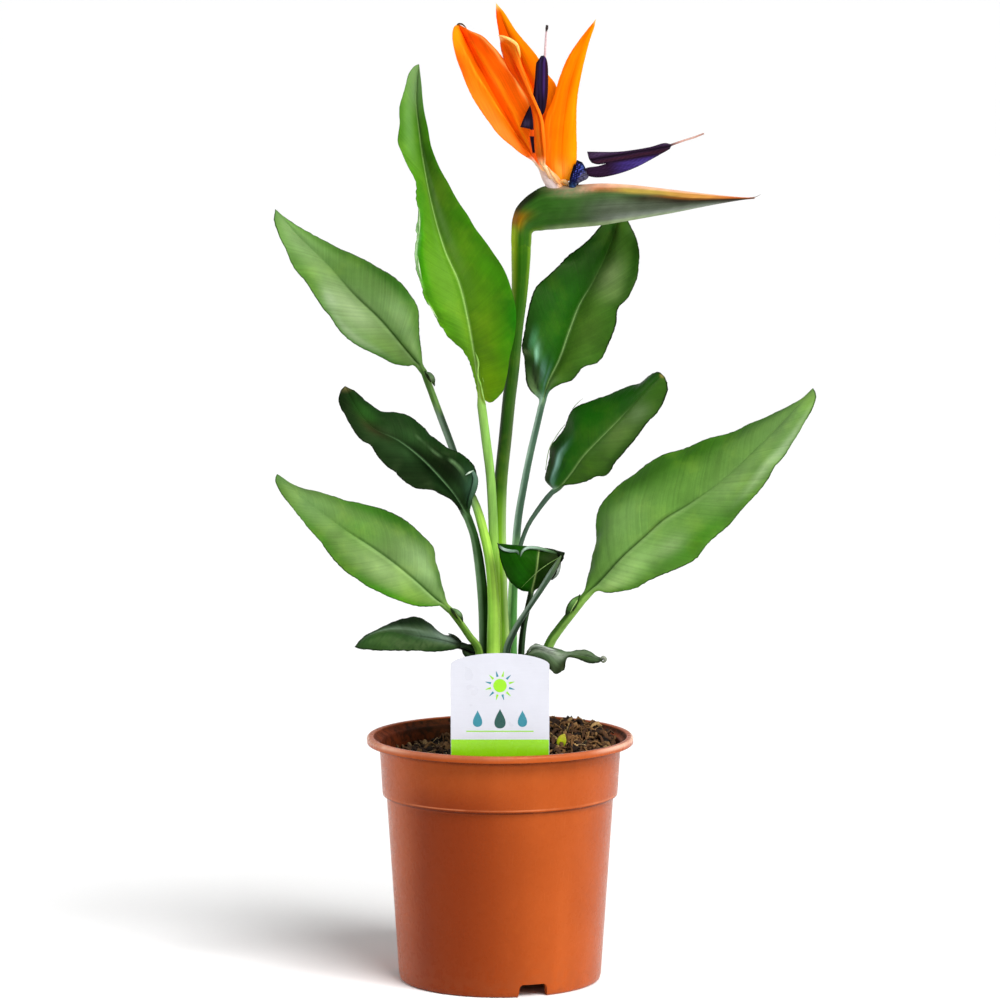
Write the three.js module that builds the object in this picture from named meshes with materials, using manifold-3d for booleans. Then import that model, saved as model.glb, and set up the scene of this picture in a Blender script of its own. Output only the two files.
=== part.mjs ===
// A flowering bird of paradise plant in a nursery pot, in millimetres, +Z up.
// The foot of the pot stands on z = 0 and the origin is under the middle of the whole plant,
// so the pot's axis lies beside it, at AXIS_X.
import * as THREE from "three";
import { mergeVertices } from "three/addons/utils/BufferGeometryUtils.js";
import Module from "manifold-3d";

// ---- driving dimensions ----
const AXIS_X = -25.1; // pot axis, from the middle of the plant's box
const RIM_RADIUS = 85; // outer edge of the flange
const RIM_Z = 157; // top of the pot
const LIP_HEIGHT = 4.6;
const COLLAR_TOP_RADIUS = 77.4;
const COLLAR_FOOT_RADIUS = 75.1;
const COLLAR_FOOT_Z = 120;
const BODY_TOP_RADIUS = 72.4;
const BODY_FOOT_RADIUS = 64.8;
const FOOT_RING_INNER = 60;
const FOOT_RING_OUTER = 62.6; // flat ring that the pot stands on
const WALL = 1.7;
const FLOOR_Z = 8.4; // underside of the raised floor
const FLOOR_THICK = 2;
const NOTCH_WIDTH = 19;
const NOTCH_HEIGHT = 8.2;
const NOTCH_ANGLES = [-71, 49, 169]; // degrees from +X, seen from above
const DRAIN_RADIUS = 4.5;
const DRAIN_CIRCLE = 42;
const DRAINS = 8;
const POT_SEGMENTS = 60;
const SOIL_Z = 146; // mean height of the potting mix
const CLEAR = 0.4; // room round a buried end
const BLADE = 1.3; // thickness of a leaf blade
const PETAL = 1.5; // thickness of a sepal
const CARD_WIDTH = 61.6;
const CARD_FOOT_Z = 149;
const CARD_SHOULDER_Z = 212.4;
const CARD_CROWN_Z = 219.4;
const CARD_THICK = 0.9;
const CARD_Y = -66;
const STAKE_WIDTH = 13;
const STAKE_FOOT_Z = 118;

// Leaves: the stalk is [x, y, z, radius] from the buried end up to the blade. The rib is the
// midrib, left and right are the blade's two margins, each from the blade's foot to its tip,
// all measured from the pot's axis.
const LEAVES = {
  leaf_tall_upright: {
    tone: "light",
    stalk: [[-2.5, -9.5, 124, 3.4], [-2.5, -9.3, 150, 3.6], [-2.2, -9, 219.5, 3.4], [-2.5, -10, 245.3, 3.2], [-3.5, -11, 271, 3.1], [-4.4, -12.5, 296.7, 3], [-6, -14.5, 324.9, 2.9], [-8.8, -17, 348, 2.9], [-11.6, -19, 370.3, 2.8]],
    rib: [[-12.3, -19, 376], [-16.9, -23, 407.9], [-20.7, -25, 428.2], [-25.7, -26, 448.3], [-34.4, -26, 468.3], [-42.5, -24, 495.8], [-47.6, -20, 521.2], [-50.7, -15, 542.9], [-52.7, -9, 561.4], [-50.9, 0, 583.7]],
    left: [[-13.8, -19, 376], [-18.9, -21, 396.4], [-23.2, -23, 404.7], [-33.2, -27, 414.5], [-41.3, -31, 428.6], [-49.3, -34, 444.5], [-53, -35, 467.6], [-50.8, -33, 496.2], [-53.7, -30, 511.6], [-62.4, -25, 532], [-63.1, -19, 549.9], [-58.9, -10, 572.7], [-54.6, -3, 581.9], [-50.9, 0, 583.7]],
    right: [[-10.7, -19, 375.4], [-8.2, -21, 378.1], [-5, -24, 381.2], [-0.9, -27, 384.6], [1.3, -29.5, 393.3], [4.1, -31.5, 404.8], [7.5, -32.5, 415.5], [9.7, -33, 426.2], [9.4, -34, 436.3], [4.4, -35, 452], [-4.4, -35, 467.6], [-16.8, -33, 485], [-30, -29, 506], [-41.2, -24, 528.8], [-46.9, -17, 551], [-49.2, -9, 570.8], [-50.9, 0, 583.7]],
  },
  leaf_upper_left: {
    tone: "matte",
    stalk: [[-7, 5, 124, 3.6], [-6.8, 4.6, 150, 3.7], [-6.7, 3.5, 214.5, 3.3], [-7.3, 3.5, 243.5, 3.2], [-10.2, 4, 269.1, 3], [-14, 5, 291.4, 2.8], [-19.1, 8, 307.1, 2.5], [-24.2, 10, 321, 2.4], [-30.6, 12, 340.6, 2.3], [-38.2, 14, 360.9, 2.3], [-44.5, 15, 378, 2.2]],
    rib: [[-48.4, 16, 388.2], [-59.2, 20, 401.2], [-76.5, 27, 421.1], [-93.3, 33, 436.7], [-112, 40, 456.7], [-129.4, 46, 473], [-144.2, 50, 490.1]],
    left: [[-49.3, 15, 387.6], [-55.3, 13, 392.3], [-59.1, 12, 391.7], [-67.4, 12, 393.6], [-76.3, 13, 398], [-89, 15, 404.2], [-101.8, 18, 414.2], [-112.1, 22, 427.3], [-124.3, 28, 444.7], [-136.1, 36, 463.4], [-144.6, 44, 482.1], [-144.2, 50, 490.1]],
    right: [[-47.4, 16, 389.4], [-50.3, 20, 403.2], [-51.6, 23, 418.3], [-51.9, 25, 427], [-59.3, 30, 439.5], [-67.7, 34, 447.5], [-80.6, 38, 454.9], [-93.5, 42, 461.1], [-105.7, 44, 466.7], [-125, 48, 476.7], [-139.1, 50, 485.6], [-144.2, 50, 490.1]],
  },
  leaf_mid_left: {
    tone: "dark",
    stalk: [[-9, -4, 124, 3], [-9.2, -4, 150, 3.1], [-10.2, -4, 215.6, 2.9], [-11.4, -6, 244.8, 2.8], [-13.9, -9, 270.7, 2.6], [-16.5, -12, 287.1, 2.4]],
    rib: [[-20.2, -15, 298.2], [-27.8, -18, 311.9], [-36.5, -21, 323], [-49.1, -25, 336.8], [-63.4, -30, 348.6], [-80.2, -36, 358.1], [-89.4, -40, 369.8], [-96.8, -42, 384.4]],
    left: [[-21.5, -16, 297.1], [-25.9, -19, 305.1], [-31.5, -23, 311.2], [-37.7, -27, 314.8], [-44, -30, 317.4], [-53.3, -34, 319.4], [-59.5, -37, 323.5], [-65.1, -39, 328.8], [-73.8, -42, 337.9], [-81.2, -44, 346.9], [-89.3, -45, 354.5], [-96.1, -45, 364.6], [-100.5, -44, 373.9], [-99.6, -43, 381.3], [-96.8, -42, 384.4]],
    right: [[-18.3, -15, 298.9], [-17.1, -14, 309.6], [-15.8, -13, 316.5], [-14.5, -12, 323.3], [-15.8, -12, 329.7], [-18.9, -13, 334.9], [-25.2, -15, 339.5], [-32.8, -17, 342.9], [-42.2, -19, 350.7], [-50.3, -21, 358.5], [-57.8, -24, 364.5], [-65.9, -27, 366.6], [-74.6, -31, 367.7], [-82.6, -36, 373.8], [-90.6, -41, 381.1], [-96.8, -42, 384.4]],
  },
  leaf_lower_left: {
    tone: "matte",
    stalk: [[-11.5, -13.5, 124, 2.6], [-11.8, -13.8, 150, 2.7], [-12.2, -14.5, 190, 2.6], [-13.9, -15.5, 215.3, 2.5], [-19, -17, 222.6, 2.3], [-24.7, -19, 231.2, 2.2]],
    rib: [[-31, -21, 239.8], [-40.4, -22, 247.5], [-54.2, -25, 260.7], [-68, -28, 272.5], [-81.1, -32, 282.5], [-100.4, -38, 295.9], [-120.1, -45, 311.8], [-139, -52, 330.2]],
    left: [[-32.2, -22, 239.3], [-37.2, -25, 243.2], [-42.3, -27, 243.1], [-53.5, -31, 244.3], [-61.7, -34, 247.2], [-72.3, -37, 252.1], [-86, -40, 260.1], [-100.9, -43, 271.2], [-113.2, -47, 287.5], [-122.4, -50, 299.2], [-131.6, -53, 311.5], [-140.2, -54, 326.6], [-139, -52, 330.2]],
    right: [[-30.4, -20, 240.9], [-34.2, -17, 248.8], [-38, -13, 260.4], [-40.5, -11, 269.1], [-41.8, -10, 278.5], [-51.9, -12, 290.2], [-63.8, -16, 299.6], [-77.6, -20, 305.2], [-95.7, -26, 310.3], [-118.5, -36, 318.4], [-131.9, -46, 324.5], [-139, -52, 330.2]],
  },
  leaf_low_left_small: {
    tone: "grey",
    stalk: [[-16.5, -4, 124, 2.2], [-16.5, -4.4, 150, 2.3], [-16.5, -7, 195, 2.3], [-15.2, -9, 209.3, 2.3], [-18.7, -10, 213.6, 2.4]],
    rib: [[-24.1, -11, 216], [-34.9, -13, 219.5], [-44.4, -15, 221.7], [-57, -18, 224], [-69.5, -22, 226.5], [-80.8, -26, 224.5], [-91.8, -30, 218.1]],
    left: [[-24.7, -12, 214.5], [-34.9, -15, 213.3], [-44.3, -19, 213.3], [-53.7, -23, 214.5], [-63.2, -26, 214.9], [-72.6, -28, 215.2], [-82, -30, 216.2], [-88.9, -30, 216.8], [-91.8, -30, 218.1]],
    right: [[-24.4, -10, 218.4], [-30.5, -9, 222.1], [-36.2, -9, 223.4], [-40, -9, 225.9], [-45.1, -9, 230.4], [-53.3, -9, 234.6], [-62.1, -12, 233.1], [-70.9, -16, 230.8], [-79.1, -21, 227.6], [-87.1, -26, 223.2], [-91.8, -30, 218.1]],
  },
  leaf_upper_right: {
    tone: "gloss",
    stalk: [[7.5, 9.5, 124, 3.5], [7.5, 9.3, 150, 3.5], [7.7, 9, 217, 3.2], [8, 9.5, 242.7, 3.1], [9.6, 10, 268.4, 2.7], [11.5, 12, 293.8, 2.4], [14.7, 13, 313, 2.3], [19.1, 15, 335.2, 2.2], [23.6, 17, 354.2, 2.1]],
    rib: [[26.4, 18, 366.3], [31.2, 20, 382.1], [38.2, 22, 396.6], [44, 25, 413], [51, 28, 430.7], [59.4, 31, 444.5], [67.7, 34, 461.6], [74.1, 38, 479.9], [76.1, 42, 495]],
    left: [[25.5, 18, 365.6], [23.6, 16, 370.3], [17.8, 13, 379.5], [16.5, 11, 389.2], [14, 10, 403.3], [16.5, 11, 415.3], [18.4, 13, 430.5], [22.2, 15, 440.5], [31.8, 19, 451], [44.5, 24, 462.2], [57.3, 29, 472.7], [65.1, 34, 481.4], [71.5, 38, 489.4], [76.1, 42, 495]],
    right: [[28, 18, 366.9], [31.2, 16, 375.4], [38.2, 14, 380.7], [45.8, 13, 383.3], [53.4, 13, 391.6], [61.7, 13, 394.8], [69.3, 14, 406.2], [73.7, 16, 418.1], [75, 18, 428.2], [81.4, 18, 434.6], [86.5, 21, 445.8], [89.1, 25, 460.2], [87.3, 30, 471.4], [82.3, 36, 482.5], [79.2, 39, 490], [76.1, 42, 495]],
  },
  leaf_mid_right: {
    tone: "gloss",
    stalk: [[10.5, 1.5, 124, 2.3], [10, 1.8, 150, 2.3], [8.6, 2, 214.7, 2.2], [8.9, 2, 243.7, 2], [10.8, 1, 269.5, 1.6], [13.4, 1, 280.4, 1.5], [17.8, 0, 292, 1.5], [23.5, -1, 301.1, 1.6], [29.2, -2, 308.9, 1.8]],
    rib: [[33, -3, 313.4], [38, -4, 316.7], [45, -6, 325.2], [53.1, -8, 336.9], [63.2, -11, 348], [73.8, -15, 359.2], [84.9, -20, 371.7], [94.2, -25, 382.2], [102.2, -29, 390.1]],
    left: [[31.7, -2, 312.7], [29.8, 0, 315.7], [28.6, 3, 322.4], [31.1, 5, 332.4], [31.8, 6, 341.2], [36.2, 6, 347], [40, 6, 352.1], [42.5, 5, 359.8], [46.3, 5, 365.6], [55.8, 3, 370.2], [67.1, 0, 374.9], [77.2, -4, 379.1], [87.1, -10, 383.4], [94.4, -18, 389.2], [99.8, -26, 391.8], [102.2, -29, 390.1]],
    right: [[34.2, -4, 314.2], [39.3, -6, 317.6], [48.7, -10, 319.3], [56.8, -14, 322.3], [61.2, -16, 325], [66.2, -18, 325.3], [72.4, -21, 333.2], [78.6, -24, 341.7], [86.7, -27, 352.1], [93.5, -29, 360.5], [100.3, -31, 369.5], [105.3, -31, 380.9], [104, -30, 387.7], [102.2, -29, 390.1]],
  },
  leaf_lower_right: {
    tone: "matte",
    stalk: [[17.5, -3, 124, 3.2], [18, -3.2, 150, 3.2], [22, -4, 185, 3.2], [31.8, -6, 217.2, 3.1], [38.1, -9, 227.2, 2.9], [45, -12, 236.6, 2.8]],
    rib: [[51.9, -15, 246], [65.1, -18, 260.4], [77, -21, 274.2], [91.4, -24, 287.9], [103.2, -27, 299], [117.5, -31, 308.3], [137.9, -37, 323.5], [159.3, -44, 344.4], [177.6, -50, 363.8], [194.5, -56, 384.3]],
    left: [[50.7, -14, 246.5], [55.2, -8, 259.7], [58.4, -2, 273.7], [61.4, 3, 289.1], [62, 5, 301], [71.2, 4, 312.7], [80, 2, 321.8], [91.9, -2, 331.2], [103.8, -7, 338.1], [121.8, -14, 344.5], [145.3, -24, 354.4], [168.4, -36, 365.6], [189.3, -50, 377.6], [194.5, -56, 384.3]],
    right: [[53.5, -16, 246.1], [61.3, -21, 252.5], [68.2, -24, 251.6], [83.8, -30, 255], [93.7, -34, 261.2], [108.6, -38, 267.4], [122.8, -43, 276.3], [132.6, -47, 288.1], [149.8, -52, 305.7], [163.8, -56, 323.7], [177.8, -59, 344.7], [190.6, -60, 366], [196.3, -58, 380.2], [194.5, -56, 384.3]],
  },
  leaf_front_folded: {
    tone: "dark",
    stalk: [[12.8, -12.5, 124, 2.2], [13, -13, 150, 2.2], [13.3, -15, 195, 2.1], [13.6, -17, 215.6, 2.1], [15.2, -22, 231, 1.9], [17.7, -28, 243.9, 1.8]],
    rib: [[19.5, -32, 252.7], [21.4, -36, 260.8], [23.2, -39, 269.4], [23.9, -38, 275.6], [24.5, -33, 279.5], [25.2, -25, 280.1], [25.9, -17, 275.6], [26.6, -13, 269.3]],
    left: [[18.6, -32, 252.1], [12.6, -34, 254.9], [6.9, -36, 259.6], [3.1, -37, 266], [0.6, -36, 272.9], [-0.6, -33, 279.5], [-1.3, -29, 283.4], [6.3, -22, 280], [15.8, -15, 275.3], [26.6, -13, 269.3]],
    right: [[20.5, -32, 253.3], [28.3, -34, 258.7], [33.9, -36, 263.4], [36.4, -36, 269.1], [39, -34, 273.9], [40.9, -31, 277.9], [39.7, -24, 277.1], [33.5, -16, 273.5], [26.6, -13, 269.3]],
  },
  leaf_low_right_twisted: {
    tone: "grey",
    stalk: [[14.5, -21.5, 124, 2.1], [14.5, -21.8, 150, 2.1], [14.5, -23, 185, 2.1], [13.9, -26, 204.1, 2.1], [15.5, -28, 209.5, 2.1]],
    rib: [[17.7, -29, 212.8], [24, -30, 214.9], [31.5, -31, 213.8], [37.8, -31, 212.5], [42.9, -32, 213.3], [47.9, -33, 213.4], [54.2, -34, 212.9], [61.1, -35, 211.2], [65.8, -36, 211.3]],
    left: [[18.3, -28, 214], [22.1, -24, 218.5], [28.5, -23, 217.7], [35.4, -24, 216.6], [42.9, -28, 215.2], [49.2, -31, 216.3], [54.8, -33, 216.6], [61.1, -35, 213.1], [65.8, -36, 211.3]],
    right: [[18.9, -30, 211.7], [25.2, -35, 209.9], [30.8, -40, 206.2], [35.2, -42, 202.7], [40.3, -40, 206.2], [42.2, -36, 211.9], [48.5, -35, 211.2], [55.4, -35, 208.6], [61.7, -36, 208.8], [65.8, -36, 211.3]],
  },
};

const YOUNG_LEAF = [[4.8, -12.5, 124, 2.5], [4.8, -13, 150, 2.5], [4.6, -14, 195, 2.5], [4.4, -15.5, 214.1, 2.4], [8.9, -21, 226.4, 2.1], [13.9, -30, 236.5, 1.8], [18.8, -40, 245.5, 1.7], [25.7, -49, 257.5, 2], [31.9, -54, 268.2, 2.1], [35.6, -56, 274.8, 1.4], [38, -57, 279.3, 0.5]];

const SCAPE = [[1.5, 0, 124, 4.4], [1.6, 0, 150, 4.4], [1.9, 0, 215, 4.3], [0.6, 0, 244, 4.2], [0, 0, 269.6, 4.2], [-0.3, 0, 295.2, 4.1], [0.6, 0, 320.8, 4.1], [3.2, 0, 346.3, 4.1], [5.7, 0, 371.7, 4.1], [7.9, 0, 390.8, 4.2], [10.1, 0, 416.2, 4.3], [12, 0, 435.2, 4.8], [12.9, 0, 451, 5.5], [13.3, 0, 465.5, 6]];

// Sepals, in the same form as the leaves.
const SEPALS = {
  sepal_left_boat: {
    stalk: [[30.2, 0, 512.8, 1.6], [26.5, 0.6, 517.8, 1.7]],
    rib: [[23.3, 1, 521.6], [12.6, 1.5, 536], [3.1, 3, 551.7], [-6.3, 3, 568.6], [-16.3, 2, 587.4], [-26.3, -5, 608.8]],
    left: [[21.7, 0, 522.2], [10.7, -5, 529.7], [-3.1, -10, 542.7], [-16.9, -14, 562.8], [-26.3, -15, 584.7], [-30, -11, 602], [-28.8, -7, 607], [-26.3, -5, 608.8]],
    right: [[24.6, 0.5, 522.2], [19.5, -2.5, 539.3], [17, -4, 550], [16.3, -6, 560.1], [9.4, -8.5, 572.7], [2.5, -9.5, 583.9], [-3.1, -10, 593.3], [-10, -9, 600.7], [-19.4, -7, 605.1], [-26.3, -5, 608.8]],
  },
  sepal_back: {
    stalk: [[32.2, 3, 512.7, 1.6], [32.5, 4.5, 517, 1.7]],
    rib: [[32.2, 6, 521.4], [28.4, 8, 542.1], [22.1, 10, 564], [12, 12, 587.2], [3.8, 13, 604.8], [-2.5, 14, 621.7]],
    left: [[30.3, 5, 521.4], [18.9, 6, 548.4], [7.6, 7, 573.5], [1.9, 9, 589.2], [-0.6, 11, 601.7], [-2.5, 13, 614.2], [-2.5, 14, 621.7]],
    right: [[34.1, 6, 521.4], [35.9, 5, 548.5], [35.3, 5, 569.8], [29.6, 7, 577.9], [23.9, 8, 587.9], [10.7, 11, 603.6], [2.5, 13, 616.1], [-2.5, 14, 621.7]],
  },
  sepal_front_folded: {
    stalk: [[32.1, -5.2, 512.4, 1.2], [29.5, -6.6, 516.9, 1.3]],
    rib: [[27.3, -7.6, 520.7], [26.3, -12, 533.4], [23.8, -14.5, 550.3], [19.4, -13, 564], [13.2, -11, 576.5], [6.9, -10.5, 588.9], [0, -12, 600.8]],
    left: [[26.1, -7, 520.6], [22.6, -10, 530.2], [21.9, -13, 542.8], [21.3, -12.5, 552.2], [18.8, -10, 562.7], [10.7, -6, 573.8], [3.1, -5, 585.1], [0.6, -8, 593.9], [0, -12, 600.8]],
    right: [[28.6, -8.2, 520.7], [29.5, -12, 530.3], [29.4, -15, 539.7], [28.2, -16, 550.4], [25, -16, 558.5], [20.6, -15.5, 567.2], [16.3, -15, 579.1], [11.9, -15, 590.3], [8.8, -14, 597.1], [0, -12, 600.8]],
  },
  sepal_right: {
    stalk: [[41.9, 1, 502.7, 1.8], [41, 0.8, 507.1, 1.9]],
    rib: [[39.7, 0.6, 512.1], [39.1, 1, 529.7], [40.9, 3, 551.7], [44.7, 4, 573.6], [50.9, 3, 592.4], [60.3, 0, 611.9]],
    left: [[37.2, -1, 513.5], [30.8, -5, 530], [29.5, -5, 545.7], [33.3, -3, 561.3], [37.7, -2, 576.3], [42.7, -1, 588.1], [50.2, 0, 599.4], [60.3, 0, 611.9]],
    right: [[42.2, 0, 511.5], [47.2, -2, 520.4], [47.8, -4, 542.5], [48.4, -4, 561.3], [51.5, -3, 578.8], [55.9, -1, 596.9], [59, 0, 606.2], [60.3, 0, 611.9]],
  },
};

// Perianth tube at the foot of the first floret: x, y, z, radius.
const FLORET_TUBE = [[34, 0, 500.8, 3.6], [33.4, 0, 505.9, 4.8], [31.5, -0.8, 511.6, 6.6], [29, -1.4, 516.6, 7.4], [28, -1.6, 518.2, 7.2]];
// Outlines of the two arrow petals and of the hood petal: x, mid depth y, z.
const ARROW_UPRIGHT = [[28.2, -9, 589.5], [29.8, -9, 584.5], [30.1, -9, 569.5], [29.5, -8.5, 561.4], [27.6, -8, 553.3], [23.9, -7.5, 548.9], [22, -7.6, 542.6], [22, -6.8, 536.3], [22, -5, 528.7], [26.4, -4, 521.8], [29.9, -3, 515.5], [28.3, -3, 514.2], [23.9, -4, 520.5], [19.5, -5, 528.1], [18.2, -7, 537.6], [19.1, -7.8, 543.2], [12.6, -7.8, 544.5], [16.3, -8.6, 553.3], [19.4, -9, 559.6], [21.3, -9, 569.5], [22.6, -9, 584.5], [25.7, -9, 588.9]];
const ARROW_SIDEWAYS = [[108.3, 0, 533.2], [103.9, 0, 534.2], [94.4, 0, 531.7], [74.9, 0, 528.8], [54.8, 0, 528.8], [56.1, 0, 524.1], [57.9, 0, 521.6], [61.7, 0, 520.7], [66.8, 0, 521.3], [61.7, 0, 519.7], [55.4, 0, 518.8], [51, 0, 517.2], [47.3, 0.6, 512.1], [45.4, 1, 504.6], [47.9, 1, 503.3], [49.8, 0.6, 509], [52.9, 0, 514.1], [58, 0, 512.8], [63, 0, 512.5], [74.3, 0, 514.7], [85.7, 0, 518.8], [97.6, 0, 525.1], [107, 0, 530.4]];
const HOOD_PETAL = [[48.4, -5, 523.7], [51.6, -5, 522.4], [53.5, -5, 519.3], [54.7, -5, 515.5], [53.5, -5, 511.1], [48.5, -4.6, 508.6], [46.6, -4, 504.2], [44.1, -4, 504.2], [43.4, -4.6, 509.2], [45.3, -5, 516.2]];
const STYLE_UPRIGHT = [[27.6, -9, 580.2, 0.7], [28.2, -9, 591.4, 0.7], [28.6, -9, 598.9, 0.6], [29, -9, 604.5, 0.6], [29.3, -9, 606.4, 0.9], [29.4, -9, 608.2, 0.7]];
const STYLE_SIDEWAYS = [[97.6, 0, 529.5, 0.7], [109.5, 0, 533.6, 0.7], [115.8, 0, 535.8, 0.6], [122.8, 0, 538, 0.6], [128.4, 0, 540.2, 0.5]];
// Sections of the spathe from its neck to its beak: outer edge x, z, inner edge x, z,
// half depth, and depth of the slit that the florets grow out of.
const SPATHE = [[6.9, 466.5, 19.6, 466.5, 6.1, 0], [7.1, 476.9, 19.9, 473.7, 6.4, 0], [7.9, 486.4, 20.2, 477.2, 6.9, 0], [10.1, 493, 21.5, 478.5, 7.5, 0], [15.1, 499, 23.7, 478.9, 8.2, 0], [20.8, 503.4, 26.2, 479, 8.8, 0], [26.5, 506.5, 29, 479.4, 9.4, 0.6], [33.4, 507.5, 34.1, 479.7, 10.1, 2.4], [41.6, 507.5, 41.6, 480.4, 10.6, 3.4], [52.3, 508.1, 52.4, 481.3, 10.2, 3.6], [63.6, 508.7, 63.7, 482.4, 9.4, 3.4], [78.8, 508.1, 78.8, 484.8, 8, 3], [94.5, 506.5, 94.6, 487.6, 6.6, 2.4], [110.3, 504.6, 110.4, 490.4, 5.2, 1.7], [126.1, 502.7, 126.1, 493.6, 3.7, 1], [139.9, 501.2, 140, 496.2, 2.4, 0.4], [152.6, 500.1, 152.6, 498.3, 1.2, 0], [160.1, 499.8, 160.1, 499.1, 0.6, 0]];

// ---- solids ----
const wasm = await Module();
wasm.setup();

function solidOf(geometry) {
  const g = geometry.clone();
  for (const name of Object.keys(g.attributes))
    if (name !== "position") g.deleteAttribute(name);
  const merged = mergeVertices(g, 1e-4);
  return new wasm.Manifold(
    new wasm.Mesh({
      numProp: 3,
      vertProperties: new Float32Array(merged.attributes.position.array),
      triVerts: new Uint32Array(merged.index.array),
    }),
  );
}

function geometryOf(solid) {
  const mesh = solid.getMesh();
  const g = new THREE.BufferGeometry();
  g.setAttribute(
    "position",
    new THREE.BufferAttribute(new Float32Array(mesh.vertProperties), 3),
  );
  g.setIndex(new THREE.BufferAttribute(new Uint32Array(mesh.triVerts), 1));
  return g;
}

// A closed skin through rings of equal point count. Each ring runs anticlockwise as seen from
// the far end; each end closes on its own middle point, or on a given tip.
function skin(rings, tip) {
  const k = rings[0].length;
  const points = rings.flat();
  const faces = [];
  for (let i = 0; i + 1 < rings.length; i++)
    for (let j = 0; j < k; j++) {
      const a = i * k + j,
        b = i * k + ((j + 1) % k);
      faces.push(a, b, b + k, a, b + k, a + k);
    }
  const middle = (ring) =>
    ring
      .reduce((sum, p) => sum.add(p), new THREE.Vector3())
      .multiplyScalar(1 / k);
  const first = points.push(middle(rings[0])) - 1;
  const last = points.push(tip ? tip.clone() : middle(rings.at(-1))) - 1;
  const end = (rings.length - 1) * k;
  for (let j = 0; j < k; j++) {
    const n = (j + 1) % k;
    faces.push(first, n, j, last, end + j, end + n);
  }
  const g = new THREE.BufferGeometry();
  g.setAttribute(
    "position",
    new THREE.Float32BufferAttribute(
      points.flatMap((p) => [p.x, p.y, p.z]),
      3,
    ),
  );
  g.setIndex(faces);
  return g;
}

// Points on a smooth curve through the given points, each at a share of its length.
function sampled(points, stops) {
  const curve = new THREE.CatmullRomCurve3(
    points.map((p) => new THREE.Vector3(p[0], p[1], p[2])),
    false,
    "centripetal",
  );
  curve.arcLengthDivisions = 600;
  return stops.map((u) => curve.getPointAt(u));
}

const evenly = (points, steps) =>
  sampled(
    points,
    Array.from({ length: steps + 1 }, (_, i) => i / steps),
  );

// A value given at each point of a polyline, read at equal steps along it.
function alongRadii(points, steps) {
  const lengths = [0];
  for (let i = 1; i < points.length; i++)
    lengths.push(
      lengths[i - 1] +
        Math.hypot(...[0, 1, 2].map((c) => points[i][c] - points[i - 1][c])),
    );
  const total = lengths.at(-1);
  return Array.from({ length: steps + 1 }, (_, s) => {
    const at = (s / steps) * total;
    let i = 1;
    while (i < points.length - 1 && lengths[i] < at) i++;
    const f = (at - lengths[i - 1]) / (lengths[i] - lengths[i - 1]);
    return points[i - 1][3] + (points[i][3] - points[i - 1][3]) * f;
  });
}

function tangents(points) {
  return points.map((_, i) =>
    points[Math.min(i + 1, points.length - 1)]
      .clone()
      .sub(points[Math.max(i - 1, 0)])
      .normalize(),
  );
}

// Side vectors along a path, carried from its last point to its first without twist.
function carried(path, side) {
  const along = tangents(path);
  const sides = new Array(path.length);
  let s = side.clone();
  for (let i = path.length - 1; i >= 0; i--) {
    s.addScaledVector(along[i], -s.dot(along[i])).normalize();
    sides[i] = s.clone();
  }
  return sides.map((across, i) => ({
    across,
    up: new THREE.Vector3().crossVectors(across, along[i]),
  }));
}

const ANGLES = [180, 144, 108, 72, 36, 0, -36, -72, -108, -144];
const TOP = [-1, -0.6, -0.13, 0.13, 0.6, 1];
const UNDER = [0.6, 0.13, -0.13, -0.6];

function roundRing(centre, frame, radius) {
  return ANGLES.map((degrees) => {
    const a = THREE.MathUtils.degToRad(degrees);
    return centre
      .clone()
      .addScaledVector(frame.across, radius * Math.cos(a))
      .addScaledVector(frame.up, radius * Math.sin(a));
  });
}

// Rings of a round stem; extra widens it and drop lengthens it at its first end.
function stemRings(points, steps, side, extra = 0, drop = 0) {
  const given = points.map((p) => [...p]);
  const step = [0, 1, 2].map((c) => given[1][c] - given[0][c]);
  const far = Math.hypot(...step);
  for (let c = 0; c < 3; c++) given[0][c] -= (step[c] / far) * drop;
  const path = evenly(given, steps);
  const radii = alongRadii(given, steps);
  const frames = carried(path, side);
  return path.map((p, i) => roundRing(p, frames[i], radii[i] + extra));
}

const stem = (points, steps, extra, drop) =>
  skin(stemRings(points, steps, new THREE.Vector3(1, 0, 0), extra, drop));

// The same leaf with its stalk and margins moved outwards, for the hole that it sits in.
function widened({ stalk, rib, left, right }, extra) {
  const outwards = (edge) =>
    edge.map((p, i) => {
      const m = rib[Math.round((i / (edge.length - 1)) * (rib.length - 1))];
      const away = [0, 1, 2].map((c) => p[c] - m[c]);
      const far = Math.hypot(...away) || 1;
      return p.map((v, c) => v + (away[c] / far) * extra);
    });
  return {
    stalk: stalk.map(([x, y, z, r]) => [x, y, z, r + extra]),
    rib,
    left: outwards(left),
    right: outwards(right),
  };
}

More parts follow.
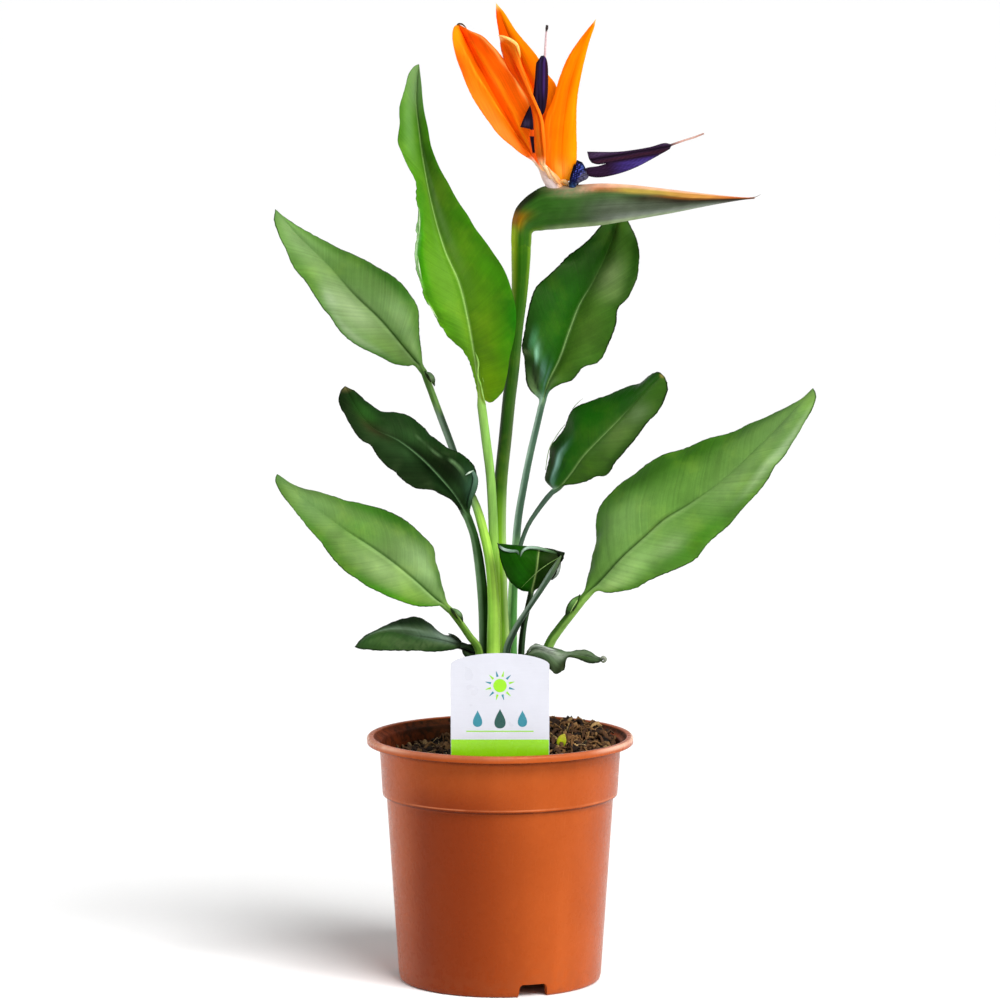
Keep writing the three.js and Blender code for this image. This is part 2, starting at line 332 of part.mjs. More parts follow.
// A blade on its stalk: the round stalk opens into a thin blade whose halves meet at the midrib.
function leaf({ stalk, rib, left, right }, stalkSteps, bladeSteps, thick) {
  const n = bladeSteps;
  const stops = Array.from({ length: n + 1 }, (_, i) => (i / n) ** 1.3);
  const M = sampled(rib, stops),
    L = sampled(left, stops),
    R = sampled(right, stops);
  const along = tangents(M);
  const stalkRadius = stalk.at(-1)[3];
  const blade = [];
  let firstFrame;
  for (let i = 0; i < n; i++) {
    const s = stops[i];
    const across = R[i].clone().sub(L[i]);
    across.addScaledVector(along[i], -across.dot(along[i])).normalize();
    const up = new THREE.Vector3().crossVectors(across, along[i]);
    if (!i) firstFrame = { across, up };
    const ribRadius = Math.max(stalkRadius * 0.8 * (1 - s) ** 1.3, thick * 0.5);
    const point = (t, under) => {
      const edge = t < 0 ? L[i] : R[i];
      const p = M[i].clone().lerp(edge, Math.abs(t));
      if (Math.abs(t) === 1) return p;
      const half =
        t < 0 ? M[i].clone().sub(L[i]) : R[i].clone().sub(M[i]);
      const normal = new THREE.Vector3()
        .crossVectors(half, along[i])
        .normalize();
      const nearRib = Math.abs(t) < 0.3;
      const away = under ? -(nearRib ? ribRadius : thick / 2) : thick / 2;
      return p.addScaledVector(nearRib ? up : normal, away);
    };
    const flat = [
      ...TOP.map((t) => point(t, false)),
      ...UNDER.map((t) => point(t, true)),
    ];
    const w = THREE.MathUtils.smoothstep(s, -0.01, 0.075);
    const round = roundRing(M[i], { across, up }, stalkRadius);
    blade.push(round.map((p, j) => p.lerp(flat[j], w)));
  }
  const stalkRings = stemRings(
    [...stalk, [...rib[0], stalkRadius]],
    stalkSteps,
    firstFrame.across,
  );
  stalkRings.pop();
  return skin([...stalkRings, ...blade], M[n]);
}

// A flat petal cut to an outline, its middle layer following the outline's own depth.
function petal(given, thick, extra = 0) {
  const n = given.length;
  const turn = Math.sign(
    given.reduce((sum, p, i) => {
      const q = given[(i + 1) % n];
      return sum + p[0] * q[2] - q[0] * p[2];
    }, 0),
  );
  const outline = given.map((p, i) => {
    const a = given[(i + n - 1) % n],
      b = given[(i + 1) % n];
    const dx = b[0] - a[0],
      dz = b[2] - a[2],
      far = Math.hypot(dx, dz);
    return [
      p[0] + (turn * extra * dz) / far,
      p[1],
      p[2] - (turn * extra * dx) / far,
    ];
  });
  const shape = new THREE.Shape(
    outline.map((p) => new THREE.Vector2(p[0], p[2])),
  );
  const g = new THREE.ExtrudeGeometry(shape, {
    depth: thick,
    bevelEnabled: false,
    steps: 1,
  });
  g.deleteAttribute("normal");
  g.deleteAttribute("uv");
  const merged = mergeVertices(g, 1e-4);
  const p = merged.attributes.position;
  for (let i = 0; i < p.count; i++) {
    const x = p.getX(i),
      z = p.getY(i),
      layer = p.getZ(i) - thick / 2;
    const nearest = outline.reduce((a, b) =>
      Math.hypot(b[0] - x, b[2] - z) < Math.hypot(a[0] - x, a[2] - z) ? b : a,
    );
    p.setXYZ(i, x, nearest[1] - layer, z);
  }
  return merged;
}

// ---- pot ----
function potBody() {
  const profile = [
    [0, FLOOR_Z],
    [FOOT_RING_INNER - 0.6, FLOOR_Z],
    [FOOT_RING_INNER, FLOOR_Z - 0.8],
    [FOOT_RING_INNER, 0],
    [FOOT_RING_OUTER, 0],
    [64.1, 1],
    [BODY_FOOT_RADIUS, 3.4],
    [BODY_TOP_RADIUS, COLLAR_FOOT_Z - 4],
    [BODY_TOP_RADIUS + 1, COLLAR_FOOT_Z - 1.2],
    [COLLAR_FOOT_RADIUS - 0.5, COLLAR_FOOT_Z - 0.2],
    [COLLAR_FOOT_RADIUS, COLLAR_FOOT_Z + 1.6],
    [COLLAR_TOP_RADIUS, RIM_Z - LIP_HEIGHT - 1],
    [COLLAR_TOP_RADIUS + 1, RIM_Z - LIP_HEIGHT],
    [RIM_RADIUS - 1.4, RIM_Z - LIP_HEIGHT],
    [RIM_RADIUS, RIM_Z - LIP_HEIGHT + 1.5],
    [RIM_RADIUS, RIM_Z - 1.6],
    [RIM_RADIUS - 1.5, RIM_Z],
    [RIM_RADIUS - 5, RIM_Z],
    [COLLAR_TOP_RADIUS - WALL + 1.2, RIM_Z - 1.6],
    [COLLAR_TOP_RADIUS - WALL, RIM_Z - LIP_HEIGHT],
    [COLLAR_FOOT_RADIUS - WALL, COLLAR_FOOT_Z + 2],
    [BODY_TOP_RADIUS - WALL + 0.5, COLLAR_FOOT_Z - 1.4],
    [BODY_TOP_RADIUS - WALL, COLLAR_FOOT_Z - 4],
    [BODY_FOOT_RADIUS - WALL + 0.5, FLOOR_Z + FLOOR_THICK + 4],
    [60.5, FLOOR_Z + FLOOR_THICK],
    [0, FLOOR_Z + FLOOR_THICK],
  ].map(([r, z]) => new THREE.Vector2(r, z));
  const shell = new THREE.LatheGeometry(profile, POT_SEGMENTS);
  shell.rotateX(Math.PI / 2);
  let pot = solidOf(shell);
  for (const degrees of NOTCH_ANGLES) {
    const w = NOTCH_WIDTH / 2;
    const outline = new THREE.Shape([
      new THREE.Vector2(-w - 0.4, -1),
      new THREE.Vector2(w + 0.4, -1),
      new THREE.Vector2(w - 0.8, NOTCH_HEIGHT),
      new THREE.Vector2(-w + 0.8, NOTCH_HEIGHT),
    ]);
    const notch = new THREE.ExtrudeGeometry(outline, {
      depth: 12,
      bevelEnabled: false,
    });
    notch.rotateX(Math.PI / 2);
    notch.translate(0, -56, 0);
    notch.rotateZ(THREE.MathUtils.degToRad(degrees + 90));
    pot = pot.subtract(solidOf(notch));
  }
  for (let i = 0; i < DRAINS; i++) {
    const hole = new THREE.CylinderGeometry(DRAIN_RADIUS, DRAIN_RADIUS, 6, 10);
    hole.rotateX(Math.PI / 2);
    const a = ((i + 0.5) / DRAINS) * 2 * Math.PI;
    hole.translate(
      DRAIN_CIRCLE * Math.cos(a),
      DRAIN_CIRCLE * Math.sin(a),
      FLOOR_Z + 1,
    );
    pot = pot.subtract(solidOf(hole));
  }
  return pot;
}

// ---- potting mix ----
// Heaped towards the back right, with a shallow dip round the stems.
function soilHeight(x, y) {
  const lumps =
    1.3 * Math.sin(0.21 * x + 0.6) * Math.cos(0.19 * y - 0.4) +
    0.8 * Math.sin(0.33 * x - 0.37 * y);
  return SOIL_Z + 0.055 * x + 0.03 * y + lumps;
}

function soilBody() {
  const steps = 36;
  const ring = (r, z) =>
    Array.from({ length: steps }, (_, i) => {
      const a = (i / steps) * 2 * Math.PI;
      const x = r * Math.cos(a),
        y = r * Math.sin(a);
      return new THREE.Vector3(x, y, z === undefined ? soilHeight(x, y) : z);
    });
  const foot = FLOOR_Z + FLOOR_THICK + CLEAR;
  const rings = [
    ring(20, foot),
    ring(59.4, foot),
    ring(BODY_FOOT_RADIUS - WALL - 0.2, foot + 4.4),
    ring(BODY_TOP_RADIUS - WALL - 0.6, COLLAR_FOOT_Z - 4),
    ring(BODY_TOP_RADIUS - WALL - 0.2, COLLAR_FOOT_Z - 1),
    ring(COLLAR_FOOT_RADIUS - WALL - 0.6, COLLAR_FOOT_Z + 2.6),
    ring(COLLAR_FOOT_RADIUS - WALL + 0.4),
    ring(64),
    ring(52),
    ring(40),
    ring(28),
    ring(14),
  ];
  return solidOf(skin(rings));
}

// ---- plant label: arched card on a pointed stake, one sheet ----
function labelGeometry(extra = 0) {
  const w = CARD_WIDTH / 2 + extra,
    k = STAKE_WIDTH / 2 + extra,
    corner = 3;
  const shape = new THREE.Shape();
  shape.moveTo(0, STAKE_FOOT_Z - extra);
  shape.lineTo(k * 0.75, STAKE_FOOT_Z + 8);
  shape.lineTo(k, STAKE_FOOT_Z + 14);
  shape.lineTo(k, CARD_FOOT_Z - 4 - extra);
  shape.lineTo(k + 4, CARD_FOOT_Z - extra);
  shape.lineTo(w - corner, CARD_FOOT_Z - extra);
  shape.lineTo(w, CARD_FOOT_Z + corner);
  shape.lineTo(w, CARD_SHOULDER_Z);
  const crown = 14;
  for (let i = 1; i < crown; i++) {
    const x = w * (1 - (2 * i) / crown);
    const rise = CARD_CROWN_Z - CARD_SHOULDER_Z;
    shape.lineTo(
      x,
      CARD_SHOULDER_Z + extra + rise * (1 - (x / w) ** 2) ** 0.62,
    );
  }
  shape.lineTo(-w, CARD_SHOULDER_Z);
  shape.lineTo(-w, CARD_FOOT_Z + corner);
  shape.lineTo(-w + corner, CARD_FOOT_Z - extra);
  shape.lineTo(-k - 4, CARD_FOOT_Z - extra);
  shape.lineTo(-k, CARD_FOOT_Z - 4 - extra);
  shape.lineTo(-k, STAKE_FOOT_Z + 14);
  shape.lineTo(-k * 0.75, STAKE_FOOT_Z + 8);
  shape.closePath();
  const g = new THREE.ExtrudeGeometry(shape, {
    depth: CARD_THICK + 2 * extra,
    bevelEnabled: false,
  });
  g.rotateX(Math.PI / 2);
  g.translate(0, CARD_Y + CARD_THICK / 2 + extra, 0);
  return g;
}

// ---- spathe ----
// Laterally flattened sections, narrow at the keel, with two lips and a slit along the top.
function spatheRings(extra = 0) {
  return SPATHE.map(([ax, az, bx, bz, h, slit], i) => {
    const A = new THREE.Vector3(ax, 0, az),
      B = new THREE.Vector3(bx, 0, bz);
    const centre = A.clone().add(B).multiplyScalar(0.5);
    const up = A.clone().sub(B).multiplyScalar(0.5);
    const beak = THREE.MathUtils.smoothstep(i, 4, 9);
    const lip = Math.min(1.7, h * 0.35);
    const at = (y, v) =>
      centre
        .clone()
        .addScaledVector(up, v * (1 + extra / up.length()))
        .add(new THREE.Vector3(0, y * (1 + extra / h), 0));
    const right = [
      [lip, 1],
      [h * 0.66, THREE.MathUtils.lerp(0.74, 0.82, beak)],
      [h * 0.97, 0.3],
      [h * 0.9, -0.25],
      [h * THREE.MathUtils.lerp(0.68, 0.52, beak), -0.74],
    ];
    const floor = 1 - slit / up.length();
    return [
      at(0, slit ? floor : 1),
      ...right.map(([y, v]) => at(-y, v)),
      at(0, -1),
      ...right.reverse().map(([y, v]) => at(y, v)),
    ];
  });
}

// ---- assembly ----
const leafTones = {
  light: [0x5f9a1c, 0.42],
  matte: [0x6ea24c, 0.55],
  dark: [0x1d3b16, 0.32],
  grey: [0x30442c, 0.4],
  gloss: [0x2b5417, 0.3],
};
const plant = new THREE.Group();
plant.position.x = AXIS_X;

function add(name, solid, colour, roughness) {
  const mesh = new THREE.Mesh(
    geometryOf(solid),
    new THREE.MeshStandardMaterial({ color: colour, roughness, metalness: 0 }),
  );
  mesh.name = name;
  plant.add(mesh);
}

add("pot", potBody(), 0xc4602f, 0.38);

// Stems are buried in the mix, each in a hole of its own.
const buried = (points) => solidOf(stem(points.slice(0, 3), 4, CLEAR, CLEAR));
let mix = soilBody().subtract(solidOf(labelGeometry(CLEAR + 0.2)));

for (const [name, data] of Object.entries(LEAVES)) {
  mix = mix.subtract(
    solidOf(
      skin(
        stemRings(
          data.stalk.slice(0, 3),
          5,
          new THREE.Vector3(1, 0, 0),
          CLEAR + 0.15,
          CLEAR,
        ),
      ),
    ),
  );
  const [colour, roughness] = leafTones[data.tone];
  const small = name.includes("low_") || name.includes("front");
  add(
    name,
    solidOf(leaf(data, small ? 8 : 11, small ? 11 : 16, BLADE)),
    colour,
    roughness,
  );
}
add("young_leaf_spear", solidOf(stem(YOUNG_LEAF, 14)), 0x35502f, 0.4);
add("flower_scape", solidOf(stem(SCAPE, 18)), 0x6fa31e, 0.42);
mix = mix.subtract(buried(YOUNG_LEAF)).subtract(buried(SCAPE));
add("soil", mix, 0x4a3623, 0.95);
add("plant_label", solidOf(labelGeometry()), 0xe4e3ee, 0.35);

const tube = solidOf(stem(FLORET_TUBE, 5));
const arrowUp = solidOf(petal(ARROW_UPRIGHT, 3));
const arrowSide = solidOf(petal(ARROW_SIDEWAYS, 2.6));
const hood = solidOf(petal(HOOD_PETAL, 2.2));
const styleUp = solidOf(stem(STYLE_UPRIGHT, 10));
const styleSide = solidOf(stem(STYLE_SIDEWAYS, 8));
const sepals = Object.entries(SEPALS).map(([name, data]) => [
  name,
  solidOf(leaf(data, 3, 12, PETAL)),
  solidOf(leaf(widened(data, 0.65), 3, 12, PETAL + 1.2)),
]);
const tubeHole = solidOf(stem(FLORET_TUBE, 5, CLEAR, 1));
let cup = tube;
for (const [, , hole] of sepals) cup = cup.subtract(hole);
cup = cup.subtract(solidOf(petal(ARROW_UPRIGHT, 4, CLEAR + 0.2)));
for (const [name, solid] of sepals)
  add(name, solid, name === "sepal_front_folded" ? 0xf4831a : 0xff8a10, 0.45);
add("floret_tube", cup, 0xf1ded0, 0.5);
add(
  "arrow_petal_upright",
  arrowUp.subtract(solidOf(stem(STYLE_UPRIGHT, 10, CLEAR, CLEAR))),
  0x231a38,
  0.4,
);
add(
  "arrow_petal_sideways",
  arrowSide.subtract(solidOf(stem(STYLE_SIDEWAYS, 8, CLEAR, CLEAR))),
  0x2b1f3d,
  0.4,
);
add("hood_petal", hood, 0x1b2a66, 0.4);
add("style_upright", styleUp, 0xb48a90, 0.5);
add("style_sideways", styleSide, 0xa9786a, 0.5);

let spathe = solidOf(skin(spatheRings()));
spathe = spathe.subtract(tubeHole);
for (const [name, , hole] of sepals)
  if (name === "sepal_right") spathe = spathe.subtract(hole);
spathe = spathe
  .subtract(solidOf(petal(ARROW_SIDEWAYS, 3.6, CLEAR + 0.2)))
  .subtract(solidOf(petal(HOOD_PETAL, 3.2, CLEAR + 0.2)));
add("flower_spathe", spathe, 0x4d6a33, 0.45);

const root = new THREE.Group();
root.add(plant);
export default root;
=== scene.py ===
# Potted bird of paradise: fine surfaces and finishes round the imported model, in metres.
import math

import bpy
import numpy as np
from mathutils import Matrix, Vector, geometry


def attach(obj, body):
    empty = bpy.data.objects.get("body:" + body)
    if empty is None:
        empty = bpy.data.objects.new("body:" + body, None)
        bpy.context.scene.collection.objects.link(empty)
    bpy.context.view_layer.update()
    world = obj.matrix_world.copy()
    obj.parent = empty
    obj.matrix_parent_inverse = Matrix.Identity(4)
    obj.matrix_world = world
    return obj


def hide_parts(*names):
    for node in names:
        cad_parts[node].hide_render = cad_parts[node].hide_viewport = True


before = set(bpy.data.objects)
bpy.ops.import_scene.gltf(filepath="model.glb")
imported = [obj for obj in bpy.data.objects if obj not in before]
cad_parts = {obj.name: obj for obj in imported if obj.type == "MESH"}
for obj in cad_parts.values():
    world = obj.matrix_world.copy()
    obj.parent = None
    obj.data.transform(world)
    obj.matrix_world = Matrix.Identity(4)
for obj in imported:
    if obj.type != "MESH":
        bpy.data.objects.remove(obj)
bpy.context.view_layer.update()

# ---------------------------------------------------------------- tables
# All tables are in millimetres from the pot's axis; the axis stands at AXIS_X in the row frame.
AXIS_X = -25.1
# Leaves and sepals: the stalk is x, y, z, radius from its buried end; the rib and the two margins run from the blade's foot to its tip.
LEAVES = {
    "leaf_tall_upright": dict(
        stalk=[[-2.5, -9.5, 124, 3.4], [-2.5, -9.3, 150, 3.6], [-2.2, -9, 219.5, 3.4], [-2.5, -10, 245.3, 3.2], [-3.5, -11, 271, 3.1], [-4.4, -12.5, 296.7, 3], [-6, -14.5, 324.9, 2.9], [-8.8, -17, 348, 2.9], [-11.6, -19, 370.3, 2.8]],
        rib=[[-12.3, -19, 376], [-16.9, -23, 407.9], [-20.7, -25, 428.2], [-25.7, -26, 448.3], [-34.4, -26, 468.3], [-42.5, -24, 495.8], [-47.6, -20, 521.2], [-50.7, -15, 542.9], [-52.7, -9, 561.4], [-50.9, 0, 583.7]],
        left=[[-13.8, -19, 376], [-18.9, -21, 396.4], [-23.2, -23, 404.7], [-33.2, -27, 414.5], [-41.3, -31, 428.6], [-49.3, -34, 444.5], [-53, -35, 467.6], [-50.8, -33, 496.2], [-53.7, -30, 511.6], [-62.4, -25, 532], [-63.1, -19, 549.9], [-58.9, -10, 572.7], [-54.6, -3, 581.9], [-50.9, 0, 583.7]],
        right=[[-10.1, -19.4, 372.6], [-7.9, -20.5, 372], [-4.4, -22.5, 372.7], [-0.9, -25.5, 376.1], [2.5, -28, 380.6], [4.4, -29.5, 388.3], [6.1, -31.5, 399.8], [8.6, -32.5, 411.8], [10.4, -33, 424.4], [9.4, -34, 436.3], [4.4, -35, 452], [-4.4, -35, 467.6], [-16.8, -33, 485], [-30, -29, 506], [-41.2, -24, 528.8], [-46.9, -17, 551], [-49.2, -9, 570.8], [-50.9, 0, 583.7]],
    ),
    "leaf_upper_left": dict(
        stalk=[[-4.5, -17, 124, 3.8], [-4.3, -17.3, 150, 4], [-4.1, -17.5, 217.6, 4.2], [-4.2, -17.5, 246.3, 3.6], [-6.6, -16.5, 271.7, 3], [-11.4, -12, 293.4, 2.9], [-15.8, -7.5, 306.9, 2.6], [-23.8, 1, 321.9, 2.4], [-30.5, 7, 341.1, 2.3], [-38.2, 12, 361.1, 2.3], [-44.5, 15, 378, 2.2]],
        rib=[[-48.4, 16, 388.2], [-59.2, 20, 401.2], [-76.5, 27, 421.1], [-93.3, 33, 436.7], [-112, 40, 456.7], [-129.4, 46, 473], [-144.2, 50, 490.1]],
        left=[[-49.3, 15, 387.6], [-55.3, 13, 392.3], [-59.1, 12, 391.7], [-67.4, 12, 393.6], [-76.3, 13, 398], [-89, 15, 404.2], [-101.8, 18, 414.2], [-112.1, 22, 427.3], [-124.3, 28, 444.7], [-136.1, 36, 463.4], [-144.6, 44, 482.1], [-144.2, 50, 490.1]],
        right=[[-47.4, 16, 389.4], [-50.3, 20, 403.2], [-51.6, 23, 418.3], [-51.9, 25, 427], [-59.3, 30, 439.5], [-67.7, 34, 447.5], [-80.6, 38, 454.9], [-93.5, 42, 461.1], [-105.7, 44, 466.7], [-125, 48, 476.7], [-139.1, 50, 485.6], [-144.2, 50, 490.1]],
    ),
    "leaf_mid_left": dict(
        stalk=[[-9, -4, 124, 3], [-9.2, -4, 150, 3.1], [-9.9, -4, 215.6, 3.3], [-10.8, -6, 244.8, 3.3], [-13.4, -9, 270.7, 3.1], [-16.5, -12, 287.1, 2.6]],
        rib=[[-20.2, -15, 298.2], [-27.8, -18, 311.9], [-36.5, -21, 323], [-49.1, -25, 336.8], [-63.4, -30, 348.6], [-80.2, -36, 358.1], [-89.4, -40, 369.8], [-96.8, -42, 384.4]],
        left=[[-21.5, -16, 297.1], [-25.9, -19, 305.1], [-31.5, -23, 311.2], [-37.7, -27, 314.8], [-44, -30, 317.4], [-53.3, -34, 319.4], [-59.5, -37, 323.5], [-65.1, -39, 328.8], [-73.8, -42, 337.9], [-81.2, -44, 346.9], [-89.3, -45, 354.5], [-96.1, -45, 364.6], [-100.5, -44, 373.9], [-99.6, -43, 381.3], [-96.8, -42, 384.4]],
        right=[[-18.3, -15, 298.9], [-17.1, -14, 309.6], [-15.8, -13, 316.5], [-14.5, -12, 323.3], [-15.8, -12, 329.7], [-18.9, -13, 334.9], [-25.2, -15, 339.5], [-32.8, -17, 342.9], [-42.2, -19, 350.7], [-50.3, -21, 358.5], [-57.8, -24, 364.5], [-65.9, -27, 366.6], [-74.6, -31, 367.7], [-82.6, -36, 373.8], [-90.6, -41, 381.1], [-96.8, -42, 384.4]],
    ),
    "leaf_lower_left": dict(
        stalk=[[-11.5, -13.5, 124, 2.6], [-11.8, -13.8, 150, 2.7], [-12.2, -14.5, 190, 2.6], [-13.9, -15.5, 215.3, 2.5], [-19, -17, 222.6, 2.3], [-24.7, -19, 231.2, 2.2]],
        rib=[[-31, -21, 239.8], [-40.4, -22, 247.5], [-54.2, -25, 260.7], [-68, -28, 272.5], [-81.1, -32, 282.5], [-100.4, -38, 295.9], [-120.1, -45, 311.8], [-139, -52, 330.2]],
        left=[[-32.2, -22, 239.3], [-37.2, -25, 243.2], [-42.3, -27, 243.1], [-53.5, -31, 244.3], [-61.7, -34, 247.2], [-72.3, -37, 252.1], [-86, -40, 260.1], [-100.9, -43, 271.2], [-113.2, -47, 287.5], [-122.4, -50, 299.2], [-131.6, -53, 311.5], [-140.2, -54, 326.6], [-139, -52, 330.2]],
        right=[[-30.4, -20, 240.9], [-34.2, -17, 248.8], [-38, -13, 260.4], [-40.5, -11, 269.1], [-41.8, -10, 278.5], [-51.9, -12, 290.2], [-63.8, -16, 299.6], [-77.6, -20, 305.2], [-95.7, -26, 310.3], [-118.5, -36, 318.4], [-131.9, -46, 324.5], [-139, -52, 330.2]],
    ),
    "leaf_low_left_small": dict(
        stalk=[[-16.5, -4, 124, 2.2], [-16.5, -4.4, 150, 2.3], [-16.5, -7, 195, 2.3], [-15.2, -9, 209.3, 2.3], [-18.7, -10, 213.6, 2.4]],
        rib=[[-24.1, -11, 216], [-34.9, -13, 219.5], [-44.4, -15, 221.7], [-57, -18, 224], [-69.5, -22, 226.5], [-80.8, -26, 224.5], [-91.8, -30, 218.1]],
        left=[[-24.7, -12, 214.5], [-34.9, -15, 213.3], [-44.3, -19, 213.3], [-53.7, -23, 214.5], [-63.2, -26, 214.9], [-72.6, -28, 215.2], [-82, -30, 216.2], [-88.9, -30, 216.8], [-91.8, -30, 218.1]],
        right=[[-24.4, -10, 218.4], [-30.5, -9, 222.1], [-36.2, -9, 223.4], [-40, -9, 225.9], [-45.1, -9, 230.4], [-53.3, -9, 234.6], [-62.1, -12, 233.1], [-70.9, -16, 230.8], [-79.1, -21, 227.6], [-87.1, -26, 223.2], [-91.8, -30, 218.1]],
    ),
    "leaf_upper_right": dict(
        stalk=[[7.5, 9.5, 124, 3.5], [7.5, 9.3, 150, 3.5], [7.7, 9, 217, 3.2], [8, 9.5, 242.7, 3.1], [9.6, 10, 268.4, 2.7], [11.5, 12, 293.8, 2.4], [14.7, 13, 313, 2.3], [19.1, 15, 335.2, 2.2], [23.6, 17, 354.2, 2.1]],
        rib=[[26.4, 18, 366.3], [31.2, 20, 382.1], [38.2, 22, 396.6], [44, 25, 413], [51, 28, 430.7], [59.4, 31, 444.5], [67.7, 34, 461.6], [74.1, 38, 479.9], [76.1, 42, 495]],
        left=[[25.5, 18, 365.6], [23.6, 16, 370.3], [17.8, 13, 379.5], [16.5, 11, 389.2], [14, 10, 403.3], [16.5, 11, 415.3], [18.4, 13, 430.5], [22.2, 15, 440.5], [31.8, 19, 451], [44.5, 24, 462.2], [57.3, 29, 472.7], [65.1, 34, 481.4], [71.5, 38, 489.4], [76.1, 42, 495]],
        right=[[28, 18, 366.9], [31.2, 16, 375.4], [38.2, 14, 380.7], [45.8, 13, 383.3], [53.4, 13, 391.6], [61.7, 13, 394.8], [69.3, 14, 406.2], [73.7, 16, 418.1], [75, 18, 428.2], [81.4, 18, 434.6], [86.5, 21, 445.8], [89.1, 25, 460.2], [87.3, 30, 471.4], [82.3, 36, 482.5], [79.2, 39, 490], [76.1, 42, 495]],
    ),
    "leaf_mid_right": dict(
        stalk=[[10.5, 1.5, 124, 2.3], [10, 1.8, 150, 2.3], [8.6, 2, 214.7, 2.2], [8.9, 2, 243.7, 2], [10.8, 1, 269.5, 1.6], [13.4, 1, 280.4, 1.5], [17.8, 0, 292, 1.5], [23.5, -1, 301.1, 1.6], [29.2, -2, 308.9, 1.8]],
        rib=[[33, -3, 313.4], [38, -4, 316.7], [45, -6, 325.2], [53.1, -8, 336.9], [63.2, -11, 348], [73.8, -15, 359.2], [84.9, -20, 371.7], [94.2, -25, 382.2], [102.2, -29, 390.1]],
        left=[[31.7, -2, 312.7], [29.8, 0, 315.7], [28.6, 3, 322.4], [31.1, 5, 332.4], [31.8, 6, 341.2], [36.2, 6, 347], [40, 6, 352.1], [42.5, 5, 359.8], [46.3, 5, 365.6], [55.8, 3, 370.2], [67.1, 0, 374.9], [77.2, -4, 379.1], [87.1, -10, 383.4], [94.4, -18, 389.2], [99.8, -26, 391.8], [102.2, -29, 390.1]],
        right=[[34.2, -4, 314.2], [39.3, -6, 317.6], [48.7, -10, 319.3], [56.8, -14, 322.3], [61.2, -16, 325], [66.2, -18, 325.3], [72.4, -21, 333.2], [78.6, -24, 341.7], [86.7, -27, 352.1], [93.5, -29, 360.5], [100.3, -31, 369.5], [105.3, -31, 380.9], [104, -30, 387.7], [102.2, -29, 390.1]],
    ),
    "leaf_lower_right": dict(
        stalk=[[17.5, -3, 124, 3.2], [18, -3.2, 150, 3.2], [22, -4, 185, 3.2], [31.8, -6, 217.2, 3.1], [38.1, -9, 227.2, 2.9], [45, -12, 236.6, 2.8]],
        rib=[[51.9, -15, 246], [65.1, -18, 260.4], [77, -21, 274.2], [91.4, -24, 287.9], [103.2, -27, 299], [117.5, -31, 308.3], [137.9, -37, 323.5], [159.3, -44, 344.4], [177.6, -50, 363.8], [194.5, -56, 384.3]],
        left=[[50.7, -14, 246.5], [55.2, -8, 259.7], [58.4, -2, 273.7], [61.4, 3, 289.1], [62, 5, 301], [71.2, 4, 312.7], [80, 2, 321.8], [91.9, -2, 331.2], [103.8, -7, 338.1], [121.8, -14, 344.5], [145.3, -24, 354.4], [168.4, -36, 365.6], [189.3, -50, 377.6], [194.5, -56, 384.3]],
        right=[[53.5, -16, 246.1], [61.3, -21, 252.5], [68.2, -24, 251.6], [83.8, -30, 255], [93.7, -34, 261.2], [108.6, -38, 267.4], [122.8, -43, 276.3], [132.6, -47, 288.1], [149.8, -52, 305.7], [163.8, -56, 323.7], [177.8, -59, 344.7], [190.6, -60, 366], [196.3, -58, 380.2], [194.5, -56, 384.3]],
    ),
    "leaf_front_folded": dict(
        stalk=[[12.8, -12.5, 124, 2.2], [13, -13, 150, 2.2], [13.3, -15, 195, 2.1], [13.6, -17, 215.6, 2.1], [15.2, -22, 231, 1.9], [17.7, -28, 243.9, 1.8]],
        rib=[[19.5, -32, 252.7], [21.4, -36, 260.8], [23.2, -39, 269.4], [23.9, -38, 275.6], [24.5, -33, 279.5], [25.2, -25, 280.1], [25.9, -17, 275.6], [26.6, -13, 269.3]],
        left=[[18.6, -32, 252.1], [12.6, -34, 254.9], [6.9, -36, 259.6], [3.1, -37, 266], [0.6, -36, 272.9], [-0.6, -33, 279.5], [-1.3, -29, 283.4], [6.3, -22, 280], [15.8, -15, 275.3], [26.6, -13, 269.3]],
        right=[[20.5, -32, 253.3], [28.3, -34, 258.7], [33.9, -36, 263.4], [36.4, -36, 269.1], [39, -34, 273.9], [40.9, -31, 277.9], [39.7, -24, 277.1], [33.5, -16, 273.5], [26.6, -13, 269.3]],
    ),
    "leaf_low_right_twisted": dict(
        stalk=[[14.5, -21.5, 124, 2.1], [14.5, -21.8, 150, 2.1], [14.5, -23, 185, 2.1], [13.9, -26, 204.1, 2.1], [15.5, -28, 209.5, 2.1]],
        rib=[[17.7, -29, 212.8], [24, -30, 214.9], [31.5, -31, 213.8], [37.8, -31, 212.5], [42.9, -32, 213.3], [47.9, -33, 213.4], [54.2, -34, 212.9], [61.1, -35, 211.2], [65.8, -36, 211.3]],
        left=[[18.3, -28, 214], [22.1, -24, 218.5], [28.5, -23, 217.7], [35.4, -24, 216.6], [42.9, -28, 215.2], [49.2, -31, 216.3], [54.8, -33, 216.6], [61.1, -35, 213.1], [65.8, -36, 211.3]],
        right=[[18.9, -30, 211.7], [25.2, -35, 209.9], [30.8, -40, 206.2], [35.2, -42, 202.7], [40.3, -40, 206.2], [42.2, -36, 211.9], [48.5, -35, 211.2], [55.4, -35, 208.6], [61.7, -36, 208.8], [65.8, -36, 211.3]],
    ),
}
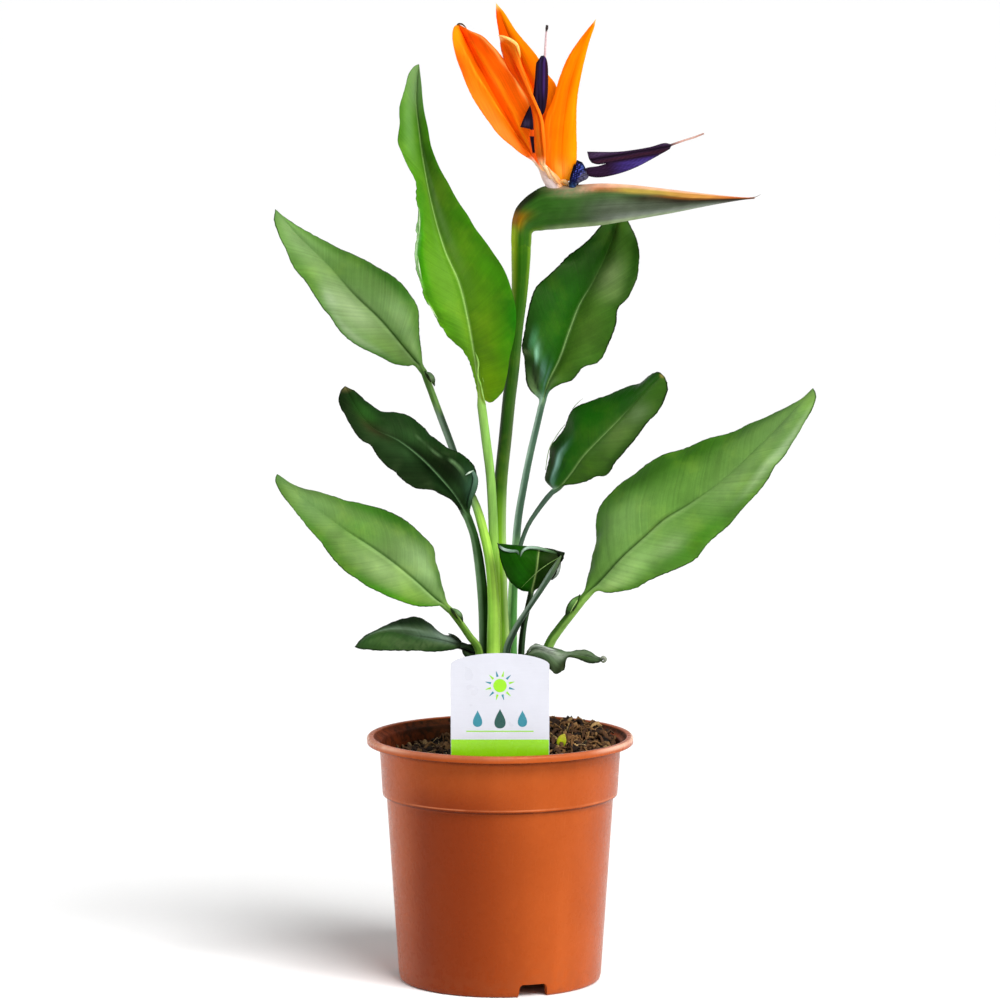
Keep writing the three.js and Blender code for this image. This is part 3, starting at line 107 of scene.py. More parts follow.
SEPALS = {
    "sepal_left_boat": dict(
        stalk=[[30.2, 0, 512.8, 1.6], [26.5, 0.6, 517.8, 1.7]],
        rib=[[23.3, 1, 521.6], [12.6, 1.5, 536], [3.1, 3, 551.7], [-6.3, 3, 568.6], [-16.3, 2, 587.4], [-26.3, -5, 608.8]],
        left=[[21.7, 0, 522.2], [10.7, -5, 529.7], [-3.1, -10, 542.7], [-16.9, -14, 562.8], [-26.3, -15, 584.7], [-30, -11, 602], [-28.8, -7, 607], [-26.3, -5, 608.8]],
        right=[[25.2, 0.5, 521.6], [23, -1, 531.1], [21.4, -2, 539.3], [19.8, -3.4, 550], [19.1, -5.4, 560.1], [12.2, -5.4, 572], [5.3, -5.4, 583.2], [0.9, -7.4, 588.9], [-3.1, -10, 593.5], [-10, -9, 600.7], [-19.4, -7, 605.1], [-26.3, -5, 608.8]],
    ),
    "sepal_back": dict(
        stalk=[[32.2, 3, 512.7, 1.6], [32.5, 4.5, 517, 1.7]],
        rib=[[32.2, 6, 521.4], [28.4, 8, 542.1], [22.1, 10, 564], [12, 12, 587.2], [3.8, 13, 604.8], [-2.5, 14, 621.7]],
        left=[[30.3, 5, 521.4], [18.9, 6, 548.4], [7.6, 7, 573.5], [1.9, 9, 589.2], [-0.6, 11, 601.7], [-2.5, 13, 614.2], [-2.5, 14, 621.7]],
        right=[[34.1, 6, 521.4], [35.9, 5, 548.5], [35.3, 5, 569.8], [29.6, 7, 577.9], [23.9, 8, 587.9], [10.7, 11, 603.6], [2.5, 13, 616.1], [-2.5, 14, 621.7]],
    ),
    "sepal_front_folded": dict(
        stalk=[[32.1, -5.2, 512.4, 1.2], [29.5, -6.6, 516.9, 1.3]],
        rib=[[27.3, -7.6, 520.7], [26.3, -12, 533.4], [24.4, -14.8, 550.4], [19.4, -13.4, 564], [13.2, -11, 576.5], [6.9, -10.5, 588.9], [0, -12, 600.8]],
        left=[[24.8, -7, 520.6], [21.8, -10.5, 530.2], [21.2, -13.4, 542.8], [20.3, -13, 552.2], [17.3, -10, 562.7], [9.9, -6, 573.8], [2.8, -5, 585.1], [0.5, -8, 593.9], [0, -12, 600.8]],
        right=[[28.4, -8.2, 520.7], [28.8, -12, 530.3], [28.3, -15, 539.7], [26.7, -16, 550.4], [23.5, -16, 558.5], [19.6, -15.5, 567.2], [15.4, -15, 579.1], [11.3, -15, 590.3], [8.1, -14, 597.1], [0, -12, 600.8]],
    ),
    "sepal_right": dict(
        stalk=[[41.9, 1, 502.7, 1.8], [41, 0.8, 507.1, 1.9]],
        rib=[[39.4, 0.3, 510.3], [38.7, -3.4, 529.9], [40.5, -3.4, 551.9], [44.6, -1.6, 573.7], [50.9, -0.8, 592.5], [60.3, 0, 611.9]],
        left=[[34, -1, 510.6], [29.6, -3, 517.7], [26.9, -4, 524.9], [27, -4.4, 531.8], [27.4, -4.8, 542.5], [28.9, -4.4, 551.9], [33, -3, 561.3], [37.7, -2, 576.3], [42.7, -1, 588.1], [50.2, 0, 599.4], [60.3, 0, 611.9]],
        right=[[43.8, 0, 510.3], [47.6, -2, 518.6], [48.4, -3, 529.9], [48.1, -4, 542.5], [48.5, -4, 561.3], [51.5, -3, 578.8], [55.9, -1, 596.9], [59, 0, 606.2], [60.3, 0, 611.9]],
    ),
}
YOUNG_LEAF = [[4.8, -12.5, 124, 2.5], [4.8, -13, 150, 2.5], [4.6, -14, 195, 2.5], [4.4, -15.5, 214.1, 2.4], [8.9, -21, 226.4, 2.1], [13.9, -30, 236.5, 1.8], [18.8, -40, 245.5, 1.7], [25.7, -49, 257.5, 2], [31.9, -54, 268.2, 2.1], [35.6, -56, 274.8, 1.4], [38, -57, 279.3, 0.5]]
SCAPE = [[1.5, 0, 124, 4.4], [1.6, 0, 150, 4.4], [1.9, 0, 215, 4.3], [0.6, 0, 244, 4.2], [0, 0, 269.6, 4.2], [-0.3, 0, 295.2, 4.1], [0.6, 0, 320.8, 4.1], [3.2, 0, 346.3, 4.1], [5.7, 0, 371.7, 4.1], [7.9, 0, 390.8, 4.2], [10.1, 0, 416.2, 4.3], [12, 0, 435.2, 4.8], [12.9, 0, 451, 5.5], [13.3, 0, 465.5, 6]]
ARROW_UPRIGHT = [[28.2, -9, 589.5], [29.8, -9, 584.5], [30.1, -9, 569.5], [29.5, -8.5, 561.4], [27.6, -8, 553.3], [23.9, -7.5, 548.9], [22, -7.6, 542.6], [22, -6.8, 536.3], [22, -5, 528.7], [26.4, -4, 521.8], [29.9, -3, 515.5], [28.3, -3, 514.2], [23.9, -4, 520.5], [19.5, -5, 528.1], [18.2, -7, 537.6], [19.1, -7.8, 543.2], [12.6, -7.8, 544.5], [16.3, -8.6, 553.3], [19.4, -9, 559.6], [21.3, -9, 569.5], [22.6, -9, 584.5], [25.7, -9, 588.9]]
ARROW_SIDEWAYS = [[108.3, 0, 533.2], [103.9, 0, 534.2], [94.4, 0, 531.7], [74.9, 0, 528.8], [54.8, 0, 528.8], [56.1, 0, 524.1], [57.9, 0, 521.6], [61.7, 0, 520.7], [66.8, 0, 521.3], [61.7, 0, 519.7], [55.4, 0, 518.8], [51, 0, 517.2], [47.3, 0.6, 512.1], [45.4, 1, 504.6], [47.9, 1, 503.3], [49.8, 0.6, 509], [52.9, 0, 514.1], [58, 0, 512.8], [63, 0, 512.5], [74.3, 0, 514.7], [85.7, 0, 518.8], [97.6, 0, 525.1], [107, 0, 530.4]]
HOOD_PETAL = [[48.4, -5, 523.7], [51.6, -5, 522.4], [53.5, -5, 519.3], [54.7, -5, 515.5], [53.5, -5, 511.1], [48.5, -4.6, 508.6], [46.6, -4, 504.2], [44.1, -4, 504.2], [43.4, -4.6, 509.2], [45.3, -5, 516.2]]
STYLE_UPRIGHT = [[27.6, -9, 580.2, 0.7], [28.2, -9, 591.4, 0.7], [28.6, -9, 598.9, 0.6], [29, -9, 604.5, 0.6], [29.3, -9, 606.4, 0.9], [29.4, -9, 608.2, 0.7]]
STYLE_SIDEWAYS = [[97.6, 0, 529.5, 0.7], [109.5, 0, 533.6, 0.7], [115.8, 0, 535.8, 0.6], [122.8, 0, 538, 0.6], [128.4, 0, 540.2, 0.5]]
YELLOW_BIT = (39.5, -8)
FLORET_CONE = [[35.6, 0.4, 502.1, 4], [35, 0, 505.9, 4.9], [33.1, -0.5, 509.7, 5.2], [30.2, -0.8, 514.1, 4.6], [27.4, -0.6, 518.2, 3.3], [24.9, 0, 521, 2.1], [23, 0.4, 522.5, 1]]
FLORET_DOT = (35.5, 510.5)
ARROW_BANDS = (542.8, 538.7, 528.1, 523.7)
ARROW_FOOT_X = (18.60, 20.48)
# Narrow strips of tissue on the pieces: rows of x, y, z, half width, then (share of length, colour), thickness, curl, dark rim.
EXTRAS = {
    "leaf_upper_left": [
        ([[-47.81, 13.2, 389.04, 0.32], [-46.72, 12.4, 387.2, 0.95], [-45.45, 12.4, 384.65, 0.89], [-44, 12.8, 382.06, 0.32]],
         [(0, (16, 30, 12)), (1, (14, 26, 10))], 0.45, 0, 0),
        ([[-47.04, 12.5, 388.47, 0.38], [-44.48, 11.4, 386.97, 1.27], [-42.83, 11.2, 384.11, 1.58], [-42.2, 11.6, 381.53, 1.01], [-41.58, 12.2, 379.56, 0.32]],
         [(0, (84, 114, 76)), (0.5, (112, 140, 100)), (0.75, (40, 64, 32)), (1, (12, 22, 8))], 0.5, 0.25, 0.8),
    ],
    "leaf_lower_right": [
        ([[50.65, -15.2, 249.51, 0.32], [49.37, -16.2, 246.77, 1.14], [47.47, -16.6, 242.99, 1.27], [46.22, -16.2, 239.1, 0.38]],
         [(0, (18, 44, 12)), (1, (16, 34, 10))], 0.5, 0, 0),
        ([[49.76, -15.6, 248.6, 0.38], [47.71, -17, 246.23, 1.9], [45.43, -17.8, 243.15, 2.41], [43.41, -17.8, 239.96, 1.9], [41.53, -17, 236.34, 0.44]],
         [(0, (44, 84, 28)), (0.3, (96, 138, 72)), (0.6, (60, 96, 44)), (0.82, (20, 42, 14)), (1, (12, 24, 10))], 0.7, 0.15, 0.85),
        ([[48.96, -18.4, 246.42, 0.25], [46.55, -18.8, 242.65, 0.29], [44.54, -18.2, 238.74, 0.19]],
         [(0, (170, 200, 120)), (1, (140, 176, 96))], 0.3, 0, 0),
    ],
    # curled strips on the foot and the left margin, their pale middles painted highlights
    "leaf_tall_upright": [
        ([[-15.69, -24.6, 404.23, 0.13], [-14.43, -24.5, 401.08, 0.44], [-13.56, -24.3, 397.28, 0.54], [-13.81, -23.9, 392.21, 0.38], [-13.57, -23.6, 387.77, 0.51], [-11.69, -23.2, 382.69, 0.57], [-10.69, -22.4, 376.95, 0.44], [-9.06, -21.6, 371.19, 0.19]],
         [(0, (130, 180, 70)), (0.3, (160, 204, 104)), (0.55, (130, 184, 66)), (0.8, (164, 208, 110)), (1, (130, 178, 76))], 0.4, 0.35, 0),
        ([[-10.93, -24.4, 387.84, 0.16], [-9.8, -24.4, 384.06, 0.44], [-9.92, -24, 381.5, 0.35], [-8.17, -24, 379.61, 0.44], [-7.04, -23.6, 376.42, 0.19]],
         [(0, (126, 170, 66)), (0.4, (160, 200, 112)), (0.7, (96, 140, 30)), (1, (140, 180, 84))], 0.4, 0.35, 0),
        ([[-50.61, -34.4, 495.04, 0.19], [-50.24, -35.2, 488.85, 0.44], [-50.24, -35.8, 482.65, 0.38], [-50.87, -36, 476.43, 0.19]],
         [(0, (120, 166, 80)), (0.5, (184, 206, 166)), (1, (120, 166, 80))], 0.35, 0.2, 0),
        ([[-51.39, -36, 465.2, 0.19], [-50.77, -36.2, 460.22, 0.51], [-49.91, -36, 455.21, 0.44], [-48.81, -35.4, 450.17, 0.19]],
         [(0, (120, 166, 80)), (0.5, (190, 210, 174)), (1, (120, 166, 80))], 0.35, 0.2, 0),
        ([[-45, -33, 436.25, 0.19], [-41.89, -32.4, 430.57, 0.38], [-38.79, -31, 425.46, 0.19]],
         [(0, (130, 170, 90)), (0.5, (190, 212, 160)), (1, (130, 170, 90))], 0.3, 0.2, 0),
    ],
    "leaf_lower_left": [
        ([[-31.28, -22, 241.81, 0.32], [-30, -23.6, 240.11, 0.89], [-28.42, -23.6, 237.56, 0.82], [-26.92, -22.6, 235.13, 0.32]],
         [(0, (16, 36, 12)), (1, (14, 28, 10))], 0.45, 0, 0),
        ([[-30.32, -22.6, 241.57, 0.38], [-27.47, -24.2, 240.19, 1.2], [-25.26, -24.4, 237.67, 1.46], [-24.26, -23.6, 235.65, 0.95], [-23.51, -22.6, 233.28, 0.32]],
         [(0, (96, 132, 80)), (0.5, (104, 138, 92)), (0.78, (30, 54, 24)), (1, (12, 24, 10))], 0.5, 0.25, 0.8),
    ],
    "leaf_mid_left": [
        ([[-17.68, -14.5, 328.38, 1.01], [-15.53, -15.6, 323.73, 1.65], [-16.28, -17, 317.54, 1.9], [-18.55, -18, 311.3, 1.39], [-20.2, -18, 305.58, 0.51]],
         [(0, (84, 112, 96)), (0.35, (70, 100, 80)), (0.7, (52, 82, 58)), (1, (24, 48, 24))], 0.4, 0.2, 0.75),
        ([[-21.76, -18, 325.9, 0.25], [-19.55, -18, 327.29, 0.57], [-16.65, -17, 328.64, 0.25]],
         [(0, (150, 172, 150)), (0.5, (190, 204, 188)), (1, (120, 144, 120))], 0.3, 0, 0),
    ],
    "leaf_low_left_small": [
        ([[-32.68, -10.8, 223.89, 0.32], [-29.82, -11.8, 222.5, 1.01], [-26.64, -12.4, 220.4, 0.95], [-24.49, -12.4, 218.87, 0.32]],
         [(0, (90, 106, 98)), (0.3, (26, 36, 28)), (1, (14, 22, 14))], 0.5, 0.3, 0.5),
        ([[-25.05, -13.6, 216.35, 1.01], [-21.56, -14, 216.02, 1.58], [-18.07, -14, 215.38, 2.16], [-15.22, -13.6, 213.66, 1.9], [-13.7, -13, 211.52, 0.63]],
         [(0, (34, 52, 34)), (0.3, (14, 26, 14)), (0.7, (18, 44, 20)), (1, (6, 12, 6))], 1.4, 0.1, 0.85),
        ([[-23.79, -13.6, 213.79, 0.63], [-21.82, -14, 211.54, 1.65], [-19.03, -14, 210, 1.9], [-15.6, -13.6, 211.23, 1.39]],
         [(0, (8, 14, 8)), (0.5, (14, 34, 16)), (1, (6, 12, 6))], 1.2, 0.1, 0.8),
    ],
    "leaf_mid_right": [
        ([[28.96, 2.6, 326.88, 0.22], [29.97, 3.4, 334.46, 0.25], [31.74, 3.6, 341.46, 0.25], [35.23, 3.4, 347.54, 0.25], [38.07, 3.2, 351.96, 0.22], [41.24, 3, 355.8, 0.13]],
         [(0, (70, 96, 60)), (0.5, (150, 170, 130)), (1, (60, 84, 44))], 0.25, 0, 0),
        ([[46.06, 4, 365.64, 0.22], [48.84, 3.6, 369.12, 0.22], [52.63, 3.2, 372.47, 0.08]],
         [(0, (60, 90, 50)), (0.5, (130, 150, 116)), (1, (110, 128, 100))], 0.2, 0, 0),
    ],
    # the first two strips run along the fold's crest, their pale grey-green middles painted highlights
    "leaf_front_folded": [
        ([[-1.57, -30.5, 284.09, 0.32], [0, -32.5, 282.24, 0.76], [2.51, -34.4, 280.64, 0.95], [6.91, -35.6, 279.77, 0.95], [10.87, -36, 279.44, 0.76], [11.93, -36.6, 277.05, 0.25]],
         [(0, (12, 20, 10)), (0.14, (40, 60, 44)), (0.35, (158, 178, 168)), (0.65, (118, 146, 128)), (1, (36, 56, 34))], 0.7, 0.3, 0.35),
        ([[12.81, -37.4, 276.2, 0.25], [14.06, -36.8, 279.67, 0.76], [16.96, -35.8, 281.7, 0.95], [22.62, -35, 281.73, 1.01], [28.27, -34.6, 280.28, 1.01], [33.31, -34, 278.69, 0.89], [37.08, -34, 277.36, 0.63]],
         [(0, (60, 80, 60)), (0.2, (146, 168, 154)), (0.5, (112, 138, 116)), (0.75, (70, 98, 64)), (1, (18, 32, 14))], 0.7, 0.3, 0.35),
        ([[35.57, -34, 278.56, 0.38], [38.08, -35, 277.55, 1.2], [39.21, -35.2, 275.55, 0.95], [38.46, -35, 272.99, 0.32]],
         [(0, (16, 26, 12)), (1, (8, 12, 6))], 0.8, 0.1, 0),
        ([[37.05, -37, 275.77, 0.16], [30.75, -39.4, 272.4, 0.2], [23.84, -41.2, 267.57, 0.2], [17.58, -39.4, 261.27, 0.18], [13.2, -37.2, 256.55, 0.11]],
         [(0, (96, 128, 64)), (0.5, (116, 144, 84)), (1, (70, 110, 40))], 0.22, 0, 0),
        ([[37.97, -33.6, 272.81, 0.57], [36.33, -34.6, 268.25, 1.58], [34.58, -34.6, 264.45, 1.58], [32.45, -34, 261.33, 0.44]],
         [(0, (60, 70, 58)), (0.4, (140, 148, 140)), (0.8, (96, 108, 96)), (1, (40, 52, 38))], 0.5, 0.3, 0.7),
    ],
    "leaf_low_right_twisted": [
        ([[62.96, -36.4, 211.11, 0.44], [64.96, -36.8, 212.7, 0.82], [66.35, -36.8, 211.17, 1.01], [65.1, -36.6, 209.49, 0.7], [63.59, -36.4, 210.09, 0.25]],
         [(0, (70, 84, 60)), (0.4, (150, 154, 140)), (0.8, (96, 104, 86)), (1, (60, 70, 50))], 0.7, 0.2, 0.3),
        # painted highlight: a pale band along the blade
        ([[17.04, -29.5, 214.81, 0.51], [20.81, -30, 218.39, 0.95], [25.85, -31, 218.6, 0.89], [31.52, -32, 216.83, 0.76], [36.56, -32.6, 215.9, 0.32]],
         [(0, (60, 76, 50)), (0.4, (140, 150, 138)), (0.8, (170, 176, 168)), (1, (90, 104, 84))], 0.5, 0.3, 0.2),
    ],
    "sepal_left_boat": [
        ([[-27.57, -5.6, 607.19, 0.25], [-25.94, -6, 608.87, 0.51], [-23.55, -6.8, 608.57, 0.51], [-20.92, -7.6, 606.09, 0.22]],
         [(0, (96, 72, 30)), (0.4, (46, 40, 26)), (0.8, (84, 60, 34)), (1, (200, 130, 70))], 0.4, 0.2, 0),
    ],
    # the pale curled tip, its paleness partly painted highlight
    "sepal_front_folded": [
        ([[-0.88, -13, 601.81, 0.32], [3.12, -14.6, 600.71, 0.76], [7.18, -15.8, 598.74, 0.95], [10.31, -16.6, 596.14, 0.95], [11.74, -16.8, 592.53, 0.76], [12.75, -16.8, 587.81, 0.25]],
         [(0, (255, 206, 110)), (0.3, (255, 226, 130)), (0.6, (255, 214, 120)), (0.85, (255, 190, 80)), (1, (255, 160, 50))], 0.5, 0.3, 0),
    ],
    "floret_tube": [
        ([[25.77, -6.4, 522.82, 0.32], [28.03, -6.4, 520, 1.14], [31.05, -6.6, 516.24, 1.52], [33.58, -6.4, 512.46, 1.39], [35.85, -5.6, 508.66, 0.63]],
         [(0, (240, 190, 130)), (0.3, (246, 222, 196)), (0.7, (250, 214, 170)), (1, (232, 190, 150))], 0.5, 0.25, 0.1),
        ([[29.91, -7.4, 519.41, 0.25], [32.43, -7.6, 515.65, 0.76], [34.82, -7.4, 512.26, 0.82], [37.35, -6.4, 508.32, 0.38]],
         [(0, (255, 190, 110)), (0.4, (255, 206, 140)), (0.8, (250, 186, 110)), (1, (220, 160, 100))], 0.4, 0.3, 0.05),
        ([[36.89, -3.4, 508.93, 0.38], [39.27, -3.6, 510.45, 1.14], [41.54, -3.6, 509.7, 1.39], [43.44, -3.2, 508.17, 0.76]],
         [(0, (240, 190, 110)), (0.4, (222, 170, 90)), (0.8, (200, 160, 110)), (1, (150, 120, 84))], 0.5, 0.2, 0.1),
    ],
    "hood_petal": [
        ([[49.45, -4.6, 512.01, 0.76], [51.96, -5, 512.4, 1.65], [54.1, -5, 513.28, 1.58], [55.74, -4.6, 514.52, 0.63]],
         [(0, (40, 48, 76)), (0.4, (84, 84, 104)), (0.75, (70, 64, 84)), (1, (24, 16, 28))], 0.7, 0.1, 0.85),
        ([[46.77, -6.2, 521.24, 0.32], [45.89, -6.6, 517.49, 0.51], [44.64, -6.4, 513.09, 0.57], [44.28, -5.6, 508.66, 0.38]],
         [(0, (10, 6, 14)), (0.5, (8, 6, 14)), (1, (20, 26, 44))], 0.4, 0, 0),
    ],
    "flower_spathe": [
        ([[156.32, -0.3, 499.35, 0.57], [159.47, -0.3, 499.85, 0.32], [161.99, -0.3, 500.61, 0.18], [164.5, -0.3, 501.99, 0.08]],
         [(0, (150, 60, 20)), (0.3, (110, 64, 40)), (0.6, (120, 110, 100)), (1, (150, 146, 140))], 0.3, 0, 0),
    ],
}
# Spathe sections: outer x, z, inner x, z, half depth, slit depth.
SPATHE = [[6.9, 466.5, 19.6, 466.5, 6.1, 0], [7.1, 476.9, 19.9, 473.7, 6.4, 0], [7.9, 486.4, 20.2, 477.2, 6.9, 0], [10.1, 493, 21.5, 478.5, 7.5, 0], [15.1, 499, 23.7, 478.9, 8.2, 0], [20.8, 503.4, 26.2, 479, 8.8, 0], [26.5, 506.5, 29, 479.4, 9.4, 0.6], [33.4, 507.5, 34.1, 479.7, 10.1, 2.4], [41.6, 507.5, 41.6, 480.4, 10.6, 3.4], [52.3, 508.1, 52.4, 481.3, 10.2, 3.6], [63.6, 508.7, 63.7, 482.4, 9.4, 3.4], [78.8, 508.1, 78.8, 484.8, 8, 3], [94.5, 506.5, 94.6, 487.6, 6.6, 2.4], [110.3, 504.6, 110.4, 490.4, 5.2, 1.7], [126.1, 502.7, 126.1, 493.6, 3.7, 1], [139.9, 501.2, 140, 496.2, 2.4, 0.4], [152.6, 500.1, 152.6, 498.3, 1.2, 0], [160.1, 499.8, 160.1, 499.1, 0.6, 0]]

RIM_RADIUS, RIM_Z, LIP_HEIGHT = 85.0, 157.0, 4.6
COLLAR_TOP, COLLAR_FOOT, COLLAR_FOOT_Z = 77.4, 75.1, 120.0
BODY_TOP, BODY_FOOT, WALL = 72.4, 64.8, 1.7
FOOT_IN, FOOT_OUT, FLOOR_Z, FLOOR_THICK = 60.0, 62.6, 8.4, 2.0
NOTCH_W, NOTCH_H, NOTCH_ANGLES = 19.0, 8.2, (-71, 49, 169)
CARD_W, CARD_FOOT, CARD_SHOULDER, CARD_CROWN, CARD_THICK, CARD_Y = 61.6, 149.0, 212.4, 219.4, 0.9, -66.0
STAKE_W, STAKE_FOOT = 13.0, 118.0


# ---------------------------------------------------------------- small tools
def lin(colour):
    c = np.asarray(colour, float) / 255.0
    return np.where(c <= 0.04045, c / 12.92, ((c + 0.055) / 1.055) ** 2.4)


def smooth(a, b, x):
    t = np.clip((np.asarray(x, float) - a) / (b - a), 0, 1)
    return t * t * (3 - 2 * t)


def unit(v, fallback=None):
    n = np.linalg.norm(v, axis=-1, keepdims=True)
    out = v / np.maximum(n, 1e-9)
    if fallback is not None:
        out = np.where(n > 1e-6, out, fallback)
    return out


def wob(x, seed, waves=5, spread=2.2):
    """A smooth random curve between about -1 and 1."""
    rng = np.random.RandomState(seed)
    x = np.asarray(x, float)
    out = np.zeros_like(x)
    total = 0.0
    for i in range(waves):
        f = 0.6 + spread * rng.rand()
        a = 0.4 + rng.rand()
        out += a * np.sin(2 * math.pi * (f * x + rng.rand()))
        total += a
    return out / total * 1.7


def wob2(x, y, seed, waves=7, spread=2.0):
    rng = np.random.RandomState(seed)
    out = np.zeros(np.broadcast(x, y).shape)
    for i in range(waves):
        ang = rng.rand() * math.pi
        f = 0.5 + spread * rng.rand()
        out += np.sin(2 * math.pi * (f * (np.cos(ang) * x + np.sin(ang) * y) + rng.rand()))
    return out / waves * 1.7


def mix(a, b, t):
    t = np.asarray(t, float)[..., None]
    return a * (1 - t) + b * t


def curve(points, per=24):
    """A smooth polyline through the points (centripetal), with extra columns carried along."""
    P = np.asarray(points, float)
    P = np.vstack([2 * P[0] - P[1], P, 2 * P[-1] - P[-2]])
    out = []
    u = np.linspace(0, 1, per, endpoint=False)[:, None]
    for i in range(1, len(P) - 2):
        p0, p1, p2, p3 = P[i - 1 : i + 3]
        d = [math.sqrt(max(np.linalg.norm(b[:3] - a[:3]), 1e-8)) for a, b in ((p0, p1), (p1, p2), (p2, p3))]
        m1 = ((p1 - p0) / d[0] - (p2 - p0) / (d[0] + d[1]) + (p2 - p1) / d[1]) * d[1]
        m2 = ((p2 - p1) / d[1] - (p3 - p1) / (d[1] + d[2]) + (p3 - p2) / d[2]) * d[1]
        out.append(p1 + m1 * u + (-3 * p1 + 3 * p2 - 2 * m1 - m2) * u**2 + (2 * p1 - 2 * p2 + m1 + m2) * u**3)
    out.append(P[-2][None])
    return np.vstack(out)


def at(points, stops):
    """Points on that curve at shares of its length."""
    C = curve(points)
    step = np.linalg.norm(np.diff(C[:, :3], axis=0), axis=1)
    s = np.concatenate([[0], np.cumsum(step)])
    s /= s[-1]
    return np.stack([np.interp(stops, s, C[:, c]) for c in range(C.shape[1])], 1)


def length_of(points):
    return float(np.linalg.norm(np.diff(curve(points)[:, :3], axis=0), axis=1).sum())


def tangents(P):
    return unit(np.vstack([P[1:2] - P[0:1], P[2:] - P[:-2], P[-1:] - P[-2:-1]]))


def carried(path, side):
    """Frames along a path, carried from its last point to its first without twist."""
    T = tangents(path)
    A = np.zeros_like(path)
    s = np.array(side, float)
    for i in range(len(path) - 1, -1, -1):
        s = s - T[i] * (s @ T[i])
        s /= np.linalg.norm(s)
        A[i] = s
    return A, np.cross(A, T), T


def metres(P):
    P = np.array(P, float)
    P[..., 0] += AXIS_X
    return P * 0.001


def make(name, P, quads=None, tris=None, attrs=None, mats=None, replaces=(), indices=None, flat=False, parts=None):
    """A mesh piece from arrays in millimetres."""
    P = metres(P)
    quads = np.zeros((0, 4), int) if quads is None else np.asarray(quads, int)
    tris = np.zeros((0, 3), int) if tris is None else np.asarray(tris, int)
    me = bpy.data.meshes.new(name)
    me.vertices.add(len(P))
    me.vertices.foreach_set("co", P.astype(np.float32).ravel())
    loops = np.concatenate([quads.ravel(), tris.ravel()]).astype(np.int32)
    me.loops.add(len(loops))
    me.loops.foreach_set("vertex_index", loops)
    starts = np.concatenate([np.arange(len(quads)) * 4, len(quads) * 4 + np.arange(len(tris)) * 3]).astype(np.int32)
    me.polygons.add(len(starts))
    me.polygons.foreach_set("loop_start", starts)
    if indices is not None:
        me.polygons.foreach_set("material_index", np.asarray(indices, np.int32))
    me.polygons.foreach_set("use_smooth", np.full(len(starts), not flat))
    me.update(calc_edges=True)
    me.validate()
    for key, value in (attrs or {}).items():
        value = np.asarray(value, np.float32)
        if value.ndim == 1:
            me.attributes.new(key, "FLOAT", "POINT").data.foreach_set("value", value)
        elif key.startswith("tint"):
            rgba = np.concatenate([value, np.ones((len(value), 1), np.float32)], 1)
            me.attributes.new(key, "FLOAT_COLOR", "POINT").data.foreach_set("color", rgba.ravel())
        else:
            me.attributes.new(key, "FLOAT_VECTOR", "POINT").data.foreach_set("vector", value.ravel())
    for m in mats or ():
        me.materials.append(m)
    o = bpy.data.objects.new(name, me)
    bpy.context.scene.collection.objects.link(o)
    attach(o, "root")
    if replaces:
        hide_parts(*replaces)
    return o


def tube_faces(n, k, closed_ends=True, base=0):
    i, j = np.meshgrid(np.arange(n - 1), np.arange(k), indexing="ij")
    a = (i * k + j).ravel() + base
    b = (i * k + (j + 1) % k).ravel() + base
    quads = np.stack([a, b, b + k, a + k], 1)
    if not closed_ends:
        return quads, np.zeros((0, 3), int)
    j = np.arange(k)
    nxt = (j + 1) % k
    first, last, end = base + n * k, base + n * k + 1, base + (n - 1) * k
    tris = np.vstack([
        np.stack([np.full(k, first), base + nxt, base + j], 1),
        np.stack([np.full(k, last), end + j, end + nxt], 1),
    ])
    return quads, tris


def capped(grid, ends):
    """Ring grid values with the two end values after them."""
    n, k = grid.shape[:2]
    flat = grid.reshape((n * k,) + grid.shape[2:])
    return np.concatenate([flat, np.asarray(ends, float).reshape((2,) + grid.shape[2:])])


def joined(parts):
    """Several (P, quads, tris, attrs) as one."""
    P, Q, T, A, base = [], [], [], {}, 0
    for p, q, t, a in parts:
        P.append(p)
        if q is not None and len(q):
            Q.append(np.asarray(q) + base)
        if t is not None and len(t):
            T.append(np.asarray(t) + base)
        for key, value in a.items():
            A.setdefault(key, []).append(value)
        base += len(p)
    return (
        np.vstack(P),
        np.vstack(Q) if Q else np.zeros((0, 4), int),
        np.vstack(T) if T else np.zeros((0, 3), int),
        {key: np.concatenate(v) for key, v in A.items()},
    )


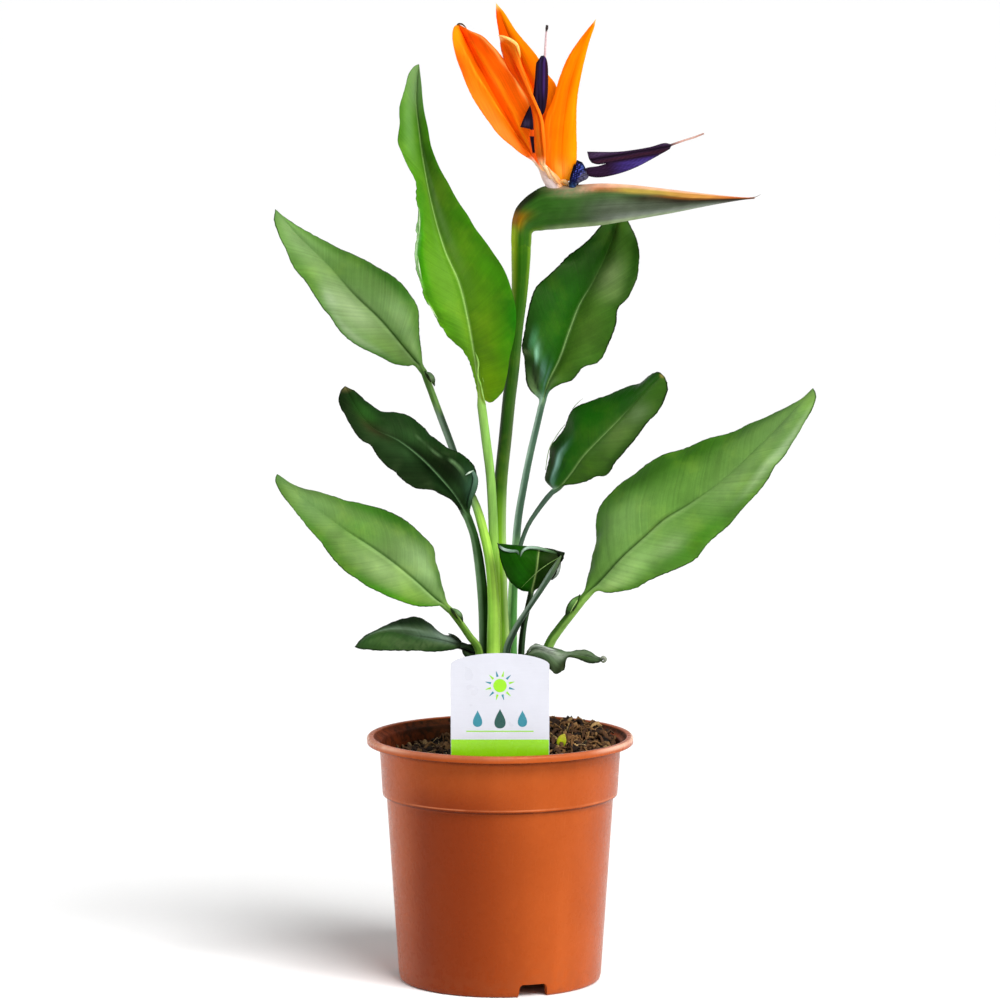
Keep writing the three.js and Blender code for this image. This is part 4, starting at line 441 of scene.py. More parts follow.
# ---------------------------------------------------------------- node materials
class Nodes:
    def __init__(self, name):
        self.mat = bpy.data.materials.new(name)
        self.mat.use_nodes = True
        self.tree = self.mat.node_tree
        self.tree.nodes.clear()
        self.out = self.add("ShaderNodeOutputMaterial")

    def add(self, kind, inputs=None, **props):
        n = self.tree.nodes.new(kind)
        for k, v in props.items():
            setattr(n, k, v)
        for k, v in (inputs or {}).items():
            self.put(n.inputs[k], v)
        return n

    def put(self, socket, v):
        if isinstance(v, bpy.types.NodeSocket):
            self.tree.links.new(v, socket)
        elif isinstance(v, (tuple, list, np.ndarray)):
            v = [float(x) for x in v]
            if len(socket.default_value) == 4 and len(v) == 3:
                v = v + [1.0]
            socket.default_value = v
        else:
            socket.default_value = v

    def attr(self, name, output="Vector"):
        return self.add("ShaderNodeAttribute", attribute_name=name).outputs[output]

    def place(self, what="Object"):
        return self.add("ShaderNodeTexCoord").outputs[what]

    def scaled(self, vector, scale, shift=(0, 0, 0)):
        return self.add("ShaderNodeMapping", {"Vector": vector, "Scale": scale, "Location": shift}).outputs[0]

    def noise(self, vector, scale, detail=2.0, rough=0.5, distortion=0.0, dims="3D"):
        return self.add(
            "ShaderNodeTexNoise",
            {"Vector": vector, "Scale": scale, "Detail": detail, "Roughness": rough, "Distortion": distortion},
            noise_dimensions=dims,
        ).outputs["Fac"]

    def voronoi(self, vector, scale, feature="F1", out="Distance", rand=1.0):
        return self.add("ShaderNodeTexVoronoi", {"Vector": vector, "Scale": scale, "Randomness": rand}, feature=feature).outputs[out]

    def ramp(self, value, a, b, to_a=0.0, to_b=1.0, smoothed=True):
        return self.add(
            "ShaderNodeMapRange",
            {"Value": value, "From Min": a, "From Max": b, "To Min": to_a, "To Max": to_b},
            interpolation_type="SMOOTHSTEP" if smoothed else "LINEAR",
        ).outputs[0]

    def math(self, op, a, b=0.0, clamp=False):
        n = self.add("ShaderNodeMath", {0: a, 1: b}, operation=op)
        n.use_clamp = clamp
        return n.outputs[0]

    def blend(self, fac, a, b, kind="MIX"):
        n = self.add("ShaderNodeMix", data_type="RGBA", blend_type=kind)
        n.clamp_factor = True
        self.put(n.inputs[0], fac)
        self.put(n.inputs[6], a)
        self.put(n.inputs[7], b)
        return n.outputs[2]

    def gain(self, colour, value):
        return self.add("ShaderNodeVectorMath", {0: colour, 3: value}, operation="SCALE").outputs[0]

    def hsv(self, colour, hue=0.5, sat=1.0, val=1.0):
        return self.add("ShaderNodeHueSaturation", {"Color": colour, "Hue": hue, "Saturation": sat, "Value": val}).outputs[0]

    def bump(self, height, distance, strength=1.0, normal=None):
        inputs = {"Height": height, "Distance": distance, "Strength": strength}
        if normal is not None:
            inputs["Normal"] = normal
        return self.add("ShaderNodeBump", inputs).outputs[0]

    def principled(self, **inputs):
        names = {k.replace("_", " "): v for k, v in inputs.items()}
        return self.add("ShaderNodeBsdfPrincipled", names)

    def finish(self, shader):
        self.tree.links.new(shader, self.out.inputs["Surface"])
        return self.mat


def plant_material(
    name, rough=0.45, spec=0.2, streak=0.16, fine=0.08, mottle=0.14, bump=1.0, margin=None, margin_mm=0.5, margin_mix=0.8,
    through=0.16, coat=0.0, streak_scale=(5.0, 0.5, 1.0), fine_scale=(26.0, 1.3, 1.0), warm=(200, 210, 60), speck=0.0, through_tint=(205, 225, 60),
    sheen=0.0, warm_mix=0.05, spec_tint=(0.75, 1.0, 0.42),
):
    """Waxy tissue: colour comes from the piece's own tint, with veins that follow lc, blotches, and a margin line."""
    m = Nodes(name)
    tint, lc, ed = m.attr("tint", "Color"), m.attr("lc"), m.attr("ed", "Fac")
    place = m.place()
    streaks = m.noise(m.scaled(lc, streak_scale), 1.0, 3.0, 0.55)
    lines = m.noise(m.scaled(lc, fine_scale), 1.0, 2.0, 0.5)
    blotch = m.noise(place, 46.0, 4.0, 0.6)
    grain = m.noise(place, 900.0, 2.0, 0.5)
    broad = m.noise(place, 17.0, 3.0, 0.55)
    gain = m.math("ADD", 1.0, m.math("MULTIPLY", m.math("SUBTRACT", m.ramp(streaks, 0.28, 0.72, 0, 1, False), 0.5), streak * 2))
    gain = m.math("ADD", gain, m.math("MULTIPLY", m.math("SUBTRACT", lines, 0.5), fine * 4))
    bands = m.noise(m.scaled(lc, (streak_scale[0] * 0.32, streak_scale[1] * 1.2, 1.0), (4, 2, 1)), 1.0, 2.0, 0.5)
    gain = m.math("ADD", gain, m.math("MULTIPLY", m.math("SUBTRACT", bands, 0.5), streak * 1.8))
    gain = m.math("ADD", gain, m.math("MULTIPLY", m.math("SUBTRACT", blotch, 0.5), mottle * 2.4))
    gain = m.math("ADD", gain, m.math("MULTIPLY", m.math("SUBTRACT", broad, 0.5), mottle * 2.2))
    gain = m.math("ADD", gain, m.math("MULTIPLY", m.math("SUBTRACT", grain, 0.5), 0.08))
    colour = m.gain(tint, gain)
    colour = m.blend(m.ramp(blotch, 0.48, 0.72, 0.0, warm_mix), colour, lin(warm), "MIX")
    if speck:
        dots = m.voronoi(place, 420.0)
        colour = m.blend(m.ramp(dots, 0.10, 0.2, speck, 0.0), colour, m.gain(colour, 0.45))
    if margin is not None:
        ragged = m.math("ADD", ed, m.math("MULTIPLY", m.math("SUBTRACT", m.noise(place, 320.0, 2.0), 0.5), 0.5))
        edge = m.ramp(ragged, margin_mm * 0.35, margin_mm * 1.35, margin_mix, 0.0)
        edge = m.math("MULTIPLY", edge, m.ramp(m.noise(place, 30.0, 2.0), 0.36, 0.6, 0.45, 1.0))
        colour = m.blend(edge, colour, lin(margin))
    height = m.math("ADD", m.math("MULTIPLY", streaks, 0.8), m.math("MULTIPLY", lines, 0.45))
    height = m.math("ADD", height, m.math("MULTIPLY", m.noise(place, 1500.0, 2.0), 0.12))
    normal = m.bump(height, 0.00028 * bump, 0.8)
    roughness = m.math("ADD", m.ramp(blotch, 0.3, 0.7, rough - 0.07, rough + 0.08), m.math("MULTIPLY", m.math("SUBTRACT", lines, 0.5), 0.12))
    p = m.principled(Base_Color=colour, Roughness=roughness, Normal=normal)
    p.inputs["Specular IOR Level"].default_value = spec
    p.inputs["Specular Tint"].default_value = (*spec_tint, 1.0)
    if coat:
        p.inputs["Coat Weight"].default_value = coat
        p.inputs["Coat Roughness"].default_value = 0.22
    if sheen:
        p.inputs["Sheen Weight"].default_value = sheen
        p.inputs["Sheen Roughness"].default_value = 0.5
    if not through:
        return m.finish(p.outputs[0])
    t = m.add("ShaderNodeBsdfTranslucent", {"Color": m.blend(0.55, colour, m.blend(1.0, colour, lin(through_tint), "MULTIPLY")), "Normal": normal})
    return m.finish(m.add("ShaderNodeMixShader", {0: through, 1: p.outputs[0], 2: t.outputs[0]}).outputs[0])


# ---------------------------------------------------------------- blades on stalks
def blade_piece(name, data, look, mats):
    """A leaf or a sepal: a round stalk that opens into a thin blade, one closed skin."""
    NU, NH, NS = look.get("rings", 120), look.get("half", 16), look.get("stalk_rings", 44)
    K = 4 * NH
    seed = look.get("seed", 1)
    stops = (np.arange(NU) / NU) ** look.get("crowd", 1.12)
    M, L, R = at(data["rib"], stops), at(data["left"], stops), at(data["right"], stops)
    tip = np.array(data["rib"][-1][:3], float)
    T = tangents(np.vstack([M, tip]))[:-1]
    A = R - L
    A = unit(A - T * (A * T).sum(1, keepdims=True))
    U = np.cross(A, T)
    wl, wr = np.linalg.norm(M - L, axis=1), np.linalg.norm(R - M, axis=1)
    nL, nR = unit(np.cross(M - L, T), U), unit(np.cross(R - M, T), U)
    long = length_of(data["rib"])

    x = np.arange(NH + 1) / NH
    tt = 0.82 * (1 - np.cos(math.pi * x)) / 2 + 0.18 * x
    top = np.concatenate([-tt[::-1], tt[1:]])
    t = np.concatenate([top, top[1:-1][::-1]])
    under = np.zeros(K, bool)
    under[len(top):] = True
    a = np.abs(t)[None, :]
    side = (t > 0)[None, :, None]
    edge = np.where(side, R[:, None], L[:, None])
    W = np.where(t[None, :] > 0, wr[:, None], wl[:, None])
    half_n = np.where(side, nR[:, None], nL[:, None])
    k = smooth(0.0, 0.4, a)[..., None]
    N = unit(U[:, None] * (1 - k) + half_n * k)
    s = stops[:, None]
    b = a * W * np.sign(t)[None, :]
    arc = s * long
    P = M[:, None] + a[..., None] * (edge - M[:, None])
    wf = np.clip(W / look.get("full", 16.0), 0, 1)
    bl, br = look.get("bulge", (2.0, 2.0))
    D = np.where(t[None, :] > 0, br, bl) * np.sin(math.pi * a**0.85) * wf
    ripple, wave = look.get("ripple", 0.9), look.get("wave", 24.0)
    ph = np.where(t[None, :] > 0, 1.7, 0.0) + 1.1 * wob(s * 2.5, seed + 3)
    D = D + ripple * np.where(t[None, :] > 0, look.get("ripple_right", 1.0), 1.0) * a**3 * np.sin(2 * math.pi * arc / wave + ph) * wf * (0.65 + 0.5 * wob(s * 3 + np.sign(t)[None, :], seed + 5))
    D = D + look.get("undulate", 0.8) * a * wob2(arc / 55.0, b / 40.0, seed + 7) * wf
    slant = look.get("slant", 1.0)
    q = arc - np.abs(b) * slant * (0.55 + 0.9 * s)
    D = D + look.get("pleat", 0.10) * np.sin(2 * math.pi * q / look.get("pleat_mm", 7.5) + 2.0 * wob(s * 4, seed + 9)) * np.sin(math.pi * np.clip(a, 0, 1)) * wf
    for c0, c1, width, height, *span in look.get("folds", ()):
        lo, hi = span if span else (0.0, 1.0)
        centre = c0 + (c1 - c0) * s
        env = smooth(lo - 0.06, lo + 0.1, s) * (1 - smooth(hi - 0.15, hi + 0.02, s))
        D = D + height * np.exp(-(((t[None, :] - centre) / width) ** 2)) * env
    ragged = look.get("ragged", 0.25) * np.where(t[None, :] > 0, look.get("calm_right", 1.0), 1.0) * (1 - 0.85 * smooth(look.get("calm_above", 2.0), look.get("calm_above", 2.0) + 0.1, s))
    P = P + (a[..., None] ** 6) * unit(edge - M[:, None], A[:, None]) * (ragged * (0.6 * wob(arc / 9.0 + 3 * np.sign(t)[None, :], seed + 11) + 0.4 * wob(arc / 3.6 + 3 * np.sign(t)[None, :], seed + 13)))[..., None]
    thick = look.get("thick", 0.5)
    th = thick * (1 - 0.45 * a**3)
    rs = float(data["stalk"][-1][3])
    rr = np.maximum(rs * 1.05 * (1 - s) ** 1.15, 0.3)
    groove = look.get("groove", 0.35) * np.exp(-((b / look.get("groove_mm", 0.9)) ** 2)) * (1 - 0.9 * smooth(look["paint"]["rib"][2] - 0.25, look["paint"]["rib"][2] + 0.1, s) if "rib" in look["paint"] else 1 - s**3)
    keel = look.get("keel", 1.0) * rr * np.exp(-((b / (rr * 1.1)) ** 2))
    off = np.where(under[None, :], D - th / 2 - keel, D + th / 2 - groove)
    off = np.where(np.abs(t)[None, :] >= 0.9999, D, off)
    flat = P + N * off[..., None]
    ang = math.pi - math.pi * np.arange(K) / (2 * NH)
    chan = look.get("channel", 0.12)

    def ring(centre, across, up, radius):
        rad = radius[:, None] * (1 - chan * np.exp(-(((ang - math.pi / 2) / 0.5) ** 2)))[None, :] * (1 + 0.012 * np.cos(11 * ang))[None, :]
        return centre[:, None] + across[:, None] * (rad * np.cos(ang))[..., None] + up[:, None] * (rad * np.sin(ang))[..., None]

    w0, w1 = look.get("open", (-0.01, 0.075))
    w = smooth(w0, w1, stops)
    blade = ring(M, A, U, np.full(NU, rs)) * (1 - w)[:, None, None] + flat * w[:, None, None]

    stalk = np.vstack([np.array(data["stalk"], float), np.r_[np.array(data["rib"][0][:3]), rs][None]])
    u = np.arange(NS) / NS
    path = at(stalk, np.arange(NS + 1) / NS)
    SA, SU, ST = carried(path[:, :3], A[0])
    stem = ring(path[:NS, :3], SA[:NS], SU[:NS], path[:NS, 3])
    slong = length_of(stalk)

    rings = np.concatenate([stem, blade])
    # surface coordinates
    around = ang[None, :] * 3.0
    lc_stem = np.stack(np.broadcast_arrays(around * 0.35, (u * slong)[:, None] / 40.0 - 3, float(seed)), -1)
    lc_blade = np.stack(np.broadcast_arrays(q / 10.0, b / 40.0, float(seed)), -1)
    first = np.stack(np.broadcast_arrays(around * 0.35, (slong + arc) / 40.0 - 3, float(seed)), -1)
    lc_blade = first * (1 - w)[:, None, None] + lc_blade * w[:, None, None]
    ed = (1 - a) * W
    ed = 10 * (1 - w)[:, None] + ed * w[:, None]
    paint = look["paint"]
    tb = paint_blade(paint, s, t[None, :], b, W, under[None, :], seed, arc, long)
    ts_stem = paint_stalk(paint, u[:, None], ang[None, :], seed)
    ts_first = paint_stalk(paint, np.ones((NU, 1)), ang[None, :], seed)
    tb = ts_first * (1 - w)[:, None, None] + tb * w[:, None, None]
    tint = np.concatenate([ts_stem, tb])
    lc = np.concatenate([lc_stem, lc_blade])
    ed = np.concatenate([np.full((NS, K), 10.0), ed])
    quads, tris = tube_faces(NS + NU, K)
    V = capped(rings, [rings[0].mean(0), tip])
    attrs = {
        "tint": np.clip(capped(tint, [tint[0].mean(0), tint[-1].mean(0)]), 0, 1),
        "lc": capped(lc, [lc[0].mean(0), lc[-1].mean(0)]),
        "ed": capped(ed, [10.0, 0.0]),
    }
    parts = [(V, quads, tris, attrs)]
    for extra in look.get("extras", ()):
        parts.append(extra)
    V, quads, tris, attrs = joined(parts)
    return make(name, V, quads, tris, attrs, mats, (name,))


def paint_blade(p, s, t, b, W, under, seed, arc, long):
    """Colour of a blade from a few named tones; the split between the halves is partly painted shade, and pale patches
    and stripes are partly painted highlights.
    """
    s, t, b, W = np.broadcast_arrays(s, t, b, W)
    c = mix(lin(p["left"]), lin(p["right"]), smooth(-0.08, 0.08, t))
    if "left_far" in p:
        c = mix(c, np.broadcast_to(lin(p["left_far"]), c.shape), smooth(0.25, 0.95, -t))
    if "right_far" in p:
        c = mix(c, np.broadcast_to(lin(p["right_far"]), c.shape), smooth(0.25, 0.95, t))
    for centre_s, centre_t, rs_, rt_, colour, amount in p.get("patches", ()):
        m = np.exp(-(((s - centre_s) / rs_) ** 2) - (((t - centre_t) / rt_) ** 2))
        c = mix(c, np.broadcast_to(lin(colour), c.shape), np.clip(m * amount, 0, 1))
    for t0, t1, width, colour, amount, *span in p.get("stripes", ()):
        lo, hi = span if span else (0.0, 1.0)
        centre = t0 + (t1 - t0) * s + 0.03 * wob(s * 2, seed + 31)
        m = np.exp(-(((t - centre) / width) ** 2)) * smooth(lo - 0.05, lo + 0.12, s) * (1 - smooth(hi - 0.12, hi + 0.03, s))
        c = mix(c, np.broadcast_to(lin(colour), c.shape), np.clip(m * amount, 0, 1))
    if "tip" in p:
        colour, start = p["tip"]
        c = mix(c, np.broadcast_to(lin(colour), c.shape), smooth(start, 1.0, s))
    if "base" in p:
        colour, end = p["base"]
        c = mix(c, np.broadcast_to(lin(colour), c.shape), 1 - smooth(0.0, end, s))
    if "rib" in p:
        colour, width, until = p["rib"]
        m = np.exp(-((b / (width * (1.15 - 0.6 * s))) ** 2)) * (1 - smooth(until - 0.2, until + 0.05, s))
        c = mix(c, np.broadcast_to(lin(colour), c.shape), np.clip(m, 0, 1) * p.get("rib_mix", 0.85) * (1 - np.broadcast_to(under, m.shape)))
    if "rib_shadow" in p:
        colour, shift, width, amount, until = p["rib_shadow"]
        m = np.exp(-(((b - shift) / width) ** 2)) * (1 - smooth(until - 0.2, until + 0.05, s))
        c = mix(c, np.broadcast_to(lin(colour), c.shape), np.clip(m, 0, 1) * amount)
    if "edge" in p:
        colour, width, amount = p["edge"]
        m = np.exp(-(((1 - np.abs(t)) * W / width) ** 2))
        c = mix(c, np.broadcast_to(lin(colour), c.shape), np.clip(m, 0, 1) * amount)
    pale = lin(p.get("under", (120, 150, 100)))
    c = np.where(np.broadcast_to(under, s.shape)[..., None], c * 0.45 + pale * 0.55, c)
    c = c * (1 + 0.05 * wob2(arc / 30.0, b / 22.0, seed + 41))[..., None]
    return c


def paint_stalk(p, u, ang, seed):
    u, ang = np.broadcast_arrays(u, ang)
    light, dark = lin(p.get("stalk", (120, 165, 60))), lin(p.get("stalk_dark", (60, 100, 30)))
    # one side of the stalk takes the second tone: painted light and painted shade across the stalk
    turn = p.get("stalk_turn", 2.6)
    m = 0.5 + 0.5 * np.cos(ang - turn)
    c = mix(np.broadcast_to(light, u.shape + (3,)), np.broadcast_to(dark, u.shape + (3,)), smooth(0.55, 0.95, m))
    if "stalk_low" in p:
        lo, hi = p.get("low_range", (0.15, 0.6))
        low = mix(np.broadcast_to(lin(p["stalk_low"]), c.shape), np.broadcast_to(lin(p.get("stalk_low_dark", p["stalk_low"])), c.shape), smooth(0.55, 0.95, m))
        c = mix(c, low, 1 - smooth(lo, hi, u))
    if "stalk_mid" in p:
        a, b = p["mid_range"]
        mid = mix(np.broadcast_to(lin(p["stalk_mid"]), c.shape), np.broadcast_to(lin(p["stalk_mid_dark"]), c.shape), smooth(0.55, 0.95, m))
        c = mix(c, mid, (1 - smooth(a, b, u)) * smooth(*p.get("low_range", (0.15, 0.6)), u))
    c = c * (1 + 0.10 * wob(u * 4 + ang * 0.2, seed + 51) + 0.08 * np.sin(7 * ang + seed))[..., None]
    return np.clip(c, 0, 1)


def round_stem(points, rings, sides, ribs=0.0, ribs_n=12, side=(1, 0, 0)):
    """P, quads, tris and (u, angle) of a round stem through points with radii."""
    path = at(points, np.arange(rings) / (rings - 1))
    A, U, T = carried(path[:, :3], side)
    ang = 2 * math.pi * np.arange(sides) / sides
    rad = path[:, 3:4] * (1 + ribs * np.cos(ribs_n * ang))[None, :]
    # anticlockwise as seen from the far end
    P = path[:, None, :3] + A[:, None] * (rad * np.cos(-ang))[..., None] + U[:, None] * (rad * np.sin(-ang))[..., None]
    quads, tris = tube_faces(rings, sides)
    ends = [path[0, :3], path[-1, :3]]
    return capped(P, ends), quads, tris, path


def ribbon(rows, colours, rings=40, sides=14, thick=0.4, curl=0.0, seed=1.0, rim=0.0, rim_colour=(10, 20, 8)):
    """A thin closed strip of tissue along (x, y, z, half width): a curled margin, a flap or a hair."""
    path = at(rows, np.arange(rings) / (rings - 1))
    T = tangents(path[:, :3])
    A = unit(np.cross(T, np.array([0.0, 1.0, 0.0])))
    U = np.cross(A, T)
    ang = -2 * math.pi * np.arange(sides) / sides
    w = path[:, 3][:, None]
    x, h = np.cos(ang)[None] * w, np.sin(ang)[None] * np.minimum(thick, w)
    h = h + curl * (np.cos(ang)[None] ** 2) * w
    P = path[:, None, :3] + A[:, None] * x[..., None] + U[:, None] * h[..., None]
    u = np.linspace(0, 1, rings)
    ks = [c[0] for c in colours]
    t = np.stack([np.interp(u, ks, [lin(c[1])[i] for c in colours]) for i in range(3)], 1)
    t = np.broadcast_to(t[:, None], P.shape) * (1 + 0.10 * np.cos(3 * ang + seed)[None] + 0.10 * wob(u * 3, int(seed) + 5)[:, None])[..., None]
    if rim:
        t = mix(t, np.broadcast_to(lin(rim_colour), P.shape), smooth(0.55, 0.95, np.abs(np.cos(ang)))[None] * rim * np.ones((rings, 1)))
    lc = np.stack(np.broadcast_arrays(np.cos(ang)[None] * 0.6, (u * length_of(rows) / 20.0)[:, None], float(seed)), -1)
    quads, tris = tube_faces(rings, sides)
    return capped(P, [path[0, :3], path[-1, :3]]), quads, tris, {
        "tint": np.clip(capped(t, [t[0].mean(0), t[-1].mean(0)]), 0, 1),
        "lc": capped(lc, [lc[0].mean(0), lc[-1].mean(0)]),
        "ed": np.full(rings * sides + 2, 10.0),
    }


# ---------------------------------------------------------------- foliage
LIGHT_GREEN = plant_material("leaf_light_skin", rough=0.42, spec=0.12, streak=0.10, fine=0.06, mottle=0.22, margin=(44, 84, 10), margin_mm=0.45, margin_mix=0.6, through=0.12)
SAGE = plant_material("leaf_sage_skin", rough=0.50, spec=0.14, streak=0.11, fine=0.07, mottle=0.30, margin=(22, 52, 10), margin_mm=0.7, margin_mix=0.85, through=0.06)
DEEP = plant_material("leaf_deep_skin", rough=0.42, spec=0.06, streak=0.18, fine=0.08, mottle=0.52, margin=(4, 10, 4), margin_mm=0.8, margin_mix=0.85, through=0.0, warm_mix=0.0)
GREY = plant_material("leaf_grey_skin", rough=0.42, spec=0.14, streak=0.20, fine=0.10, mottle=0.36, margin=(6, 14, 8), margin_mm=0.8, margin_mix=0.85, through=0.0, warm_mix=0.01)
GLOSS = plant_material("leaf_gloss_skin", rough=0.36, spec=0.15, streak=0.10, fine=0.07, mottle=0.28, margin=(4, 12, 3), margin_mm=1.0, margin_mix=0.95, through=0.02, warm_mix=0.02)

